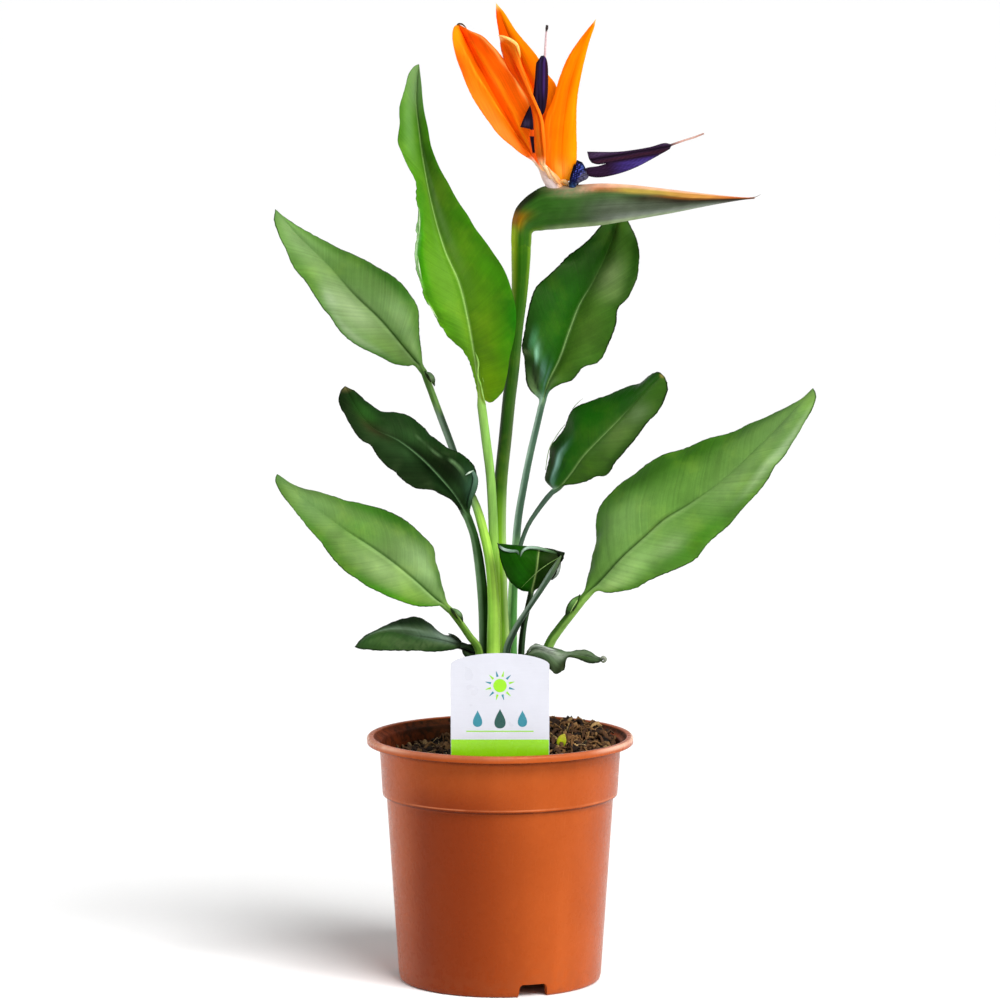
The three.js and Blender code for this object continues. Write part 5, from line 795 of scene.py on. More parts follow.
LOOKS = {
    # the right half is darker than the left partly as painted shade; the pale stripe on the left margin and the grey
    # streaks beside the rib and at the tip are painted highlights
    "leaf_tall_upright": dict(
        mat=LIGHT_GREEN, slot="leaf_light", seed=11, bulge=(2.0, 1.8), ripple=1.9, wave=19.0, undulate=1.3, pleat=0.20, groove=0.10, groove_mm=0.6, full=18.0, thick=0.5, open=(-0.03, 0.02), ragged=0.6, calm_right=0.12, calm_above=0.62, ripple_right=0.3,
        folds=[(-0.93, -0.93, 0.07, -1.6, 0.25, 0.62), (-0.80, -0.82, 0.06, 1.0, 0.25, 0.62)],
        paint=dict(left=(86, 134, 24), right=(74, 124, 12), left_far=(86, 142, 18), right_far=(58, 118, 6), rib=((166, 206, 116), 0.62, 1.0), rib_mix=0.7,
                   tip=((104, 140, 82), 0.82), base=((118, 146, 12), 0.04), under=(116, 150, 72),
                   patches=[(0.68, 0.60, 0.20, 0.5, (34, 78, 8), 0.8), (0.44, 0.80, 0.14, 0.3, (48, 108, 4), 0.6), (0.26, 0.97, 0.09, 0.22, (14, 104, 2), 0.85), (0.07, 0.5, 0.08, 0.7, (92, 130, 0), 0.8), (0.20, 0.35, 0.10, 0.35, (84, 124, 8), 0.6), (0.62, 0.16, 0.20, 0.12, (112, 146, 84), 0.5),
                            (0.30, -0.45, 0.12, 0.25, (106, 158, 50), 0.5), (0.45, -0.88, 0.16, 0.12, (44, 144, 0), 0.8), (0.80, -0.55, 0.10, 0.30, (92, 140, 70), 0.7), (0.55, -0.25, 0.10, 0.12, (112, 154, 72), 0.35), (0.40, -0.2, 0.08, 0.10, (104, 152, 56), 0.3), (0.80, -0.92, 0.10, 0.14, (48, 100, 22), 0.6), (0.86, 0.1, 0.12, 0.5, (56, 96, 34), 0.6),
                            (0.72, -0.2, 0.10, 0.2, (60, 116, 20), 0.5), (0.5, -0.4, 0.12, 0.3, (74, 138, 20), 0.4), (0.93, -0.1, 0.06, 0.5, (120, 148, 104), 0.6), (0.80, 0.05, 0.05, 0.25, (44, 92, 16), 0.7), (0.22, -0.7, 0.08, 0.3, (60, 124, 10), 0.6), (0.60, -0.72, 0.08, 0.3, (44, 110, 10), 0.7)],
                   stripes=[(-0.97, -0.97, 0.035, (206, 226, 190), 0.7, 0.36, 0.56), (-0.08, -0.06, 0.03, (48, 104, 8), 0.5, 0.1, 0.9)],
                   stalk=(130, 178, 84), stalk_dark=(104, 140, 70), stalk_turn=3.1, stalk_low=(158, 208, 60), stalk_low_dark=(140, 184, 80), low_range=(0.45, 0.72)),
    ),
    # the whitish patches are painted highlights, and the pale band beside the dark rib (rib_shadow) is painted light
    "leaf_upper_left": dict(
        mat=SAGE, slot="leaf_sage", seed=23, bulge=(2.4, 2.8), ripple=1.2, wave=28.0, undulate=1.3, pleat=0.16, groove=0.45, groove_mm=0.8, full=18.0,
        paint=dict(left=(120, 156, 88), right=(106, 148, 74), left_far=(98, 144, 60), right_far=(90, 134, 56), rib=((34, 74, 14), 0.8, 0.60), rib_mix=0.9, rib_shadow=((152, 186, 118), -1.8, 1.2, 0.55, 0.6),
                   under=(112, 144, 88), base=((92, 126, 56), 0.05), tip=((84, 122, 64), 0.90),
                   patches=[(0.42, -0.42, 0.15, 0.38, (166, 192, 138), 0.85), (0.20, -0.5, 0.10, 0.35, (132, 172, 84), 0.6), (0.28, -0.95, 0.26, 0.14, (44, 104, 6), 0.9), (0.26, 0.45, 0.12, 0.35, (140, 174, 112), 0.7),
                            (0.42, 0.92, 0.26, 0.18, (46, 104, 20), 0.85), (0.60, 0.20, 0.08, 0.3, (88, 130, 56), 0.5), (0.82, -0.3, 0.12, 0.7, (122, 154, 98), 0.6), (0.36, -0.86, 0.16, 0.10, (186, 206, 164), 0.5), (0.52, -0.70, 0.05, 0.16, (190, 208, 172), 0.5), (0.12, 0.5, 0.06, 0.3, (150, 184, 118), 0.5), (0.70, 0.8, 0.12, 0.25, (64, 110, 34), 0.6), (0.62, -0.9, 0.14, 0.15, (66, 116, 34), 0.6)],
                   stalk=(112, 152, 80), stalk_dark=(60, 96, 36), stalk_turn=2.9, stalk_mid=(50, 70, 54), stalk_mid_dark=(118, 140, 120), mid_range=(0.885, 0.925), stalk_low=(156, 202, 78), stalk_low_dark=(130, 182, 62), low_range=(0.62, 0.72)),
    ),
    "leaf_mid_left": dict(
        mat=DEEP, slot="leaf_deep", seed=37, bulge=(1.6, 2.4), ripple=1.2, wave=24.0, pleat=0.14, groove=0.25, groove_mm=0.7, full=15.0,
        folds=[(0.55, 0.35, 0.10, -0.9, 0.0, 0.55)],
        paint=dict(left=(14, 34, 10), right=(12, 32, 8), left_far=(14, 32, 10), right_far=(16, 40, 12), rib=((92, 128, 84), 0.5, 0.66), rib_mix=0.7,
                   under=(44, 72, 40), base=((20, 44, 16), 0.06), tip=((96, 88, 54), 0.95),
                   patches=[(0.30, 0.35, 0.12, 0.35, (2, 9, 2), 0.95), (0.46, 0.05, 0.07, 0.14, (2, 10, 2), 0.85), (0.50, -0.30, 0.07, 0.18, (40, 66, 34), 0.6), (0.66, 0.10, 0.06, 0.2, (40, 66, 34), 0.6), (0.24, -0.55, 0.06, 0.2, (26, 52, 22), 0.6), (0.22, -0.3, 0.12, 0.3, (5, 20, 5), 0.8), (0.36, -0.1, 0.05, 0.16, (2, 10, 2), 0.8), (0.56, 0.35, 0.10, 0.30, (34, 62, 28), 0.7), (0.62, -0.45, 0.12, 0.30, (28, 54, 24), 0.7), (0.84, 0.2, 0.10, 0.5, (32, 72, 22), 0.8), (0.16, 0.15, 0.05, 0.12, (34, 62, 30), 0.6),
                            (0.72, -0.2, 0.10, 0.3, (44, 38, 22), 0.6), (0.44, -0.5, 0.08, 0.3, (12, 30, 10), 0.6), (0.14, 0.75, 0.08, 0.3, (50, 82, 62), 0.6), (0.70, 0.7, 0.1, 0.3, (14, 34, 12), 0.6)],
                   stripes=[(0.70, 0.30, 0.022, (96, 128, 84), 0.7, 0.22, 0.55)],
                   stalk=(34, 64, 26), stalk_dark=(96, 128, 90), stalk_turn=3.2, stalk_low=(84, 122, 56), stalk_low_dark=(118, 152, 104)),
    ),
    # the pale patches are painted highlights, and the pale band beside the dark rib (rib_shadow) is painted light
    "leaf_lower_left": dict(
        mat=SAGE, slot="leaf_sage", seed=41, bulge=(2.4, 2.8), ripple=1.2, wave=28.0, undulate=1.3, pleat=0.16, groove=0.45, groove_mm=0.8, full=18.0,
        paint=dict(left=(95, 127, 64), right=(84, 116, 56), left_far=(74, 112, 40), right_far=(76, 107, 48), rib=((32, 72, 12), 0.75, 0.66), rib_mix=0.9, rib_shadow=((148, 182, 112), -1.8, 1.2, 0.5, 0.6),
                   under=(112, 144, 88), base=((88, 124, 50), 0.05), tip=((78, 116, 58), 0.90),
                   patches=[(0.36, -0.42, 0.14, 0.38, (138, 166, 106), 0.6), (0.18, -0.55, 0.10, 0.3, (100, 136, 44), 0.5), (0.26, -0.95, 0.26, 0.14, (48, 112, 4), 0.9), (0.24, 0.45, 0.12, 0.35, (134, 165, 108), 0.75),
                            (0.50, 0.90, 0.22, 0.22, (40, 100, 10), 0.9), (0.55, 0.2, 0.10, 0.4, (76, 124, 44), 0.6), (0.82, -0.2, 0.12, 0.8, (96, 132, 76), 0.6), (0.14, 0.8, 0.08, 0.2, (64, 104, 36), 0.6), (0.66, -0.9, 0.12, 0.15, (58, 110, 26), 0.7)],
                   stalk=(128, 164, 74), stalk_dark=(74, 112, 34), stalk_turn=2.7, stalk_low=(112, 150, 56)),
    ),
    "leaf_low_left_small": dict(
        mat=GREY, slot="leaf_grey", seed=53, bulge=(1.2, 1.8), ripple=0.7, wave=22.0, pleat=0.14, groove=0.15, full=10.0,
        paint=dict(left=(36, 62, 28), right=(36, 56, 34), left_far=(30, 56, 22), right_far=(30, 50, 30), rib=((14, 30, 12), 0.5, 0.5), rib_mix=0.6,
                   under=(60, 82, 56), base=((12, 20, 10), 0.10), tip=((26, 42, 22), 0.92),
                   patches=[(0.16, 0.35, 0.12, 0.5, (116, 134, 122), 0.9), (0.30, 0.05, 0.14, 0.25, (84, 106, 86), 0.7), (0.62, 0.30, 0.14, 0.2, (78, 98, 78), 0.6), (0.45, 0.75, 0.14, 0.25, (20, 38, 20), 0.7), (0.78, -0.2, 0.16, 0.5, (30, 62, 22), 0.7)],
                   stripes=[(0.20, 0.30, 0.06, (96, 116, 98), 0.6, 0.3, 0.9)],
                   stalk=(20, 36, 18), stalk_dark=(8, 14, 8)),
    ),
    # the teal-white patches near the foot of the left half are painted highlights and painted reflection; the pale
    # grey-green patches on the right half are painted sheen
    "leaf_upper_right": dict(
        mat=GLOSS, slot="leaf_gloss", seed=67, bulge=(2.6, 2.6), ripple=1.2, wave=26.0, undulate=1.1, pleat=0.15, groove=0.15, groove_mm=0.7, full=18.0,
        paint=dict(left=(24, 76, 8), right=(56, 94, 24), left_far=(18, 62, 6), right_far=(44, 84, 18), rib=((126, 158, 96), 0.6, 0.62), rib_mix=0.8,
                   under=(66, 100, 48), base=((96, 134, 110), 0.10), tip=((30, 64, 12), 0.94),
                   patches=[(0.24, -0.66, 0.040, 0.05, (140, 196, 164), 0.9), (0.17, -0.46, 0.045, 0.06, (112, 160, 146), 0.8), (0.13, -0.22, 0.06, 0.09, (84, 120, 108), 0.7), (0.30, -0.80, 0.04, 0.05, (84, 150, 110), 0.8), (0.16, -0.70, 0.05, 0.10, (6, 30, 12), 0.85), (0.22, -0.36, 0.05, 0.06, (10, 52, 20), 0.6), (0.26, -0.94, 0.12, 0.12, (4, 18, 4), 0.95), (0.14, -0.55, 0.05, 0.12, (6, 28, 8), 0.8),
                            (0.09, -0.82, 0.06, 0.25, (88, 112, 70), 0.85), (0.46, -0.5, 0.16, 0.4, (16, 76, 2), 0.7), (0.66, 0.35, 0.08, 0.30, (128, 150, 96), 0.75), (0.58, 0.62, 0.05, 0.25, (110, 138, 76), 0.6),
                            (0.80, 0.25, 0.12, 0.5, (62, 100, 34), 0.6), (0.40, 0.45, 0.12, 0.35, (70, 102, 36), 0.6), (0.72, 0.9, 0.14, 0.12, (24, 60, 6), 0.8), (0.2, 0.5, 0.1, 0.4, (60, 94, 26), 0.5), (0.74, -0.3, 0.14, 0.4, (16, 58, 4), 0.7), (0.86, -0.1, 0.06, 0.3, (18, 36, 8), 0.7), (0.10, 0.35, 0.04, 0.3, (110, 140, 84), 0.5)],
                   stripes=[(-0.37, -2.46, 0.07, (4, 16, 5), 0.95, 0.0, 0.27)],
                   stalk=(60, 88, 70), stalk_dark=(140, 168, 150), stalk_turn=3.0, stalk_low=(146, 196, 118), stalk_low_dark=(160, 206, 136), low_range=(0.55, 0.68)),
    ),
    # painted highlight: the teal-white patch near the foot of the left half
    "leaf_mid_right": dict(
        mat=GLOSS, slot="leaf_gloss", seed=71, bulge=(2.4, 2.2), ripple=0.8, wave=24.0, pleat=0.14, groove=0.15, groove_mm=0.6, full=16.0,
        paint=dict(left=(22, 72, 8), right=(52, 90, 24), left_far=(18, 64, 6), right_far=(44, 80, 18), rib=((120, 154, 88), 0.5, 0.72), rib_mix=0.75,
                   under=(64, 96, 46), base=((60, 96, 60), 0.06), tip=((156, 138, 70), 0.968),
                   patches=[(0.17, -0.58, 0.10, 0.075, (140, 184, 172), 0.95), (0.08, -0.45, 0.05, 0.10, (84, 130, 108), 0.7), (0.18, -0.36, 0.09, 0.06, (6, 44, 14), 0.7), (0.20, -0.80, 0.13, 0.16, (3, 16, 3), 0.95), (0.08, -0.8, 0.05, 0.2, (8, 26, 8), 0.8),
                            (0.5, -0.45, 0.2, 0.4, (16, 78, 4), 0.7), (0.55, 0.45, 0.14, 0.4, (86, 112, 54), 0.7), (0.72, 0.5, 0.07, 0.3, (104, 128, 84), 0.6), (0.30, 0.5, 0.10, 0.4, (50, 84, 20), 0.6), (0.86, 0.0, 0.08, 0.6, (40, 82, 14), 0.6), (0.42, 0.92, 0.2, 0.12, (18, 48, 6), 0.7)],
                   stalk=(66, 88, 74), stalk_dark=(140, 164, 150), stalk_turn=2.8, stalk_low=(88, 150, 76), stalk_low_dark=(134, 182, 116), low_range=(0.62, 0.74)),
    ),
    # the whitish patches toward the tip and the pale patches on the halves are painted highlights, and the pale band
    # beside the dark rib (rib_shadow) is painted light
    "leaf_lower_right": dict(
        mat=SAGE, slot="leaf_sage", seed=83, bulge=(2.8, 2.8), ripple=1.4, wave=30.0, undulate=1.5, pleat=0.16, groove=0.45, groove_mm=0.8, full=20.0,
        paint=dict(left=(90, 134, 54), right=(102, 146, 66), left_far=(62, 112, 30), right_far=(88, 132, 50), rib=((28, 64, 8), 0.95, 0.56), rib_mix=0.9, rib_shadow=((146, 182, 110), 2.0, 1.3, 0.5, 0.6),
                   under=(112, 144, 86), base=((84, 122, 40), 0.04), tip=((84, 116, 60), 0.93),
                   patches=[(0.20, 0.45, 0.12, 0.4, (140, 178, 104), 0.8), (0.26, -0.4, 0.12, 0.4, (112, 152, 80), 0.7), (0.62, -0.80, 0.16, 0.25, (44, 94, 12), 0.8), (0.40, -0.85, 0.12, 0.2, (48, 92, 22), 0.7), (0.42, 0.82, 0.20, 0.22, (52, 112, 16), 0.85),
                            (0.48, 0.35, 0.07, 0.30, (70, 122, 34), 0.5), (0.70, 0.75, 0.10, 0.10, (176, 200, 150), 0.5), (0.82, 0.85, 0.10, 0.12, (190, 210, 172), 0.5), (0.34, 0.55, 0.05, 0.15, (160, 192, 126), 0.5), (0.12, 0.6, 0.05, 0.25, (160, 194, 120), 0.5), (0.30, -0.5, 0.06, 0.2, (118, 158, 84), 0.5), (0.62, 0.3, 0.12, 0.35, (124, 160, 92), 0.7), (0.84, 0.2, 0.12, 0.8, (120, 156, 92), 0.6), (0.10, -0.9, 0.10, 0.15, (48, 92, 18), 0.8), (0.75, -0.3, 0.12, 0.35, (104, 146, 70), 0.5), (0.16, 0.95, 0.12, 0.1, (56, 104, 20), 0.7)],
                   stalk=(120, 162, 72), stalk_dark=(70, 112, 40), stalk_turn=2.2),
    ),
    "leaf_front_folded": dict(
        mat=DEEP, slot="leaf_deep", seed=97, bulge=(0.8, 0.8), ripple=0.5, wave=14.0, undulate=0.4, pleat=0.10, groove=0.2, full=9.0, rings=110,
        paint=dict(left=(18, 60, 2), right=(12, 36, 2), left_far=(12, 50, 2), right_far=(8, 22, 2), rib=((124, 148, 84), 0.45, 0.9), rib_mix=0.8,
                   under=(52, 78, 44), base=((30, 58, 20), 0.08), tip=((40, 60, 34), 0.85),
                   patches=[(0.25, -0.5, 0.2, 0.3, (16, 78, 4), 0.7), (0.5, 0.6, 0.2, 0.4, (12, 26, 4), 0.6)],
                   stalk=(52, 76, 48), stalk_dark=(14, 26, 12), stalk_turn=2.8),
    ),
    # painted highlight: the pale grey patches down the middle
    "leaf_low_right_twisted": dict(
        mat=GREY, slot="leaf_grey", seed=103, bulge=(1.2, 1.4), ripple=0.8, wave=16.0, pleat=0.12, groove=0.25, full=9.0,
        paint=dict(left=(86, 104, 78), right=(62, 82, 56), left_far=(66, 88, 60), right_far=(18, 28, 16), rib=((96, 112, 88), 0.6, 0.9), rib_mix=0.5,
                   under=(60, 76, 52), base=((26, 42, 22), 0.12), tip=((120, 128, 104), 0.95),
                   patches=[(0.28, -0.15, 0.14, 0.25, (150, 158, 146), 0.9), (0.46, 0.1, 0.12, 0.25, (130, 140, 124), 0.8), (0.50, 0.75, 0.12, 0.3, (8, 14, 8), 0.8), (0.76, 0.2, 0.12, 0.5, (34, 58, 14), 0.8), (0.7, -0.7, 0.1, 0.3, (96, 110, 84), 0.6)],
                   stalk=(40, 60, 34), stalk_dark=(12, 22, 10)),
    ),
}
for name, strips in EXTRAS.items():
    if name in LOOKS:
        LOOKS[name]["extras"] = [ribbon(rows, colours, thick=thick, curl=curl, rim=rim, seed=i + 1.0) for i, (rows, colours, thick, curl, rim) in enumerate(strips)]
for name, data in LEAVES.items():
    look = LOOKS[name]
    blade_piece(name, data, look, [look["mat"]])

# ---------------------------------------------------------------- flower stem and rolled young leaf
STEM_SKIN = plant_material("stem_skin", rough=0.38, spec=0.14, streak=0.10, fine=0.06, mottle=0.08, through=0.06, streak_scale=(3.0, 0.8, 1.0), fine_scale=(10.0, 0.8, 1.0))


def stem_paint(P, rings, sides, path, rows):
    """Tint down a stem: rows of (share of length, light, mid, dark); the light tone goes on the right as painted light
    and the dark tone on the left as painted shade.
    """
    u = np.linspace(0, 1, rings)
    ks = [r[0] for r in rows]
    cols = [np.stack([np.interp(u, ks, [lin(r[i])[c] for r in rows]) for c in range(3)], 1) for i in (1, 2, 3)]
    G = P[: rings * sides].reshape(rings, sides, 3)
    X = (G[..., 0] - path[:, None, 0]) / np.maximum(path[:, None, 3], 0.1)
    light, mid, dark = (c[:, None] for c in cols)
    t = mix(np.broadcast_to(mid, G.shape), np.broadcast_to(light, G.shape), smooth(0.15 + 0.38 * smooth(0.80, 0.97, u)[:, None], 0.98, X))
    t = mix(t, np.broadcast_to(dark, G.shape), smooth(0.2, 0.95, -X))
    t = t * (1 + 0.07 * wob(u * 5, 7)[:, None] + 0.05 * wob2(np.linspace(0, 1, sides)[None] * 4, u[:, None] * 3, 9))[..., None]
    lc = np.stack(np.broadcast_arrays((np.arange(sides) / sides * 6.0)[None], (u * length_of(path[::8]) / 40.0)[:, None], 5.0), -1)
    return {
        "tint": capped(np.clip(t, 0, 1), [t[0].mean(0), t[-1].mean(0)]),
        "lc": capped(lc, [lc[0].mean(0), lc[-1].mean(0)]),
        "ed": np.full(rings * sides + 2, 10.0),
    }


V, Q, TR, path = round_stem(SCAPE[:-1] + [SCAPE[-1][:3] + [6.1], [SCAPE[-1][0] + 0.1, SCAPE[-1][1], SCAPE[-1][2] + 4.0, 6.0], [SCAPE[-1][0] + 0.2, SCAPE[-1][1], SCAPE[-1][2] + 8.0, 5.0]], 220, 64, ribs=0.012, ribs_n=16)
A_ = stem_paint(V, 220, 64, path, [
    (0.0, (162, 208, 104), (138, 188, 60), (134, 180, 70)),
    (0.22, (194, 226, 138), (134, 186, 60), (164, 208, 90)),
    (0.42, (178, 214, 132), (126, 182, 36), (150, 198, 70)),
    (0.55, (84, 118, 52), (48, 90, 14), (26, 52, 10)),
    (0.63, (70, 92, 46), (28, 64, 12), (10, 32, 6)),
    (0.76, (58, 90, 42), (34, 74, 12), (16, 42, 8)),
    (0.88, (66, 104, 32), (36, 84, 8), (78, 112, 32)),
    (0.93, (96, 134, 30), (38, 86, 6), (134, 160, 20)),
    (1.0, (100, 136, 24), (38, 84, 4), (150, 174, 8)),
])
make("flower_scape", V, Q, TR, A_, [STEM_SKIN], ("flower_scape",))

SPEAR_SKIN = plant_material("spear_skin", rough=0.36, spec=0.16, warm_mix=0.01, streak=0.16, fine=0.10, mottle=0.08, through=0.04, streak_scale=(2.0, 0.7, 1.0), fine_scale=(8.0, 0.7, 1.0))
n_r, n_k = 150, 56
path = at(YOUNG_LEAF, np.arange(n_r) / (n_r - 1))
A3, U3, T3 = carried(path[:, :3], (1, 0, 0))
ang = 2 * math.pi * np.arange(n_k) / n_k
u = np.linspace(0, 1, n_r)
seam = (ang[None] - 1.4 - 2.4 * u[:, None]) % (2 * math.pi) / (2 * math.pi)
rad = path[:, 3:4] * (1.05 - 0.20 * seam * smooth(0.3, 0.6, u)[:, None])
G = path[:, None, :3] + A3[:, None] * (rad * np.cos(-ang))[..., None] + U3[:, None] * (rad * np.sin(-ang))[..., None]
X = (G[..., 0] - path[:, None, 0]) / np.maximum(path[:, None, 3], 0.1)
# pale on the left side and dark on the right: painted highlight and painted shade across the rolled leaf
t = mix(np.broadcast_to(lin((52, 74, 56)), G.shape), np.broadcast_to(lin((136, 156, 142)), G.shape), smooth(0.15, 0.9, -X))
t = mix(t, np.broadcast_to(lin((14, 26, 12)), G.shape), smooth(0.3, 0.85, X))
t = mix(t, np.broadcast_to(lin((34, 52, 30)), G.shape), np.exp(-((seam - 0.0) / 0.03) ** 2) * 0.8)
t = mix(t, np.broadcast_to(lin((80, 100, 60)), G.shape), (smooth(0.9, 1.0, u))[:, None] * np.ones(n_k)[None] * 0.7)
lc = np.stack(np.broadcast_arrays((np.arange(n_k) / n_k * 5.0)[None] + u[:, None] * 2, (u * 3.4)[:, None], 8.0), -1)
quads, tris = tube_faces(n_r, n_k)
make("young_leaf_spear", capped(G, [path[0, :3], path[-1, :3] + T3[-1] * 0.5]), quads, tris,
     {"tint": np.clip(capped(t, [t[0].mean(0), t[-1].mean(0)]), 0, 1), "lc": capped(lc, [lc[0].mean(0), lc[-1].mean(0)]), "ed": np.full(n_r * n_k + 2, 10.0)},
     [SPEAR_SKIN], ("young_leaf_spear",))

# ---------------------------------------------------------------- flower
PETAL_ORANGE = plant_material("sepal_skin", rough=0.45, spec=0.07, streak=0.13, fine=0.07, mottle=0.10, through=0.20, warm=(255, 160, 20), streak_scale=(0.30, 17.0, 1.0), fine_scale=(0.6, 52.0, 1.0), through_tint=(255, 190, 60), spec_tint=(1.0, 0.72, 0.2))
ORANGE = (255, 128, 2)
SEPAL_LOOKS = {
    # the paler stripes along the two fold crests are painted highlights
    "sepal_left_boat": dict(
        seed=131, bulge=(1.6, 1.0), ripple=0.3, wave=30.0, undulate=0.3, pleat=0.04, groove=0.10, groove_mm=1.4, full=10.0, thick=0.7, keel=0.2, slant=0.0, ragged=0.08, open=(-0.04, 0.05),
        folds=[(0.10, -0.74, 0.08, 0.7, 0.0, 0.95), (0.36, 0.34, 0.08, 0.6, 0.05, 0.95), (0.68, 0.68, 0.06, -0.3, 0.1, 0.95)],
        paint=dict(left=(250, 112, 4), right=(252, 112, 5), left_far=(250, 122, 14), right_far=(250, 108, 8), under=(252, 138, 40), tip=((226, 130, 24), 0.965), base=((244, 222, 196), 0.06),
                   patches=[(0.88, -0.10, 0.08, 0.25, (226, 66, 0), 0.7), (0.72, -0.28, 0.10, 0.10, (246, 96, 0), 0.4), (0.78, 0.3, 0.08, 0.2, (250, 120, 10), 0.5), (0.72, -0.93, 0.10, 0.14, (224, 74, 6), 0.8), (0.88, 0.55, 0.10, 0.3, (236, 72, 10), 0.75),
                            (0.90, -0.75, 0.08, 0.3, (246, 152, 8), 0.8), (0.58, 0.30, 0.10, 0.10, (255, 168, 48), 0.8), (0.25, -0.8, 0.25, 0.3, (255, 136, 56), 0.6), (0.12, 0.3, 0.12, 0.5, (252, 104, 10), 0.4)],
                   stripes=[(0.0, 0.0, 0.20, (250, 112, 6), 0.6, 0.0, 0.8), (0.10, -0.74, 0.045, (255, 162, 30), 0.8, 0.08, 0.90), (0.02, -0.86, 0.02, (236, 92, 0), 0.35, 0.15, 0.85), (0.36, 0.33, 0.09, (255, 150, 16), 0.9, 0.05, 0.86),
                            (0.20, 0.18, 0.03, (248, 96, 0), 0.4, 0.2, 0.9), (0.60, 0.58, 0.05, (248, 98, 4), 0.5, 0.10, 0.93), (0.93, 0.93, 0.04, (255, 190, 96), 0.9, 0.35, 0.95)],
                   stalk=(246, 226, 208), stalk_dark=(240, 210, 180)),
    ),
    "sepal_back": dict(
        seed=139, bulge=(1.4, 1.4), ripple=0.3, wave=30.0, undulate=0.3, pleat=0.04, groove=0.15, groove_mm=1.4, full=10.0, thick=0.7, keel=0.3, slant=0.0, ragged=0.08, open=(-0.04, 0.05),
        folds=[(-0.35, -0.3, 0.12, -0.5, 0.3, 1.0)],
        paint=dict(left=(250, 100, 0), right=(255, 138, 0), left_far=(236, 84, 0), right_far=(255, 146, 4), under=(252, 124, 14), tip=((255, 200, 110), 0.94), base=((255, 170, 60), 0.08),
                   patches=[(0.84, -0.35, 0.10, 0.35, (228, 78, 0), 0.8), (0.70, -0.35, 0.06, 0.4, (240, 60, 0), 0.7), (0.55, -0.5, 0.2, 0.4, (244, 84, 0), 0.5)],
                   stripes=[(0.10, 0.02, 0.05, (236, 84, 0), 0.6, 0.5, 1.0), (0.55, 0.5, 0.05, (250, 118, 0), 0.5, 0.1, 0.9), (0.92, 0.9, 0.06, (238, 128, 10), 0.6, 0.3, 0.95)],
                   stalk=(255, 190, 90), stalk_dark=(244, 170, 80)),
    ),
    "sepal_front_folded": dict(
        seed=149, bulge=(1.0, 1.0), ripple=0.3, wave=20.0, undulate=0.2, pleat=0.04, groove=0.35, groove_mm=0.9, full=6.0, thick=0.7, keel=0.3, slant=0.0, ragged=0.08, open=(-0.04, 0.05),
        folds=[(0.5, 0.5, 0.14, 0.6, 0.1, 1.0)],
        paint=dict(left=(236, 92, 4), right=(242, 102, 8), left_far=(230, 86, 4), right_far=(250, 122, 24), under=(240, 104, 14), tip=((255, 206, 120), 0.95), base=((240, 190, 130), 0.08),
                   patches=[(0.22, -0.4, 0.14, 0.35, (184, 104, 20), 0.7), (0.10, -0.3, 0.05, 0.6, (150, 84, 24), 0.6), (0.74, 0.0, 0.10, 0.4, (236, 56, 0), 0.85), (0.60, 0.1, 0.08, 0.3, (238, 70, 4), 0.6), (0.80, 0.6, 0.10, 0.3, (236, 84, 4), 0.6)],
                   stripes=[(0.05, 0.05, 0.08, (230, 60, 0), 0.8, 0.30, 0.95), (0.86, 0.90, 0.07, (255, 158, 40), 0.8, 0.15, 0.95), (-0.6, -0.6, 0.04, (250, 130, 30), 0.5, 0.45, 0.95)],
                   stalk=(246, 206, 160), stalk_dark=(220, 170, 120)),
    ),
    "sepal_right": dict(
        seed=151, bulge=(1.0, 1.0), ripple=0.3, wave=34.0, undulate=0.3, pleat=0.04, groove=0.06, groove_mm=1.4, full=10.0, thick=0.7, keel=0.2, slant=0.0, ragged=0.08, open=(-0.08, 0.02),
        folds=[(-0.4, -0.35, 0.16, 0.12, 0.1, 1.0)],
        paint=dict(left=(254, 116, 0), right=(253, 134, 0), left_far=(254, 116, 2), right_far=(248, 146, 2), under=(255, 124, 10), tip=((255, 206, 120), 0.955), base=((255, 168, 20), 0.06),
                   patches=[(0.40, -0.15, 0.22, 0.26, (253, 104, 0), 0.75), (0.12, 0.6, 0.12, 0.3, (242, 152, 14), 0.6), (0.06, 0.0, 0.06, 0.5, (246, 176, 70), 0.7), (0.18, -0.75, 0.14, 0.2, (255, 110, 20), 0.6), (0.72, -0.5, 0.12, 0.3, (255, 130, 0), 0.5), (0.62, 0.75, 0.2, 0.2, (246, 150, 6), 0.5)],
                   stripes=[(0.0, 0.05, 0.10, (254, 108, 0), 0.45, 0.05, 0.7), (-0.50, -0.45, 0.06, (250, 124, 0), 0.3, 0.1, 0.9), (-0.72, -0.7, 0.05, (255, 160, 20), 0.4, 0.1, 0.9)],
                   stalk=(255, 190, 90), stalk_dark=(250, 170, 70)),
    ),
}
for name, strips in EXTRAS.items():
    if name in SEPAL_LOOKS:
        SEPAL_LOOKS[name]["extras"] = [ribbon(rows, colours, thick=thick, curl=curl, rim=rim, seed=i + 1.0) for i, (rows, colours, thick, curl, rim) in enumerate(strips)]
for name, data in SEPALS.items():
    look = dict(SEPAL_LOOKS[name], rings=130, half=18, stalk_rings=16)
    blade_piece(name, data, look, [PETAL_ORANGE])


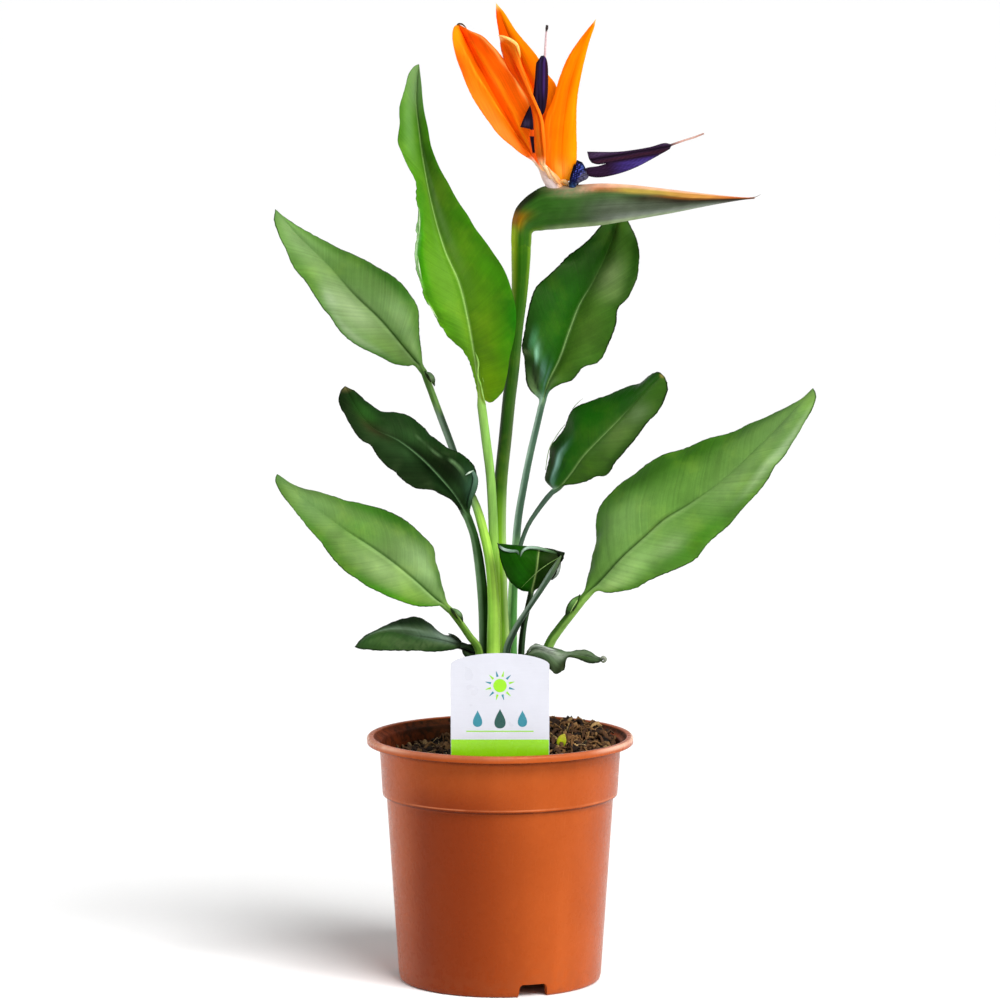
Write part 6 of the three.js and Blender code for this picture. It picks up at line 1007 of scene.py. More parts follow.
def smooth_outline(points, spacing, corner=42.0):
    """A closed outline redrawn as smooth runs between its sharp corners."""
    P = np.array(points, float)[:, :3]
    n = len(P)
    din, dout = P - np.roll(P, 1, 0), np.roll(P, -1, 0) - P
    a = np.degrees(np.arctan2(din[:, 0] * dout[:, 2] - din[:, 2] * dout[:, 0], din[:, 0] * dout[:, 0] + din[:, 2] * dout[:, 2]))
    corners = [i for i in range(n) if abs(a[i]) > corner] or [0]
    P = np.roll(P, -corners[0], 0)
    corners = [c - corners[0] for c in corners] + [n]
    P = np.vstack([P, P[:1]])
    out = []
    for c0, c1 in zip(corners[:-1], corners[1:]):
        run = P[c0 : c1 + 1]
        far = length_of(run) if len(run) > 2 else float(np.linalg.norm(run[1] - run[0]))
        m = max(2, int(far / spacing))
        stops = np.arange(m) / m
        out.append(at(run, stops) if len(run) > 2 else run[0] + (run[1] - run[0]) * stops[:, None])
    return np.vstack(out)


def edge_distance(X, Z, O):
    """Distance of points from a closed outline, and the depth carried in from it."""
    A, B = O, np.roll(O, -1, 0)
    d = np.full(X.shape, 1e9)
    y = np.zeros(X.shape)
    wsum = np.zeros(X.shape)
    for a, b in zip(A, B):
        ex, ez = b[0] - a[0], b[2] - a[2]
        f = np.clip(((X - a[0]) * ex + (Z - a[2]) * ez) / max(ex * ex + ez * ez, 1e-9), 0, 1)
        r = np.hypot(X - a[0] - f * ex, Z - a[2] - f * ez)
        d = np.minimum(d, r)
        wgt = 1.0 / np.maximum(r, 0.05) ** 3
        y += wgt * (a[1] + f * (b[1] - a[1]))
        wsum += wgt
    return d, y / wsum


def petal_piece(name, points, half, reach, paint, mat, spacing=0.28, relief=None, seed=1, corner=30.0):
    O = smooth_outline(points, spacing * 1.3, corner)
    lo, hi = O.min(0), O.max(0)
    gx, gz = np.meshgrid(np.arange(lo[0], hi[0], spacing), np.arange(lo[2], hi[2], spacing * 0.87))
    gx = gx + (np.arange(gx.shape[0]) % 2)[:, None] * spacing / 2
    X, Z = gx.ravel(), gz.ravel()
    inside = np.zeros(len(X), bool)
    for a, b in zip(O, np.roll(O, -1, 0)):
        hit = ((a[2] > Z) != (b[2] > Z)) & (X < (b[0] - a[0]) * (Z - a[2]) / (b[2] - a[2] + 1e-12) + a[0])
        inside ^= hit
    X, Z = X[inside], Z[inside]
    d, _ = edge_distance(X, Z, O)
    keep = d > spacing * 0.45
    X, Z = X[keep], Z[keep]
    pts = [Vector((float(p[0]), float(p[2]))) for p in O] + [Vector((float(x), float(z))) for x, z in zip(X, Z)]
    vs, es, fs, *_ = geometry.delaunay_2d_cdt(pts, [], [list(range(len(O)))], 1, 1e-6)
    F2 = np.array([f for f in fs if len(f) == 3], int)
    XZ = np.array([[v.x, v.y] for v in vs])
    d, y = edge_distance(XZ[:, 0], XZ[:, 1], O)
    area = (XZ[F2[:, 1], 0] - XZ[F2[:, 0], 0]) * (XZ[F2[:, 2], 1] - XZ[F2[:, 0], 1]) - (XZ[F2[:, 2], 0] - XZ[F2[:, 0], 0]) * (XZ[F2[:, 1], 1] - XZ[F2[:, 0], 1])
    F2 = np.where((area < 0)[:, None], F2[:, ::-1], F2)
    h = half * np.sqrt(np.maximum(1 - (1 - np.clip(d / reach, 0, 1)) ** 2, 0))
    if relief is not None:
        h = h + relief(XZ[:, 0], XZ[:, 1], d)
    rim = d < 1e-4
    h = np.where(rim, 0, h)
    n = len(XZ)
    front = np.stack([XZ[:, 0], y - h, XZ[:, 1]], 1)
    back = np.stack([XZ[:, 0], y + h, XZ[:, 1]], 1)
    remap = np.where(rim, np.arange(n), np.arange(n) + n)
    tris = np.vstack([F2, remap[F2][:, ::-1]])
    P = np.vstack([front, back])
    tint = paint(P[:, 0], P[:, 2], np.concatenate([d, d]), np.concatenate([np.zeros(n), np.ones(n)]))
    c = P.mean(0)
    U_, S_, Vt = np.linalg.svd((P - c)[:, [0, 2]], full_matrices=False)
    along = (P - c)[:, [0, 2]] @ Vt[0]
    across = (P - c)[:, [0, 2]] @ Vt[1]
    lc = np.stack([across / 6.0, along / 40.0, np.full(len(P), float(seed))], 1)
    used = np.unique(tris)
    new = np.full(len(P), -1)
    new[used] = np.arange(len(used))
    return make(name, P[used], None, new[tris], {"tint": np.clip(tint[used], 0, 1), "lc": lc[used], "ed": np.concatenate([d, d])[used]}, [mat], (name,))


INDIGO = plant_material("arrow_petal_skin", rough=0.42, spec=0.07, spec_tint=(0.7, 0.6, 1.0), warm_mix=0.0, streak=0.22, fine=0.12, mottle=0.2, through=0.0, warm=(60, 40, 90), streak_scale=(5.0, 0.5, 1.0), fine_scale=(18.0, 0.8, 1.0))
BLUE = plant_material("hood_petal_skin", rough=0.5, spec=0.04, spec_tint=(0.6, 0.7, 1.0), warm_mix=0.02, streak=0.2, fine=0.12, mottle=0.35, through=0.0, warm=(60, 80, 170), speck=0.5)


def blob(X, Z, cx, cz, rx, rz, turn=0.0):
    c, s = math.cos(math.radians(turn)), math.sin(math.radians(turn))
    dx, dz = X - cx, Z - cz
    return np.exp(-(((c * dx + s * dz) / rx) ** 2) - (((-s * dx + c * dz) / rz) ** 2))


def flat_tone(X, colour):
    return np.broadcast_to(lin(colour), X.shape + (3,))


def paint_arrow_up(X, Z, d, back):
    """Almost black, with a violet stripe up the blade; orange tissue crosses its thin foot twice."""
    top = ARROW_UPRIGHT[0]
    c = mix(flat_tone(X, (14, 8, 18)), flat_tone(X, (26, 16, 34)), smooth(0.3, 1.6, d))
    left = np.interp(Z, [ARROW_UPRIGHT[19][2], ARROW_UPRIGHT[20][2], ARROW_UPRIGHT[21][2]], [ARROW_UPRIGHT[19][0], ARROW_UPRIGHT[20][0], ARROW_UPRIGHT[21][0]])
    right = np.interp(Z, [ARROW_UPRIGHT[3][2], ARROW_UPRIGHT[2][2], ARROW_UPRIGHT[1][2]], [ARROW_UPRIGHT[3][0], ARROW_UPRIGHT[2][0], ARROW_UPRIGHT[1][0]])
    share = (X - left) / np.maximum(right - left, 0.5)
    high = smooth(top[2] - 30, top[2] - 20, Z)
    c = mix(c, flat_tone(X, (58, 34, 92)), np.exp(-(((share - 0.68) / 0.10) ** 2)) * high * 0.85)
    c = mix(c, flat_tone(X, (34, 30, 66)), np.exp(-(((share - 0.30) / 0.10) ** 2)) * high * 0.6)
    c = mix(c, flat_tone(X, (48, 10, 22)), np.exp(-(((share - 0.92) / 0.08) ** 2)) * smooth(top[2] - 44, top[2] - 22, Z) * 0.7)
    c = mix(c, flat_tone(X, (34, 8, 16)), np.exp(-(((share - 0.12) / 0.10) ** 2)) * smooth(top[2] - 44, top[2] - 22, Z) * 0.5)
    c = mix(c, flat_tone(X, (60, 52, 78)), blob(X, Z, ARROW_UPRIGHT[16][0] + 4.5, ARROW_UPRIGHT[16][2] + 2.4, 2.4, 2.2, 30) * 0.7)
    z0, z1, z2, z3 = ARROW_BANDS
    flesh = mix(flat_tone(X, (252, 96, 10)), flat_tone(X, (250, 190, 130)), smooth(z3, z3 - 7, Z))
    over = np.maximum(smooth(z0 + 0.3, z0 - 0.3, Z) * smooth(z1 - 0.3, z1 + 0.3, Z), smooth(z2 + 0.6, z2 - 0.6, Z))
    edge_x = np.interp(Z, [z2, z1], [ARROW_FOOT_X[1], ARROW_FOOT_X[0]])
    over = np.maximum(over, smooth(z1 + 0.3, z1 - 0.3, Z) * smooth(edge_x + 0.2, edge_x - 0.2, X))
    return mix(c, flesh, over)


def paint_arrow_side(X, Z, d, back):
    x0, z0, x1, z1 = ARROW_SIDEWAYS[4][0], ARROW_SIDEWAYS[5][2], ARROW_SIDEWAYS[0][0], ARROW_SIDEWAYS[0][2]
    mid = z0 + (X - x0) / (x1 - x0) * (z1 - z0) - 1.5
    below = mid - Z
    c = mix(flat_tone(X, (34, 16, 36)), flat_tone(X, (62, 46, 72)), np.exp(-(((below + 3.4) / 1.5) ** 2)) * 0.7)
    c = mix(c, flat_tone(X, (14, 6, 16)), np.exp(-(((below + 0.6) / 0.55) ** 2)) * 0.95)
    c = mix(c, flat_tone(X, (52, 24, 34)), np.exp(-(((below - 1.4) / 0.9) ** 2)) * 0.8)
    c = mix(c, flat_tone(X, (20, 8, 20)), np.exp(-(((below - 2.9) / 0.5) ** 2)) * 0.7)
    c = mix(c, flat_tone(X, (50, 36, 96)), smooth(2.8, 4.6, below) * smooth(x0 + 12, x0 + 26, X) * 0.9)
    c = mix(c, flat_tone(X, (74, 62, 132)), smooth(4.6, 6.2, below) * smooth(x0 + 24, x0 + 38, X) * 0.6)
    c = mix(c, flat_tone(X, (20, 8, 20)), smooth(0.6, 0.0, d) * 0.7)
    c = mix(c, flat_tone(X, (26, 10, 24)), smooth(x1 - 6, x1, X) * 0.5)
    return np.clip(c * (1 + 0.35 * wob2(X / 5.0, Z / 1.6, 92))[..., None], 0, 1)


def paint_hood(X, Z, d, back):
    c = mix(flat_tone(X, (6, 5, 14)), flat_tone(X, (10, 12, 44)), smooth(0.7, 1.9, d))
    c = mix(c, flat_tone(X, (72, 78, 170)), smooth(0.20, 0.62, wob2(X / 2.3, Z / 2.3, 93)) * smooth(0.5, 1.4, d) * smooth(HOOD_PETAL[5][2], HOOD_PETAL[3][2], Z) * 0.9)
    right = HOOD_PETAL[3][0]
    c = mix(c, flat_tone(X, (52, 70, 130)), blob(X, Z, right - 3.0, HOOD_PETAL[2][2], 1.0, 1.6) * 0.6)
    # grey toward the lower right: partly the grey lobe's own colour and partly painted highlight
    c = mix(c, flat_tone(X, (70, 66, 84)), smooth(right - 3.4, right - 0.8, X + 0.45 * (HOOD_PETAL[2][2] - Z)) * smooth(HOOD_PETAL[2][2] - 1, HOOD_PETAL[2][2] - 5, Z) * 0.8)
    c = mix(c, flat_tone(X, (40, 66, 104)), smooth(HOOD_PETAL[5][2] + 2, HOOD_PETAL[5][2] - 2, Z) * 0.6)
    c = c * (1 + 0.7 * wob2(X / 2.6, Z / 2.6, 91))[..., None]
    return np.clip(c, 0, 1)


def ridge_up(X, Z, d):
    return 0.22 * np.sin(X * 2.6 + 0.4 * np.sin(Z * 0.3)) * smooth(0.2, 1.2, d)


def ridge_side(X, Z, d):
    x0, z0, x1, z1 = ARROW_SIDEWAYS[4][0], ARROW_SIDEWAYS[5][2], ARROW_SIDEWAYS[0][0], ARROW_SIDEWAYS[0][2]
    mid = z0 + (X - x0) / (x1 - x0) * (z1 - z0) - 1.5
    return (-0.45 * np.exp(-(((mid - Z + 0.4) / 0.6) ** 2)) + 0.10 * np.sin((mid - Z) * 2.4)) * smooth(0.2, 1.0, d)


petal_piece("arrow_petal_upright", ARROW_UPRIGHT, 1.3, 2.4, paint_arrow_up, INDIGO, relief=ridge_up, seed=3)
petal_piece("arrow_petal_sideways", ARROW_SIDEWAYS, 1.35, 2.6, paint_arrow_side, INDIGO, relief=ridge_side, seed=4)
petal_piece("hood_petal", HOOD_PETAL, 1.3, 3.2, paint_hood, BLUE, seed=5)
P_, Q_, T_, A_ = joined([ribbon(rows, colours, thick=thick, curl=curl, rim=rim, seed=i + 1.0) for i, (rows, colours, thick, curl, rim) in enumerate(EXTRAS["hood_petal"])])
make("hood_petal_flap", P_, Q_, T_, A_, [BLUE], ("hood_petal",))

PINK = plant_material("style_skin", spec_tint=(1.0, 0.9, 0.85), rough=0.5, spec=0.25, streak=0.1, fine=0.1, mottle=0.12, through=0.12, warm=(220, 160, 140), streak_scale=(2.0, 0.8, 1.0), fine_scale=(4.0, 2.0, 1.0))


def style_piece(name, points, colours, seed):
    rings, sides = 90, 20
    V, Q, TR, path = round_stem(points, rings, sides, ribs=0.05, ribs_n=3)
    u = np.linspace(0, 1, rings)
    ks = [c[0] for c in colours]
    t = np.stack([np.interp(u, ks, [lin(c[1])[i] for c in colours]) for i in range(3)], 1)
    t = np.broadcast_to(t[:, None], (rings, sides, 3)) * (1 + 0.12 * wob(u * 6, seed))[:, None, None]
    lc = np.stack(np.broadcast_arrays((np.arange(sides) / sides)[None], (u * 2)[:, None], float(seed)), -1)
    make(name, V, Q, TR, {"tint": np.clip(capped(t, [t[0, 0], t[-1, 0]]), 0, 1), "lc": capped(lc, [lc[0].mean(0), lc[-1].mean(0)]), "ed": np.full(rings * sides + 2, 10.0)},
         [PINK], (name,))


style_piece("style_upright", STYLE_UPRIGHT, [(0, (150, 110, 120)), (0.5, (206, 174, 176)), (0.84, (190, 160, 164)), (0.88, (30, 16, 18)), (1, (26, 14, 16))], 61)
style_piece("style_sideways", STYLE_SIDEWAYS, [(0, (40, 18, 30)), (0.32, (58, 28, 38)), (0.5, (196, 150, 140)), (0.75, (206, 162, 148)), (1, (176, 132, 120))], 62)

FLESH = plant_material("floret_tube_skin", spec_tint=(1.0, 0.95, 0.9), rough=0.45, spec=0.4, streak=0.05, fine=0.05, mottle=0.05, through=0.35, warm=(255, 226, 200), through_tint=(255, 236, 220), streak_scale=(2.0, 0.8, 1.0), fine_scale=(6.0, 0.8, 1.0))
V, Q, TR, path = round_stem(FLORET_CONE, 70, 56, ribs=0.02, ribs_n=5)
G = V[: 70 * 56].reshape(70, 56, 3)
c = np.array(path[:, :3])[:, None]
u = np.linspace(0, 1, 70)
t = np.broadcast_to(mix(flat_tone(u, (238, 222, 220)), flat_tone(u, (244, 214, 190)), smooth(0.3, 1.0, u))[:, None], G.shape).copy()
t = mix(t, np.broadcast_to(lin((255, 176, 70)), G.shape), smooth(0.2, 3.6, G[..., 0] - c[..., 0]) * 0.8)
t = mix(t, np.broadcast_to(lin((238, 214, 176)), G.shape), smooth(0.7, 1.0, u)[:, None] * np.ones(56)[None] * 0.8)
fx, fz = FLORET_DOT
t = mix(t, np.broadcast_to(lin((176, 70, 14)), G.shape), np.exp(-(((G[..., 0] - fx) / 1.5) ** 2) - (((G[..., 2] - fz) / 1.2) ** 2)) * 0.9)
lc = np.stack(np.broadcast_arrays((np.arange(56) / 56 * 4)[None], (u * 1.0)[:, None], 9.0), -1)
tube = (V, Q, TR, {"tint": np.clip(capped(t, [t[0, 0], t[-1, 0]]), 0, 1), "lc": capped(lc, [lc[0].mean(0), lc[-1].mean(0)]), "ed": np.full(70 * 56 + 2, 10.0)})
P_, Q_, T_, A_ = joined([tube] + [ribbon(rows, colours, thick=thick, curl=curl, rim=rim, seed=i + 1.0) for i, (rows, colours, thick, curl, rim) in enumerate(EXTRAS["floret_tube"])])
make("floret_tube", P_, Q_, T_, A_, [FLESH], ("floret_tube",))

# ---------------------------------------------------------------- spathe
NR, NK = 260, 96
S = np.array(SPATHE, float)
Sc = np.column_stack([S[:, 0], np.zeros(len(S)), S[:, 1], S[:, 2:], np.arange(len(S))])
mid = np.column_stack([(S[:, 0] + S[:, 2]) / 2, np.zeros(len(S)), (S[:, 1] + S[:, 3]) / 2])
rowsC = np.column_stack([mid, S, np.arange(len(S), dtype=float)])
sec = at(rowsC, (np.arange(NR) / (NR - 1)))
ax_, az_, bx_, bz_, hh, slit, idx = sec[:, 3:].T
centre = sec[:, :3]
up = np.stack([(ax_ - bx_) / 2, np.zeros(NR), (az_ - bz_) / 2], 1)
ul = np.linalg.norm(up, axis=1)
beak = smooth(4, 9, idx)
lip = np.minimum(1.7, hh * 0.35)
slit = np.maximum(slit, 0)
zero = np.zeros(NR)
right = [
    (lip * 0.55, zero + 0.985 - 0.02 * (slit > 0.2)), (lip, zero + 1.0), (lip * 1.5, zero + 0.97), (hh * 0.66, 0.74 + 0.08 * beak), (hh * 0.9, zero + 0.5), (hh * 0.97, zero + 0.25),
    (hh * 0.97, zero - 0.05), (hh * 0.88, zero - 0.32), (hh * (0.68 - 0.16 * beak), zero - 0.74), (hh * (0.34 - 0.12 * beak), zero - 0.94),
]
ctrl = [(zero, 1 - slit / ul)] + [(-y, v) for y, v in right] + [(zero, zero - 1.0)] + [(y, v) for y, v in right[::-1]]
Cy, Cv = np.stack([c[0] for c in ctrl], 1), np.stack([c[1] for c in ctrl], 1)
n_c = Cy.shape[1]
pos = np.arange(NK) / NK * n_c
i0 = np.floor(pos).astype(int)
f = pos - i0


def around_ring(C):
    a, b, c_, d_ = (C[:, (i0 + k) % n_c] for k in (-1, 0, 1, 2))
    return 0.5 * (2 * b + (c_ - a) * f + (2 * a - 5 * b + 4 * c_ - d_) * f**2 + (3 * b - a - 3 * c_ + d_) * f**3)


Ry, Rv = around_ring(Cy), around_ring(Cv)
G = centre[:, None] + up[:, None] * Rv[..., None]
G[..., 1] += Ry
slen = length_of(rowsC)
arc = np.arange(NR) / (NR - 1) * slen
G = centre[:, None] + (G - centre[:, None]) * (1 - 0.06 * (1 - smooth(0, 6, arc)))[:, None, None]
# fine lengthwise ribs and shallow folds
ribs = 0.09 * np.sin(Rv * 21 + 0.6 * np.sin(arc[:, None] / 18)) * smooth(0.9, 0.6, np.abs(Rv)) * np.minimum(hh / 6, 1)[:, None]
G[..., 1] += ribs * np.sign(Ry)
X, Z = G[..., 0], G[..., 2]
px = 500 + X / 0.6345
along = px
low = (1 - Rv) / 2  # 0 at the top lips, 1 at the keel
tone = lambda colour: np.broadcast_to(lin(colour), G.shape)
c = tone((48, 76, 34))
c = mix(c, tone((36, 82, 14)), smooth(590, 545, along) * 0.8)
# the grey over the middle and lower side is painted sheen
c = mix(c, tone((78, 84, 72)), smooth(570, 610, along) * smooth(0.15, 0.6, low) * 0.85)
c = mix(c, tone((138, 146, 136)), smooth(580, 630, along) * smooth(0.66, 0.97, low) * 0.85)
c = mix(c, tone((150, 170, 120)), smooth(0.84, 1.0, low) * smooth(530, 560, along) * smooth(720, 640, along) * 0.8)
c = mix(c, tone((26, 18, 26)), np.exp(-(((low - 0.42) / 0.24) ** 2)) * smooth(625, 680, along) * 0.92)
c = mix(c, tone((44, 24, 24)), smooth(700, 735, along) * 0.8)
top_c = mix(tone((206, 160, 136)), tone((150, 92, 52)), smooth(575, 600, along))
top_c = mix(top_c, tone((160, 134, 54)), smooth(606, 628, along))
top_c = mix(top_c, tone((184, 126, 58)), smooth(650, 690, along))
top_c = mix(top_c, tone((176, 78, 26)), smooth(700, 740, along))
edge_c = tone((232, 176, 146))
cut = 0.16 + 0.06 * smooth(600, 640, along) + 0.13 * smooth(650, 700, along)
mottled = smooth(-0.1, 0.5, wob2(along / 5.0, low * 9, 311))
c = mix(c, mix(tone((128, 116, 88)), tone((104, 118, 84)), mottled), smooth(0.34, 0.10, low) * np.exp(-(((along - 568) / 17) ** 2)) * 0.85)
c = mix(c, top_c, smooth(cut + 0.07, cut - 0.06, low) * smooth(570, 594, along) * (1 - 0.35 * mottled * smooth(640, 590, along)))
# painted shadow: a dark line under the pale upper band
c = mix(c, tone((34, 24, 18)), np.exp(-(((low - cut - 0.15) / 0.10) ** 2)) * smooth(608, 650, along) * 0.92)
c = mix(c, tone((112, 60, 10)), np.exp(-(((low - cut - 0.05) / 0.05) ** 2)) * smooth(636, 672, along) * 0.9)
c = mix(c, edge_c, smooth(0.12, 0.02, low) * smooth(572, 604, along) * 0.85)
c = mix(c, tone((160, 132, 112)), smooth(0.12, 0.03, low) * np.exp(-(((along - 560) / 12) ** 2)) * 0.6)
c = mix(c, tone((10, 12, 3)), smooth(0.24, 0.08, low) * np.exp(-(((along - 525) / 17) ** 4)) * 0.96)
elbow = np.exp(-(((along - 515) / 9) ** 2)) * smooth(0.55, 0.05, low)
below_rim = 500 - (Z - 308.0) / 0.6345
c = mix(c, tone((132, 108, 2)), smooth(0.72, 0.3, low) * smooth(545, 530, along) * np.exp(-(((below_rim - 225) / 9) ** 2)) * 0.95)
c = mix(c, tone((140, 82, 2)), smooth(0.6, 0.2, low) * smooth(540, 526, along) * np.exp(-(((below_rim - 218) / 6) ** 2)) * 0.8)
c = mix(c, tone((36, 84, 2)), smooth(222, 236, below_rim) * smooth(545, 530, along) * 0.92)
c = mix(c, tone((150, 174, 8)), smooth(0.40, 0.10, low) * smooth(222, 232, below_rim) * smooth(545, 530, along) * 0.92)
c = mix(c, tone((100, 136, 24)), smooth(0.82, 1.0, low) * smooth(552, 530, along) * 0.9)
c = c * (1 + 0.16 * wob2(along / 9, Rv * 4, 301) * 0.4 + 0.10 * np.sin(Rv * 34 + 1.2 * wob(arc / 30, 303)[:, None]) * smooth(560, 620, along) * 0.6)[..., None]
c = c * (1 + 0.12 * wob2(along / 26, low * 3, 305))[..., None]
lc = np.stack(np.broadcast_arrays(Rv * 2.2 + np.sign(Ry) * 5, (arc / 40.0)[:, None], 15.0), -1)
quads, tris = tube_faces(NR, NK)
SPATHE_SKIN = plant_material("spathe_skin", rough=0.44, spec=0.13, warm_mix=0.04, streak=0.14, fine=0.10, mottle=0.12, through=0.05, warm=(150, 160, 120), streak_scale=(6.0, 0.35, 1.0), fine_scale=(22.0, 0.8, 1.0))
V = capped(G, [G[0].mean(0), G[-1].mean(0) + np.array([1.0, 0, 0.05])])
attrs = {"tint": np.clip(capped(c, [c[0].mean(0), c[-1].mean(0)]), 0, 1), "lc": capped(lc, [lc[0].mean(0), lc[-1].mean(0)]), "ed": np.full(NR * NK + 2, 10.0)}
more = [ribbon(rows, colours, thick=thick, curl=curl, rim=rim, seed=i + 1.0) for i, (rows, colours, thick, curl, rim) in enumerate(EXTRAS.get("flower_spathe", ()))]
V, quads, tris, attrs = joined([(V, quads, tris, attrs)] + more)
make("flower_spathe", V, quads, tris, attrs, [SPATHE_SKIN], ("flower_spathe",))

# ---------------------------------------------------------------- pot


def filleted(profile):
    """A profile of (r, z, corner radius) with its corners rounded."""
    P = [np.array(p[:2], float) for p in profile]
    out = [P[0]]
    for i in range(1, len(P) - 1):
        a, b, c_ = P[i - 1], P[i], P[i + 1]
        u1, u2 = (a - b) / np.linalg.norm(a - b), (c_ - b) / np.linalg.norm(c_ - b)
        half = math.acos(np.clip(u1 @ u2, -1, 1)) / 2
        r = profile[i][2]
        if r <= 0 or half > 1.55:
            out.append(b)
            continue
        back = min(r / math.tan(half), 0.45 * np.linalg.norm(a - b), 0.45 * np.linalg.norm(c_ - b))
        p0, p1 = b + u1 * back, b + u2 * back
        for k in range(7):
            t = k / 6
            out.append((1 - t) ** 2 * p0 + 2 * t * (1 - t) * b + t**2 * p1)
    out.append(P[-1])
    dense = []
    for a, b in zip(out[:-1], out[1:]):
        m = max(1, int(np.linalg.norm(b - a) / 6.0))
        dense += [a + (b - a) * k / m for k in range(m)]
    dense.append(out[-1])
    return np.array(dense)


FLOOR_TOP = FLOOR_Z + FLOOR_THICK
profile = filleted([
    (0.0, FLOOR_Z, 0), (FOOT_IN - 0.3, FLOOR_Z, 1.2), (FOOT_IN, 0, 0.5), (FOOT_OUT, 0, 0.9), (64.2, 0.9, 1.6), (BODY_FOOT, 3.4, 3.0), (BODY_TOP, COLLAR_FOOT_Z - 2.6, 2.4),
    (BODY_TOP + 0.5, COLLAR_FOOT_Z - 0.9, 0.5), (COLLAR_FOOT - 0.2, COLLAR_FOOT_Z - 0.5, 0.35), (COLLAR_FOOT, COLLAR_FOOT_Z + 0.9, 0.8), (COLLAR_TOP - 0.4, RIM_Z - LIP_HEIGHT + 0.6, 0.7),
    (RIM_RADIUS - 1.6, RIM_Z - LIP_HEIGHT + 0.3, 0.4), (RIM_RADIUS - 0.9, RIM_Z - LIP_HEIGHT - 0.2, 0.35), (RIM_RADIUS - 0.1, RIM_Z - LIP_HEIGHT + 0.2, 0.5), (RIM_RADIUS, RIM_Z - 1.3, 0.9),
    (RIM_RADIUS - 1.0, RIM_Z, 1.0), (RIM_RADIUS - 4.0, RIM_Z - 0.1, 1.2), (RIM_RADIUS - 5.6, RIM_Z - 2.4, 1.5), (COLLAR_TOP - WALL + 0.5, RIM_Z - 4.6, 1.5), (COLLAR_TOP - WALL - 0.1, RIM_Z - LIP_HEIGHT - 4, 1.0), (COLLAR_FOOT - WALL, COLLAR_FOOT_Z + 1.6, 1.0), (BODY_TOP - WALL, COLLAR_FOOT_Z - 2.0, 1.5), (BODY_FOOT - WALL, FLOOR_TOP + 3.5, 2.0),
    (60.5, FLOOR_TOP, 1.5), (0.0, FLOOR_TOP, 0),
])
SEG = 208
ring_r, ring_z = profile[1:-1, 0], profile[1:-1, 1]
n_p = len(ring_r)
th = 2 * math.pi * np.arange(SEG) / SEG
flare = 0.25 * np.sin(2 * th + 0.7) + 0.12 * np.sin(3 * th + 2.0)
lift = smooth(100, 157, ring_z)
rr = ring_r[:, None] + (lift * 1.0)[:, None] * flare[None] * smooth(60, 75, ring_r)[:, None] * 0.6
G = np.stack([rr * np.cos(th)[None], rr * np.sin(th)[None], np.broadcast_to(ring_z[:, None], rr.shape)], -1)
quads, tris = tube_faces(n_p, SEG)
V = capped(G, [[0, 0, FLOOR_Z], [0, 0, FLOOR_TOP]])
pot = make("pot", V, quads, tris, {}, [], ("pot",))
bpy.context.view_layer.update()


def cutter(points, extrude_from, extrude_to, turn):
    """A prism in the pot's frame: outline in (across, z), swept in r from one radius to the other."""
    n = len(points)
    V = np.array([[x, -extrude_from, z] for x, z in points] + [[x, -extrude_to, z] for x, z in points], float)
    c, s = math.cos(turn), math.sin(turn)
    V = np.column_stack([c * V[:, 0] - s * V[:, 1], s * V[:, 0] + c * V[:, 1], V[:, 2]])
    faces = [list(range(n - 1, -1, -1)), list(range(n, 2 * n))] + [[i, (i + 1) % n, n + (i + 1) % n, n + i] for i in range(n)]
    me = bpy.data.meshes.new("cutter")
    me.from_pydata([tuple(v) for v in metres(V)], [], faces)
    me.update()
    o = bpy.data.objects.new("cutter", me)
    bpy.context.scene.collection.objects.link(o)
    return o


def drill(x, y, z0, z1, r, n=40):
    a = 2 * math.pi * np.arange(n) / n
    V = np.vstack([np.column_stack([x + r * np.cos(a), y + r * np.sin(a), np.full(n, z)]) for z in (z0, z1)])
    faces = [list(range(n - 1, -1, -1)), list(range(n, 2 * n))] + [[i, (i + 1) % n, n + (i + 1) % n, n + i] for i in range(n)]
    me = bpy.data.meshes.new("cutter")
    me.from_pydata([tuple(v) for v in metres(V)], [], faces)
    me.update()
    o = bpy.data.objects.new("cutter", me)
    bpy.context.scene.collection.objects.link(o)
    return o


cutters = []
w = NOTCH_W / 2
arch = [(-w - 0.3, -2.0), (w + 0.3, -2.0), (w - 0.3, NOTCH_H - 2.6), (w - 0.9, NOTCH_H - 1.0), (w - 2.2, NOTCH_H), (-w + 2.2, NOTCH_H), (-w + 0.9, NOTCH_H - 1.0), (-w + 0.3, NOTCH_H - 2.6)]
for degrees in NOTCH_ANGLES:
    cutters.append(cutter(arch, 55.0, 70.0, math.radians(degrees + 90)))
for i in range(8):
    a = (i + 0.5) / 8 * 2 * math.pi
    cutters.append(drill(42 * math.cos(a), 42 * math.sin(a), FLOOR_Z - 2, FLOOR_TOP + 2, 4.5))
bpy.context.view_layer.update()
for o in cutters:
    mod = pot.modifiers.new("cut", "BOOLEAN")
    mod.operation, mod.solver, mod.object = "DIFFERENCE", "EXACT", o
dg = bpy.context.evaluated_depsgraph_get()
cut = bpy.data.meshes.new_from_object(pot.evaluated_get(dg))
pot.modifiers.clear()
pot.data = cut
for o in cutters:
    bpy.data.objects.remove(o, do_unlink=True)
cut.polygons.foreach_set("use_smooth", np.ones(len(cut.polygons), bool))
cut.set_sharp_from_angle(angle=math.radians(38))

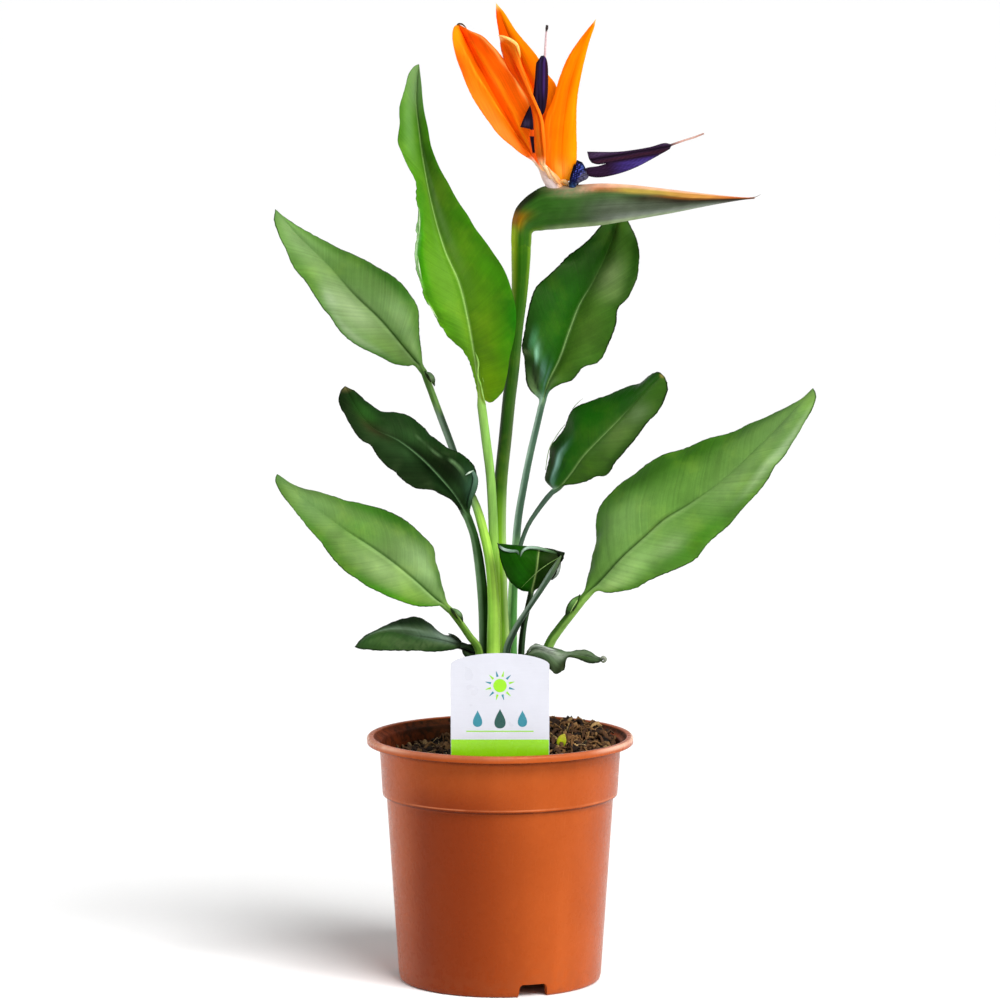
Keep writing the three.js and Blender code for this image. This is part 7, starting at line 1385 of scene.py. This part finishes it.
m = Nodes("terracotta_plastic")
pl = m.place()
fine_n = m.noise(pl, 1800.0, 3.0, 0.6)
mid_n = m.noise(pl, 160.0, 4.0, 0.55)
big_n = m.noise(pl, 14.0, 3.0, 0.5)
flow = m.noise(m.scaled(pl, (60.0, 60.0, 5.0)), 1.0, 3.0, 0.5)
scuff = m.noise(m.scaled(pl, (900.0, 900.0, 60.0), (3, 1, 2)), 1.0, 2.0, 0.4)
base = m.blend(m.ramp(big_n, 0.3, 0.7), lin((162, 72, 24)), lin((175, 81, 30)))
base = m.blend(m.ramp(flow, 0.35, 0.65, 0.0, 0.22), base, lin((152, 62, 12)))
base = m.blend(m.ramp(mid_n, 0.58, 0.74, 0.0, 0.12), base, lin((200, 100, 38)))
base = m.blend(m.ramp(scuff, 0.66, 0.8, 0.0, 0.12), base, lin((208, 120, 66)))
sep = m.add("ShaderNodeSeparateXYZ", {0: pl})
# painted shade: the wall is darker on the left of the front, most of all on the body below the collar
from_axis = m.math("SUBTRACT", sep.outputs["X"], AXIS_X * 0.001)
deep = m.math("MULTIPLY", m.ramp(from_axis, -0.070, -0.046), m.ramp(from_axis, -0.030, 0.046, 1.0, 0.0))
deep = m.math("MULTIPLY", m.math("MULTIPLY", deep, m.ramp(sep.outputs["Y"], 0.04, -0.03, 0.0, 1.0)), m.ramp(sep.outputs["Z"], 0.146, 0.118, 0.35, 1.0))
base = m.blend(m.math("MULTIPLY", deep, 0.86), base, lin((112, 34, 4)))
# painted shadow: dark lines just under the lip and just under the collar's step
line_low = m.math("MULTIPLY", m.ramp(sep.outputs["Z"], 0.1180, 0.1188), m.ramp(sep.outputs["Z"], 0.1202, 0.1198, 0.0, 1.0))
line_lip = m.math("MULTIPLY", m.ramp(sep.outputs["Z"], 0.1485, 0.1515), m.ramp(sep.outputs["Z"], 0.1530, 0.1526, 0.0, 1.0))
shadow_lines = m.math("MULTIPLY", m.math("MAXIMUM", line_low, line_lip), m.ramp(m.noise(pl, 60.0, 2.0), 0.3, 0.55, 0.55, 0.85))
base = m.blend(shadow_lines, base, lin((84, 24, 4)))
# painted highlight: a pale line along the lower edge of the collar
step_highlight = m.math("MULTIPLY", m.ramp(sep.outputs["Z"], 0.1204, 0.1208), m.ramp(sep.outputs["Z"], 0.1216, 0.1212, 0.0, 1.0))
base = m.blend(m.math("MULTIPLY", step_highlight, m.ramp(m.noise(pl, 40.0, 2.0), 0.35, 0.6, 0.1, 0.5)), base, lin((214, 130, 88)))
reach = m.math("SQRT", m.math("ADD", m.math("POWER", from_axis, 2.0), m.math("POWER", sep.outputs["Y"], 2.0)))
# painted highlight along the rim's top outer edge, strongest toward the left and right sides
rim_highlight = m.math("MULTIPLY", m.math("MULTIPLY", m.ramp(reach, 0.0828, 0.0846), m.ramp(sep.outputs["Z"], 0.1535, 0.1562)), m.ramp(m.noise(pl, 34.0, 3.0), 0.32, 0.6, 0.3, 0.9))
rim_highlight = m.math("MULTIPLY", rim_highlight, m.ramp(m.math("ABSOLUTE", from_axis), 0.052, 0.080, 0.16, 1.0))
base = m.blend(rim_highlight, base, lin((230, 188, 164)))
dusty = m.math("MULTIPLY", m.ramp(sep.outputs["Z"], 0.030, 0.0, 0.0, 0.30), m.ramp(mid_n, 0.35, 0.65))
base = m.blend(dusty, base, lin((132, 66, 36)))
# painted shade on the inside of the wall under the rim, lighter at the far left and far right and darkest in the
# middle, with darker smears of potting mix
smear = m.ramp(m.noise(pl, 220.0, 5.0, 0.7), 0.40, 0.62)
inner_shade = m.math("MULTIPLY", m.ramp(sep.outputs["Z"], 0.1570, 0.1560, 0.0, 1.0), m.math("ADD", 0.86, m.math("MULTIPLY", smear, 0.14)))
radial = m.math("SQRT", m.math("ADD", m.math("POWER", m.math("SUBTRACT", sep.outputs["X"], AXIS_X * 0.001), 2.0), m.math("POWER", sep.outputs["Y"], 2.0)))
wall = m.math("SUBTRACT", radial, m.math("MULTIPLY", m.math("SUBTRACT", sep.outputs["Z"], 0.12), 0.0719))
wall = m.math("SUBTRACT", wall, m.ramp(sep.outputs["Z"], 0.1518, 0.1562, 0.0, 0.0046))
inner_shade = m.math("MULTIPLY", inner_shade, m.math("MULTIPLY", m.ramp(wall, 0.0743, 0.0738), m.ramp(sep.outputs["Z"], 0.128, 0.136)))
base = m.blend(inner_shade, base, m.blend(m.math("MULTIPLY", smear, 0.6), m.blend(m.ramp(from_axis, -0.080, -0.046), lin((104, 38, 12)), m.blend(m.ramp(from_axis, 0.02, 0.07), lin((20, 6, 2)), lin((64, 28, 12)))), lin((18, 8, 4))))
rough = m.math("ADD", m.ramp(mid_n, 0.3, 0.7, 0.24, 0.33), m.ramp(scuff, 0.6, 0.8, 0.0, 0.12))
rough = m.math("ADD", rough, m.math("MULTIPLY", inner_shade, 0.4))
height = m.math("ADD", m.math("MULTIPLY", fine_n, 0.35), m.math("ADD", m.math("MULTIPLY", mid_n, 0.5), m.math("MULTIPLY", inner_shade, 1.5)))
p = m.principled(Base_Color=base, Roughness=rough, Normal=m.bump(height, 0.00022, 0.5))
p.inputs["Specular IOR Level"].default_value = 0.2
p.inputs["Specular Tint"].default_value = (1.0, 0.66, 0.4, 1.0)
cut.materials.append(m.finish(p.outputs[0]))

# ---------------------------------------------------------------- potting mix


def soil_height(x, y):
    lumps = 1.3 * np.sin(0.21 * x + 0.6) * np.cos(0.19 * y - 0.4) + 0.8 * np.sin(0.33 * x - 0.37 * y)
    heap = 6.5 * smooth(-8, 46, x) * smooth(-60, 42, y) - 2.5 * smooth(-10, -50, x)
    return 146 + 0.04 * x + 0.03 * y + lumps + heap


rng = np.random.RandomState(2024)
m = Nodes("potting_mix_grains")
tint = m.attr("tint", "Color")
pl = m.place()
n1, n2 = m.noise(pl, 900.0, 4.0, 0.65), m.noise(pl, 260.0, 4.0, 0.6)
n3 = m.noise(m.scaled(m.attr("lc"), (9.0, 2.0, 1.0)), 1.0, 4.0, 0.6)
gain = m.math("ADD", m.ramp(n1, 0.25, 0.75, 0.62, 1.32, False), m.ramp(n3, 0.3, 0.7, -0.22, 0.26, False))
col = m.gain(tint, gain)
col = m.blend(m.ramp(n2, 0.55, 0.72, 0.0, 0.35), col, lin((30, 18, 12)))
p = m.principled(Base_Color=col, Roughness=m.ramp(n1, 0.3, 0.7, 0.7, 0.95), Normal=m.bump(m.math("ADD", n1, m.math("MULTIPLY", n3, 0.8)), 0.0006, 0.9))
p.inputs["Specular IOR Level"].default_value = 0.25
MIX = m.finish(p.outputs[0])

rad_steps = np.concatenate([np.linspace(0, 66, 70)[1:], np.linspace(66, COLLAR_FOOT - WALL + 0.5, 14)[1:]])
SA = 240
th = 2 * math.pi * np.arange(SA) / SA
X, Y = rad_steps[:, None] * np.cos(th)[None], rad_steps[:, None] * np.sin(th)[None]
fine = 0.9 * wob2(X / 7, Y / 7, 501, 9) + 0.6 * wob2(X / 3.2, Y / 3.2, 503, 9) + 0.35 * wob2(X / 1.6, Y / 1.6, 505, 9)
Z = soil_height(X, Y) + fine * 0.8 - 0.8
top = np.stack([X, Y, Z], -1)[::-1]
foot = FLOOR_TOP + 0.3
sidewall = [(59.6, foot), (BODY_FOOT - WALL - 0.2, foot + 4.2), (BODY_TOP - WALL - 0.4, COLLAR_FOOT_Z - 4), (BODY_TOP - WALL - 0.1, COLLAR_FOOT_Z - 1), (COLLAR_FOOT - WALL - 0.5, COLLAR_FOOT_Z + 2.6)]
walls = np.stack([np.stack([r * np.cos(th), r * np.sin(th), np.full(SA, z)], -1) for r, z in sidewall])
G = np.concatenate([walls, top])
quads, tris = tube_faces(len(G), SA)
t = np.broadcast_to(lin((44, 29, 19)), G.shape) * (1 + 0.35 * wob2(G[..., 0] / 6, G[..., 1] / 6, 507))[..., None]
# painted shade: the mix is darker toward the left and lighter toward the right
right_back = smooth(-20, 40, G[..., 0])
t = mix(t, np.broadcast_to(lin((78, 54, 34)), G.shape), right_back * 0.5)
lc = np.stack([G[..., 0] / 10, G[..., 1] / 10, G[..., 2] / 10], -1)
V = capped(G, [[0, 0, foot], [0, 0, float(soil_height(0, 0)) - 0.8]])
make("soil", V, quads, tris, {"tint": np.clip(capped(t, [t[0, 0], t[-1, 0]]), 0, 1), "lc": capped(lc, [lc[0].mean(0), lc[-1].mean(0)])}, [MIX], ("soil",))


def icosphere(level):
    g = (1 + math.sqrt(5)) / 2
    V = [(-1, g, 0), (1, g, 0), (-1, -g, 0), (1, -g, 0), (0, -1, g), (0, 1, g), (0, -1, -g), (0, 1, -g), (g, 0, -1), (g, 0, 1), (-g, 0, -1), (-g, 0, 1)]
    F = [(0, 11, 5), (0, 5, 1), (0, 1, 7), (0, 7, 10), (0, 10, 11), (1, 5, 9), (5, 11, 4), (11, 10, 2), (10, 7, 6), (7, 1, 8), (3, 9, 4), (3, 4, 2), (3, 2, 6), (3, 6, 8), (3, 8, 9), (4, 9, 5), (2, 4, 11), (6, 2, 10), (8, 6, 7), (9, 8, 1)]
    V = [np.array(v, float) / np.linalg.norm(v) for v in V]
    for _ in range(level):
        seen, G = {}, []

        def middle(a, b):
            key = (min(a, b), max(a, b))
            if key not in seen:
                v = V[a] + V[b]
                V.append(v / np.linalg.norm(v))
                seen[key] = len(V) - 1
            return seen[key]

        for a, b, c in F:
            ab, bc, ca = middle(a, b), middle(b, c), middle(c, a)
            G += [(a, ab, ca), (b, bc, ab), (c, ca, bc), (ab, bc, ca)]
        F = G
    return np.array(V), np.array(F)


def turned(n, flatten=1.0):
    """Random turns, mostly lying down when flatten is small."""
    yaw = rng.rand(n) * 2 * math.pi
    tilt = rng.randn(n) * 0.9 * flatten
    roll = rng.randn(n) * 0.9 * flatten
    out = np.zeros((n, 3, 3))
    for i in range(n):
        out[i] = np.array(Matrix.Rotation(yaw[i], 3, "Z") @ Matrix.Rotation(tilt[i], 3, "X") @ Matrix.Rotation(roll[i], 3, "Y"))
    return out


def crumbs(name, n, sizes, stretch, tones, flatten, level, sink, edge=73.0, where=None, rough=0.22):
    base, faces = icosphere(level)
    r = edge * np.sqrt(rng.rand(n * 4))
    a = rng.rand(n * 4) * 2 * math.pi
    x, y = r * np.cos(a), r * np.sin(a)
    ok = np.ones(n * 4, bool)
    if where is not None:
        ok &= rng.rand(n * 4) < where(x, y)
    ok &= ~((np.abs(x) < 33) & (np.abs(y - CARD_Y) < 2.2))
    for px_, py_, pr_ in STEM_FEET:
        ok &= np.hypot(x - px_, y - py_) > pr_ + 0.4
    x, y = x[ok][:n], y[ok][:n]
    n = len(x)
    size = sizes[0] + (sizes[1] - sizes[0]) * rng.rand(n) ** 2.2
    size = np.minimum(size, np.maximum(edge + 1.0 - np.hypot(x, y), 0.8))
    scale = np.column_stack([size, size * (stretch[0] + (1 - stretch[0]) * rng.rand(n)), size * (stretch[1] + 0.25 * rng.rand(n))]) / 2
    R = turned(n, flatten)
    nv = len(base)
    lump = (1 + rough * rng.randn(n, nv)) * lumpy(base, n, int(1000 * sizes[1]) + level, 0.30 if level else 0.0)
    # chunky faces: push the sphere towards a box
    boxy = base / np.maximum(np.abs(base).max(1, keepdims=True), 1e-6)
    shape = base * 0.62 + boxy * 0.38
    P = shape[None] * lump[..., None] * scale[:, None]
    P = np.einsum("nij,nvj->nvi", R, P)
    z = soil_height(x, y) - 0.6 + scale[:, 2] * sink
    P += np.column_stack([x, y, z])[:, None]
    T = (faces[None] + (np.arange(n) * nv)[:, None, None]).reshape(-1, 3)
    pick = rng.choice(len(tones), n, p=np.array([w for _, w in tones]) / sum(w for _, w in tones))
    # painted shade: grains toward the left of the pot are darker
    tint = np.array([lin(c) for c, _ in tones])[pick] * (0.6 + 0.5 * rng.rand(n))[:, None] * (1 - 0.45 * smooth(0, -40, x))[:, None]
    tint = np.repeat(tint[:, None], nv, 1)
    lc = np.einsum("v,n->nv", np.ones(nv), rng.rand(n) * 50)[..., None] + (base * 2.0)[None]
    return P.reshape(-1, 3), None, T, {"tint": np.clip(tint.reshape(-1, 3), 0, 1), "lc": lc.reshape(-1, 3)}


STEM_FEET = [(d["stalk"][1][0], d["stalk"][1][1], d["stalk"][1][3]) for d in LEAVES.values()] + [(YOUNG_LEAF[1][0], YOUNG_LEAF[1][1], YOUNG_LEAF[1][3]), (SCAPE[1][0], SCAPE[1][1], SCAPE[1][3])]
BARK = [((78, 50, 30), 4), ((104, 72, 42), 2.6), ((54, 34, 20), 4.5), ((136, 100, 60), 1.2), ((28, 18, 12), 5), ((160, 128, 86), 0.4), ((88, 82, 60), 0.6)]
DARK = [((34, 22, 14), 5), ((52, 34, 22), 4), ((22, 14, 10), 4), ((78, 54, 34), 1.5), ((112, 86, 56), 0.6)]
heavier = lambda x, y: 0.18 + 0.82 * smooth(-34, 24, x + 0.3 * y)


def lumpy(v, n, seed, power):
    """Low, coherent swellings over a set of directions, one set for each of n lumps."""
    r = np.random.RandomState(seed)
    out = np.zeros((n, len(v)))
    for k in range(6):
        d = r.randn(n, 3)
        d /= np.linalg.norm(d, axis=1, keepdims=True)
        f = 1.2 + 2.4 * r.rand(n, 1)
        out += np.sin(f * (d @ v.T) * 2.2 + 6.3 * r.rand(n, 1))
    return 1 + power * out / 3


def shavings(n, seed, tones, long_range, wide_range, edge=72.0, where=None):
    """Curled, twisted strips of bark and coir lying on the mix."""
    r = np.random.RandomState(seed)
    out = []
    while len(out) < n:
        q, a = edge * math.sqrt(r.rand()), r.rand() * 2 * math.pi
        x, y = q * math.cos(a), q * math.sin(a)
        if where is not None and r.rand() > where(x, y):
            continue
        if abs(x) < 33 and abs(y - CARD_Y) < 4 or any(math.hypot(x - a_, y - b_) < c_ + 1.5 for a_, b_, c_ in STEM_FEET):
            continue
        long = long_range[0] + (long_range[1] - long_range[0]) * r.rand() ** 1.5
        wide = wide_range[0] + (wide_range[1] - wide_range[0]) * r.rand()
        heading, bend = r.rand() * 2 * math.pi, r.randn() * 1.3
        lift, hump, k_n, m_n = r.rand() * 1.8, (r.rand() * 2.2 + 0.4) * 1.2, 12, 6
        s = np.linspace(-0.5, 0.5, k_n)
        h = heading + bend * s
        px_ = x + np.cumsum(np.cos(h)) * long / k_n - np.sum(np.cos(h)) * long / k_n / 2
        py_ = y + np.cumsum(np.sin(h)) * long / k_n - np.sum(np.sin(h)) * long / k_n / 2
        rr_ = np.hypot(px_, py_)
        shrink = np.minimum(1, (edge + 1.5) / np.maximum(rr_, 1))
        px_, py_ = px_ * shrink, py_ * shrink
        pz_ = soil_height(px_, py_) + lift + hump * np.cos(math.pi * s) ** 2 + 0.3 * r.randn(k_n)
        C = np.stack([px_, py_, pz_], 1)
        T = tangents(C)
        A = unit(np.cross(T, np.array([0, 0, 1.0])))
        U = np.cross(A, T)
        turn = 0.9 * r.randn() + 1.6 * r.randn() * s
        A2 = A * np.cos(turn)[:, None] + U * np.sin(turn)[:, None]
        U2 = np.cross(A2, T)
        ang_ = -2 * math.pi * np.arange(m_n) / m_n
        w_ = wide / 2 * (1 - (2 * np.abs(s)) ** 3 * 0.75) * (1 + 0.18 * r.randn(k_n))
        th_ = 0.35 + 0.45 * r.rand()
        P = C[:, None] + A2[:, None] * (np.cos(ang_)[None] * w_[:, None])[..., None] + U2[:, None] * (np.sin(ang_) * th_ + (np.cos(ang_) ** 2) * wide * 0.22)[None, :, None]
        quads, tris = tube_faces(k_n, m_n)
        # painted shade: strips toward the left of the pot are darker
        tone_ = lin(tones[r.choice(len(tones), p=np.array([w for _, w in tones]) / sum(w for _, w in tones))][0]) * (0.65 + 0.5 * r.rand()) * (1 - 0.5 * smooth(0, -40, x))
        V = capped(P, [C[0], C[-1]])
        out.append((V, quads, tris, {"tint": np.clip(np.broadcast_to(tone_, V.shape), 0, 1).copy(), "lc": np.column_stack([V[:, 0] / 3, V[:, 1] / 3, V[:, 2] / 3])}))
    return out


parts = [
    crumbs("bark", 260, (3.0, 8.0), (0.45, 0.4), BARK, 0.6, 2, 0.25, where=heavier, rough=0.06),
    crumbs("chips", 720, (1.6, 4.4), (0.45, 0.4), BARK, 0.9, 1, 0.4, where=heavier, rough=0.06),
]
P_, Q_, T_, A_ = joined(parts)
make("soil_bark", P_, Q_, T_, A_, [MIX], ("soil",))
TAN = [((112, 78, 44), 3), ((144, 106, 64), 2.6), ((176, 142, 92), 1.2), ((80, 52, 30), 3.4), ((44, 28, 18), 3)]
P_, Q_, T_, A_ = joined(shavings(620, 77, TAN, (6, 15), (1.2, 3.2), where=heavier))
make("soil_shavings", P_, Q_, T_, A_, [MIX], ("soil",))
parts = [crumbs("peat", 3700, (0.7, 2.4), (0.6, 0.5), DARK, 1.5, 0, 0.8, rough=0.2)]
P_, Q_, T_, A_ = joined(parts)
make("soil_grains", P_, Q_, T_, A_, [MIX], ("soil",), flat=True)
# a scrap of yellow-green leaf in the mix
gx_, gy_ = YELLOW_BIT[0], YELLOW_BIT[1]
gz_ = float(soil_height(gx_, gy_))
P_, Q_, T_, A_ = ribbon([[gx_ - 1.5, gy_ - 1, gz_ - 0.5, 1.6], [gx_ - 0.6, gy_ - 0.4, gz_ + 3.0, 3.0], [gx_ + 0.4, gy_ + 0.6, gz_ + 6.2, 2.6], [gx_ + 1.6, gy_ + 1.2, gz_ + 8.6, 0.6]],
                        [(0, (120, 130, 20)), (0.5, (178, 190, 30)), (1, (196, 184, 70))], rings=30, thick=0.35, curl=0.25, seed=3)
make("soil_leaf_scrap", P_, Q_, T_, A_, [LIGHT_GREEN], ("soil",))


def fibres(n):
    out = []
    for _ in range(n):
        r, a = 70 * math.sqrt(rng.rand()), rng.rand() * 2 * math.pi
        x, y = r * math.cos(a), r * math.sin(a)
        if abs(x) < 34 and abs(y - CARD_Y) < 3:
            continue
        heading = rng.rand() * 2 * math.pi
        long, bend = 5 + 12 * rng.rand(), rng.randn() * 0.9
        pts, z0 = [], 0.6 + 1.5 * rng.rand()
        for k in range(5):
            f_ = k / 4
            h = heading + bend * f_
            qx, qy = x + long * f_ * math.cos(h), y + long * f_ * math.sin(h)
            q = math.hypot(qx, qy)
            if q > 72.5:
                qx, qy = qx * 72.5 / q, qy * 72.5 / q
            pts.append((qx, qy, float(soil_height(qx, qy)) + z0 * math.sin(math.pi * f_) + 0.2 + 0.3 * rng.randn(), 0.10 + 0.14 * rng.rand()))
        V, Q, TR, path = round_stem(pts, 10, 5)
        tone_ = lin([(150, 118, 80), (104, 76, 50), (176, 150, 110), (70, 48, 32)][rng.randint(4)])
        out.append((V, Q, TR, {"tint": np.broadcast_to(tone_, V.shape).copy(), "lc": V / 10}))
    return out


P_, Q_, T_, A_ = joined(fibres(260))
make("soil_fibres", P_, Q_, T_, A_, [MIX], ("soil",))

# ---------------------------------------------------------------- label


def plate(outline, y0, y1, bevel=0.0):
    """A flat plate in the card's plane from a closed outline of (x, z), front face at y0."""
    O = np.array(outline, float)
    n = len(O)
    area = np.sum(O[:, 0] * np.roll(O[:, 1], -1) - O[:, 1] * np.roll(O[:, 0], -1))
    if area < 0:
        O = O[::-1]
    t_ = unit(np.roll(O, -1, 0) - np.roll(O, 1, 0))
    inner_ = O - np.column_stack([t_[:, 1], -t_[:, 0]]) * bevel
    rings = [(inner_, y0), (O, y0 + bevel), (O, y1 - bevel), (inner_, y1)] if bevel else [(O, y0), (O, y1)]
    V = np.vstack([np.column_stack([r[:, 0], np.full(n, y), r[:, 1]]) for r, y in rings])
    k = np.arange(n)
    quads = np.vstack([np.stack([i * n + k, (i + 1) * n + k, (i + 1) * n + (k + 1) % n, i * n + (k + 1) % n], 1) for i in range(len(rings) - 1)])
    tess = geometry.tessellate_polygon([[Vector((float(p[0]), float(p[1]), 0)) for p in rings[0][0]]])
    T = np.array([list(f) for f in tess], int)
    P2 = rings[0][0]
    a_ = (P2[T[:, 1], 0] - P2[T[:, 0], 0]) * (P2[T[:, 2], 1] - P2[T[:, 0], 1]) - (P2[T[:, 2], 0] - P2[T[:, 0], 0]) * (P2[T[:, 1], 1] - P2[T[:, 0], 1])
    T = np.where((a_ < 0)[:, None], T[:, ::-1], T)
    return V, quads, np.vstack([T, (T + (len(rings) - 1) * n)[:, ::-1]])


w, k_, corner = CARD_W / 2, STAKE_W / 2, 3.0
arc_x = np.linspace(w, -w, 61)[1:-1]
crown = [(x, CARD_SHOULDER + (CARD_CROWN - CARD_SHOULDER) * (1 - (x / w) ** 2) ** 0.62) for x in arc_x]
round_corner = lambda cx, cz, a0, a1: [(cx + corner * math.cos(math.radians(a)), cz + corner * math.sin(math.radians(a))) for a in np.linspace(a0, a1, 9)]
card = [(0, STAKE_FOOT), (k_ * 0.75, STAKE_FOOT + 8), (k_, STAKE_FOOT + 14), (k_, CARD_FOOT - 4), (k_ + 1, CARD_FOOT - 1.6), (k_ + 4, CARD_FOOT)]
card += round_corner(w - corner, CARD_FOOT + corner, -90, 0) + [(w, CARD_SHOULDER)] + crown + [(-w, CARD_SHOULDER)] + round_corner(-w + corner, CARD_FOOT + corner, 180, 270)
card += [(-k_ - 4, CARD_FOOT), (-k_ - 1, CARD_FOOT - 1.6), (-k_, CARD_FOOT - 4), (-k_, STAKE_FOOT + 14), (-k_ * 0.75, STAKE_FOOT + 8)]


def label_material(name, colour, rough):
    m = Nodes(name)
    pl = m.place()
    n1, n2 = m.noise(pl, 2600.0, 2.0, 0.5), m.noise(pl, 60.0, 3.0, 0.5)
    fibre = m.noise(m.scaled(pl, (120.0, 400.0, 1600.0)), 1.0, 3.0, 0.6)
    col = m.gain(lin(colour), m.math("ADD", m.ramp(n2, 0.3, 0.7, 0.965, 1.02, False), m.ramp(fibre, 0.3, 0.7, -0.015, 0.015, False)))
    p = m.principled(Base_Color=col, Roughness=m.ramp(n2, 0.3, 0.7, rough - 0.05, rough + 0.06), Normal=m.bump(m.math("ADD", n1, fibre), 0.00008, 0.35))
    p.inputs["Specular IOR Level"].default_value = 0.5
    return m.finish(p.outputs[0])


CARD = label_material("label_card_white", (196, 197, 206), 0.32)
LIME = label_material("label_lime", (138, 204, 8), 0.28)
TEAL = label_material("label_teal", (36, 122, 138), 0.28)
DEEP_INK = label_material("label_green_ink", (10, 70, 62), 0.28)
y0 = CARD_Y - CARD_THICK / 2
V, Q, T = plate(card, y0, CARD_Y + CARD_THICK / 2, 0.18)
parts, index = [(V, Q, T, {})], [(len(Q), len(T), 0)]


def ink(outline, colour, raise_=0.05):
    V, Q, T = plate(outline, y0 - raise_, y0 + 0.2)
    parts.append((V, Q, T, {}))
    index.append((len(Q), len(T), colour))


band = [(w - corner - 0.2, CARD_FOOT + 0.25)] + [(x - (0.25 if x > 0 else 0), z) for x, z in round_corner(w - corner, CARD_FOOT + corner, -80, 0)]
band = [(-x, z) for x, z in band[::-1]] + band + [(w - 0.25, 165.0), (-w + 0.25, 165.0)]
band = [(x, z) for x, z in band]
ink(band, 1, 0.04)
disc = lambda cx, cz, r, n=48, a0=0, a1=360: [(cx + r * math.cos(math.radians(a)), cz + r * math.sin(math.radians(a))) for a in np.linspace(a0, a1, n, endpoint=a1 - a0 < 360)]
SUN_Z = 199.0
ink(disc(0, SUN_Z, 4.2), 1)
for i in range(12):
    a = math.radians(i * 30 + 15)
    c_, s_ = math.cos(a), math.sin(a)
    at_ = lambda r, o: (r * c_ - o * s_, SUN_Z + r * s_ + o * c_)
    ink([at_(5.8, -0.75), at_(9.2, -0.18), at_(9.5, 0.0), at_(9.2, 0.18), at_(5.8, 0.75)], 2 if i % 2 else 1)


def drop(cx, cz, s, colour):
    pts = [(cx + s * math.sin(a) * math.sin(a / 2) ** 1.5, cz + s * 1.25 * math.cos(a)) for a in np.linspace(0, 2 * math.pi, 44, endpoint=False)]
    ink(pts, colour)


for i, x in enumerate((-14.0, 0.0, 14.0)):
    drop(x, 178.2, 5.0 if i == 1 else 4.2, (2, 3, 2)[i])
for z, half_w in ((170.2, 21.0),):
    ink([(-half_w, z - 0.35), (half_w, z - 0.35), (half_w, z + 0.35), (-half_w, z + 0.35)], 1)
P_, Q_, T_, _ = joined(parts)
order = [i for q, t, i in index for _k in range(q)] + [i for q, t, i in index for _k in range(t)]
label = make("plant_label", P_, Q_, T_, {}, [CARD, LIME, TEAL, DEEP_INK], ("plant_label",), indices=order)
label.data.set_sharp_from_angle(angle=math.radians(30))


# ---------------------------------------------------------------- floor, light and camera
scene = bpy.context.scene
scene.view_settings.view_transform = "Standard"
scene.view_settings.look = "None"
scene.view_settings.exposure = 0.0
scene.view_settings.gamma = 1.0

m = Nodes("studio_floor")
pl = m.place()
grain = m.noise(pl, 240.0, 3.0, 0.6)
col = m.blend(m.ramp(grain, 0.3, 0.7), lin((252, 252, 252)), lin((253, 253, 253)))
p = m.principled(Base_Color=col, Roughness=m.ramp(grain, 0.3, 0.7, 0.86, 0.94), Normal=m.bump(grain, 0.0001, 0.2))
p.inputs["Specular IOR Level"].default_value = 0.15
FLOOR = m.finish(p.outputs[0])
me = bpy.data.meshes.new("floor")
e = 120.0
me.from_pydata([(-e, -e, 0), (e, -e, 0), (e, e, 0), (-e, e, 0)], [], [(0, 1, 2, 3)])
me.update()
me.materials.append(FLOOR)
floor = bpy.data.objects.new("floor", me)
scene.collection.objects.link(floor)

world = bpy.data.worlds.new("studio")
scene.world = world
world.use_nodes = True
bg = world.node_tree.nodes["Background"]
bg.inputs[0].default_value = (1.0, 1.0, 1.0, 1.0)
# a bright band along the horizon, softer light from above
wt = world.node_tree
way = wt.nodes.new("ShaderNodeTexCoord")
parts = wt.nodes.new("ShaderNodeSeparateXYZ")
fade = wt.nodes.new("ShaderNodeMapRange")
fade.interpolation_type = "SMOOTHSTEP"
for k, v in ((1, 0.12), (2, 0.20), (3, 1.03), (4, 0.31)):
    fade.inputs[k].default_value = v
wt.links.new(way.outputs["Generated"], parts.inputs[0])
wt.links.new(parts.outputs["Z"], fade.inputs[0])
wt.links.new(fade.outputs[0], bg.inputs[1])


def area(name, where, look_at, size, power, colour=(1, 1, 1)):
    l = bpy.data.lights.new(name, "AREA")
    l.shape = "RECTANGLE"
    l.size, l.size_y = size
    l.energy = power
    l.color = colour
    o = bpy.data.objects.new(name, l)
    o.location = where
    o.rotation_mode = "QUATERNION"
    o.rotation_quaternion = (Vector(look_at) - Vector(where)).to_track_quat("-Z", "Y")
    scene.collection.objects.link(o)
    return o


area("key_right", (1.3, -1.2, 1.1), (-0.02, 0, 0.3), (0.45, 1.2), 13.0, (1.0, 0.99, 0.97))
area("edge_left", (-1.5, 0.25, 0.6), (-0.02, 0, 0.3), (0.30, 1.2), 6.0, (0.98, 0.99, 1.0))
sun = bpy.data.lights.new("sun", "SUN")
sun.energy = 3.05
sun.angle = math.radians(34)
o = bpy.data.objects.new("sun", sun)
o.rotation_mode = "QUATERNION"
o.rotation_quaternion = Vector((-0.40, 0.62, -0.84)).to_track_quat("-Z", "Y")
scene.collection.objects.link(o)

cam = bpy.data.cameras.new("camera")
cam.sensor_width = 36.0
cam.lens = 171.18
camera = bpy.data.objects.new("camera", cam)
camera.location = (-0.0251, -3.0, 0.6461)
camera.rotation_mode = "QUATERNION"
camera.rotation_quaternion = (Vector((-0.0251, 0, 0.308)) - Vector(camera.location)).to_track_quat("-Z", "Y")
scene.collection.objects.link(camera)
scene.camera = camera


# ---------------------------------------------------------------- finish
bpy.context.view_layer.update()
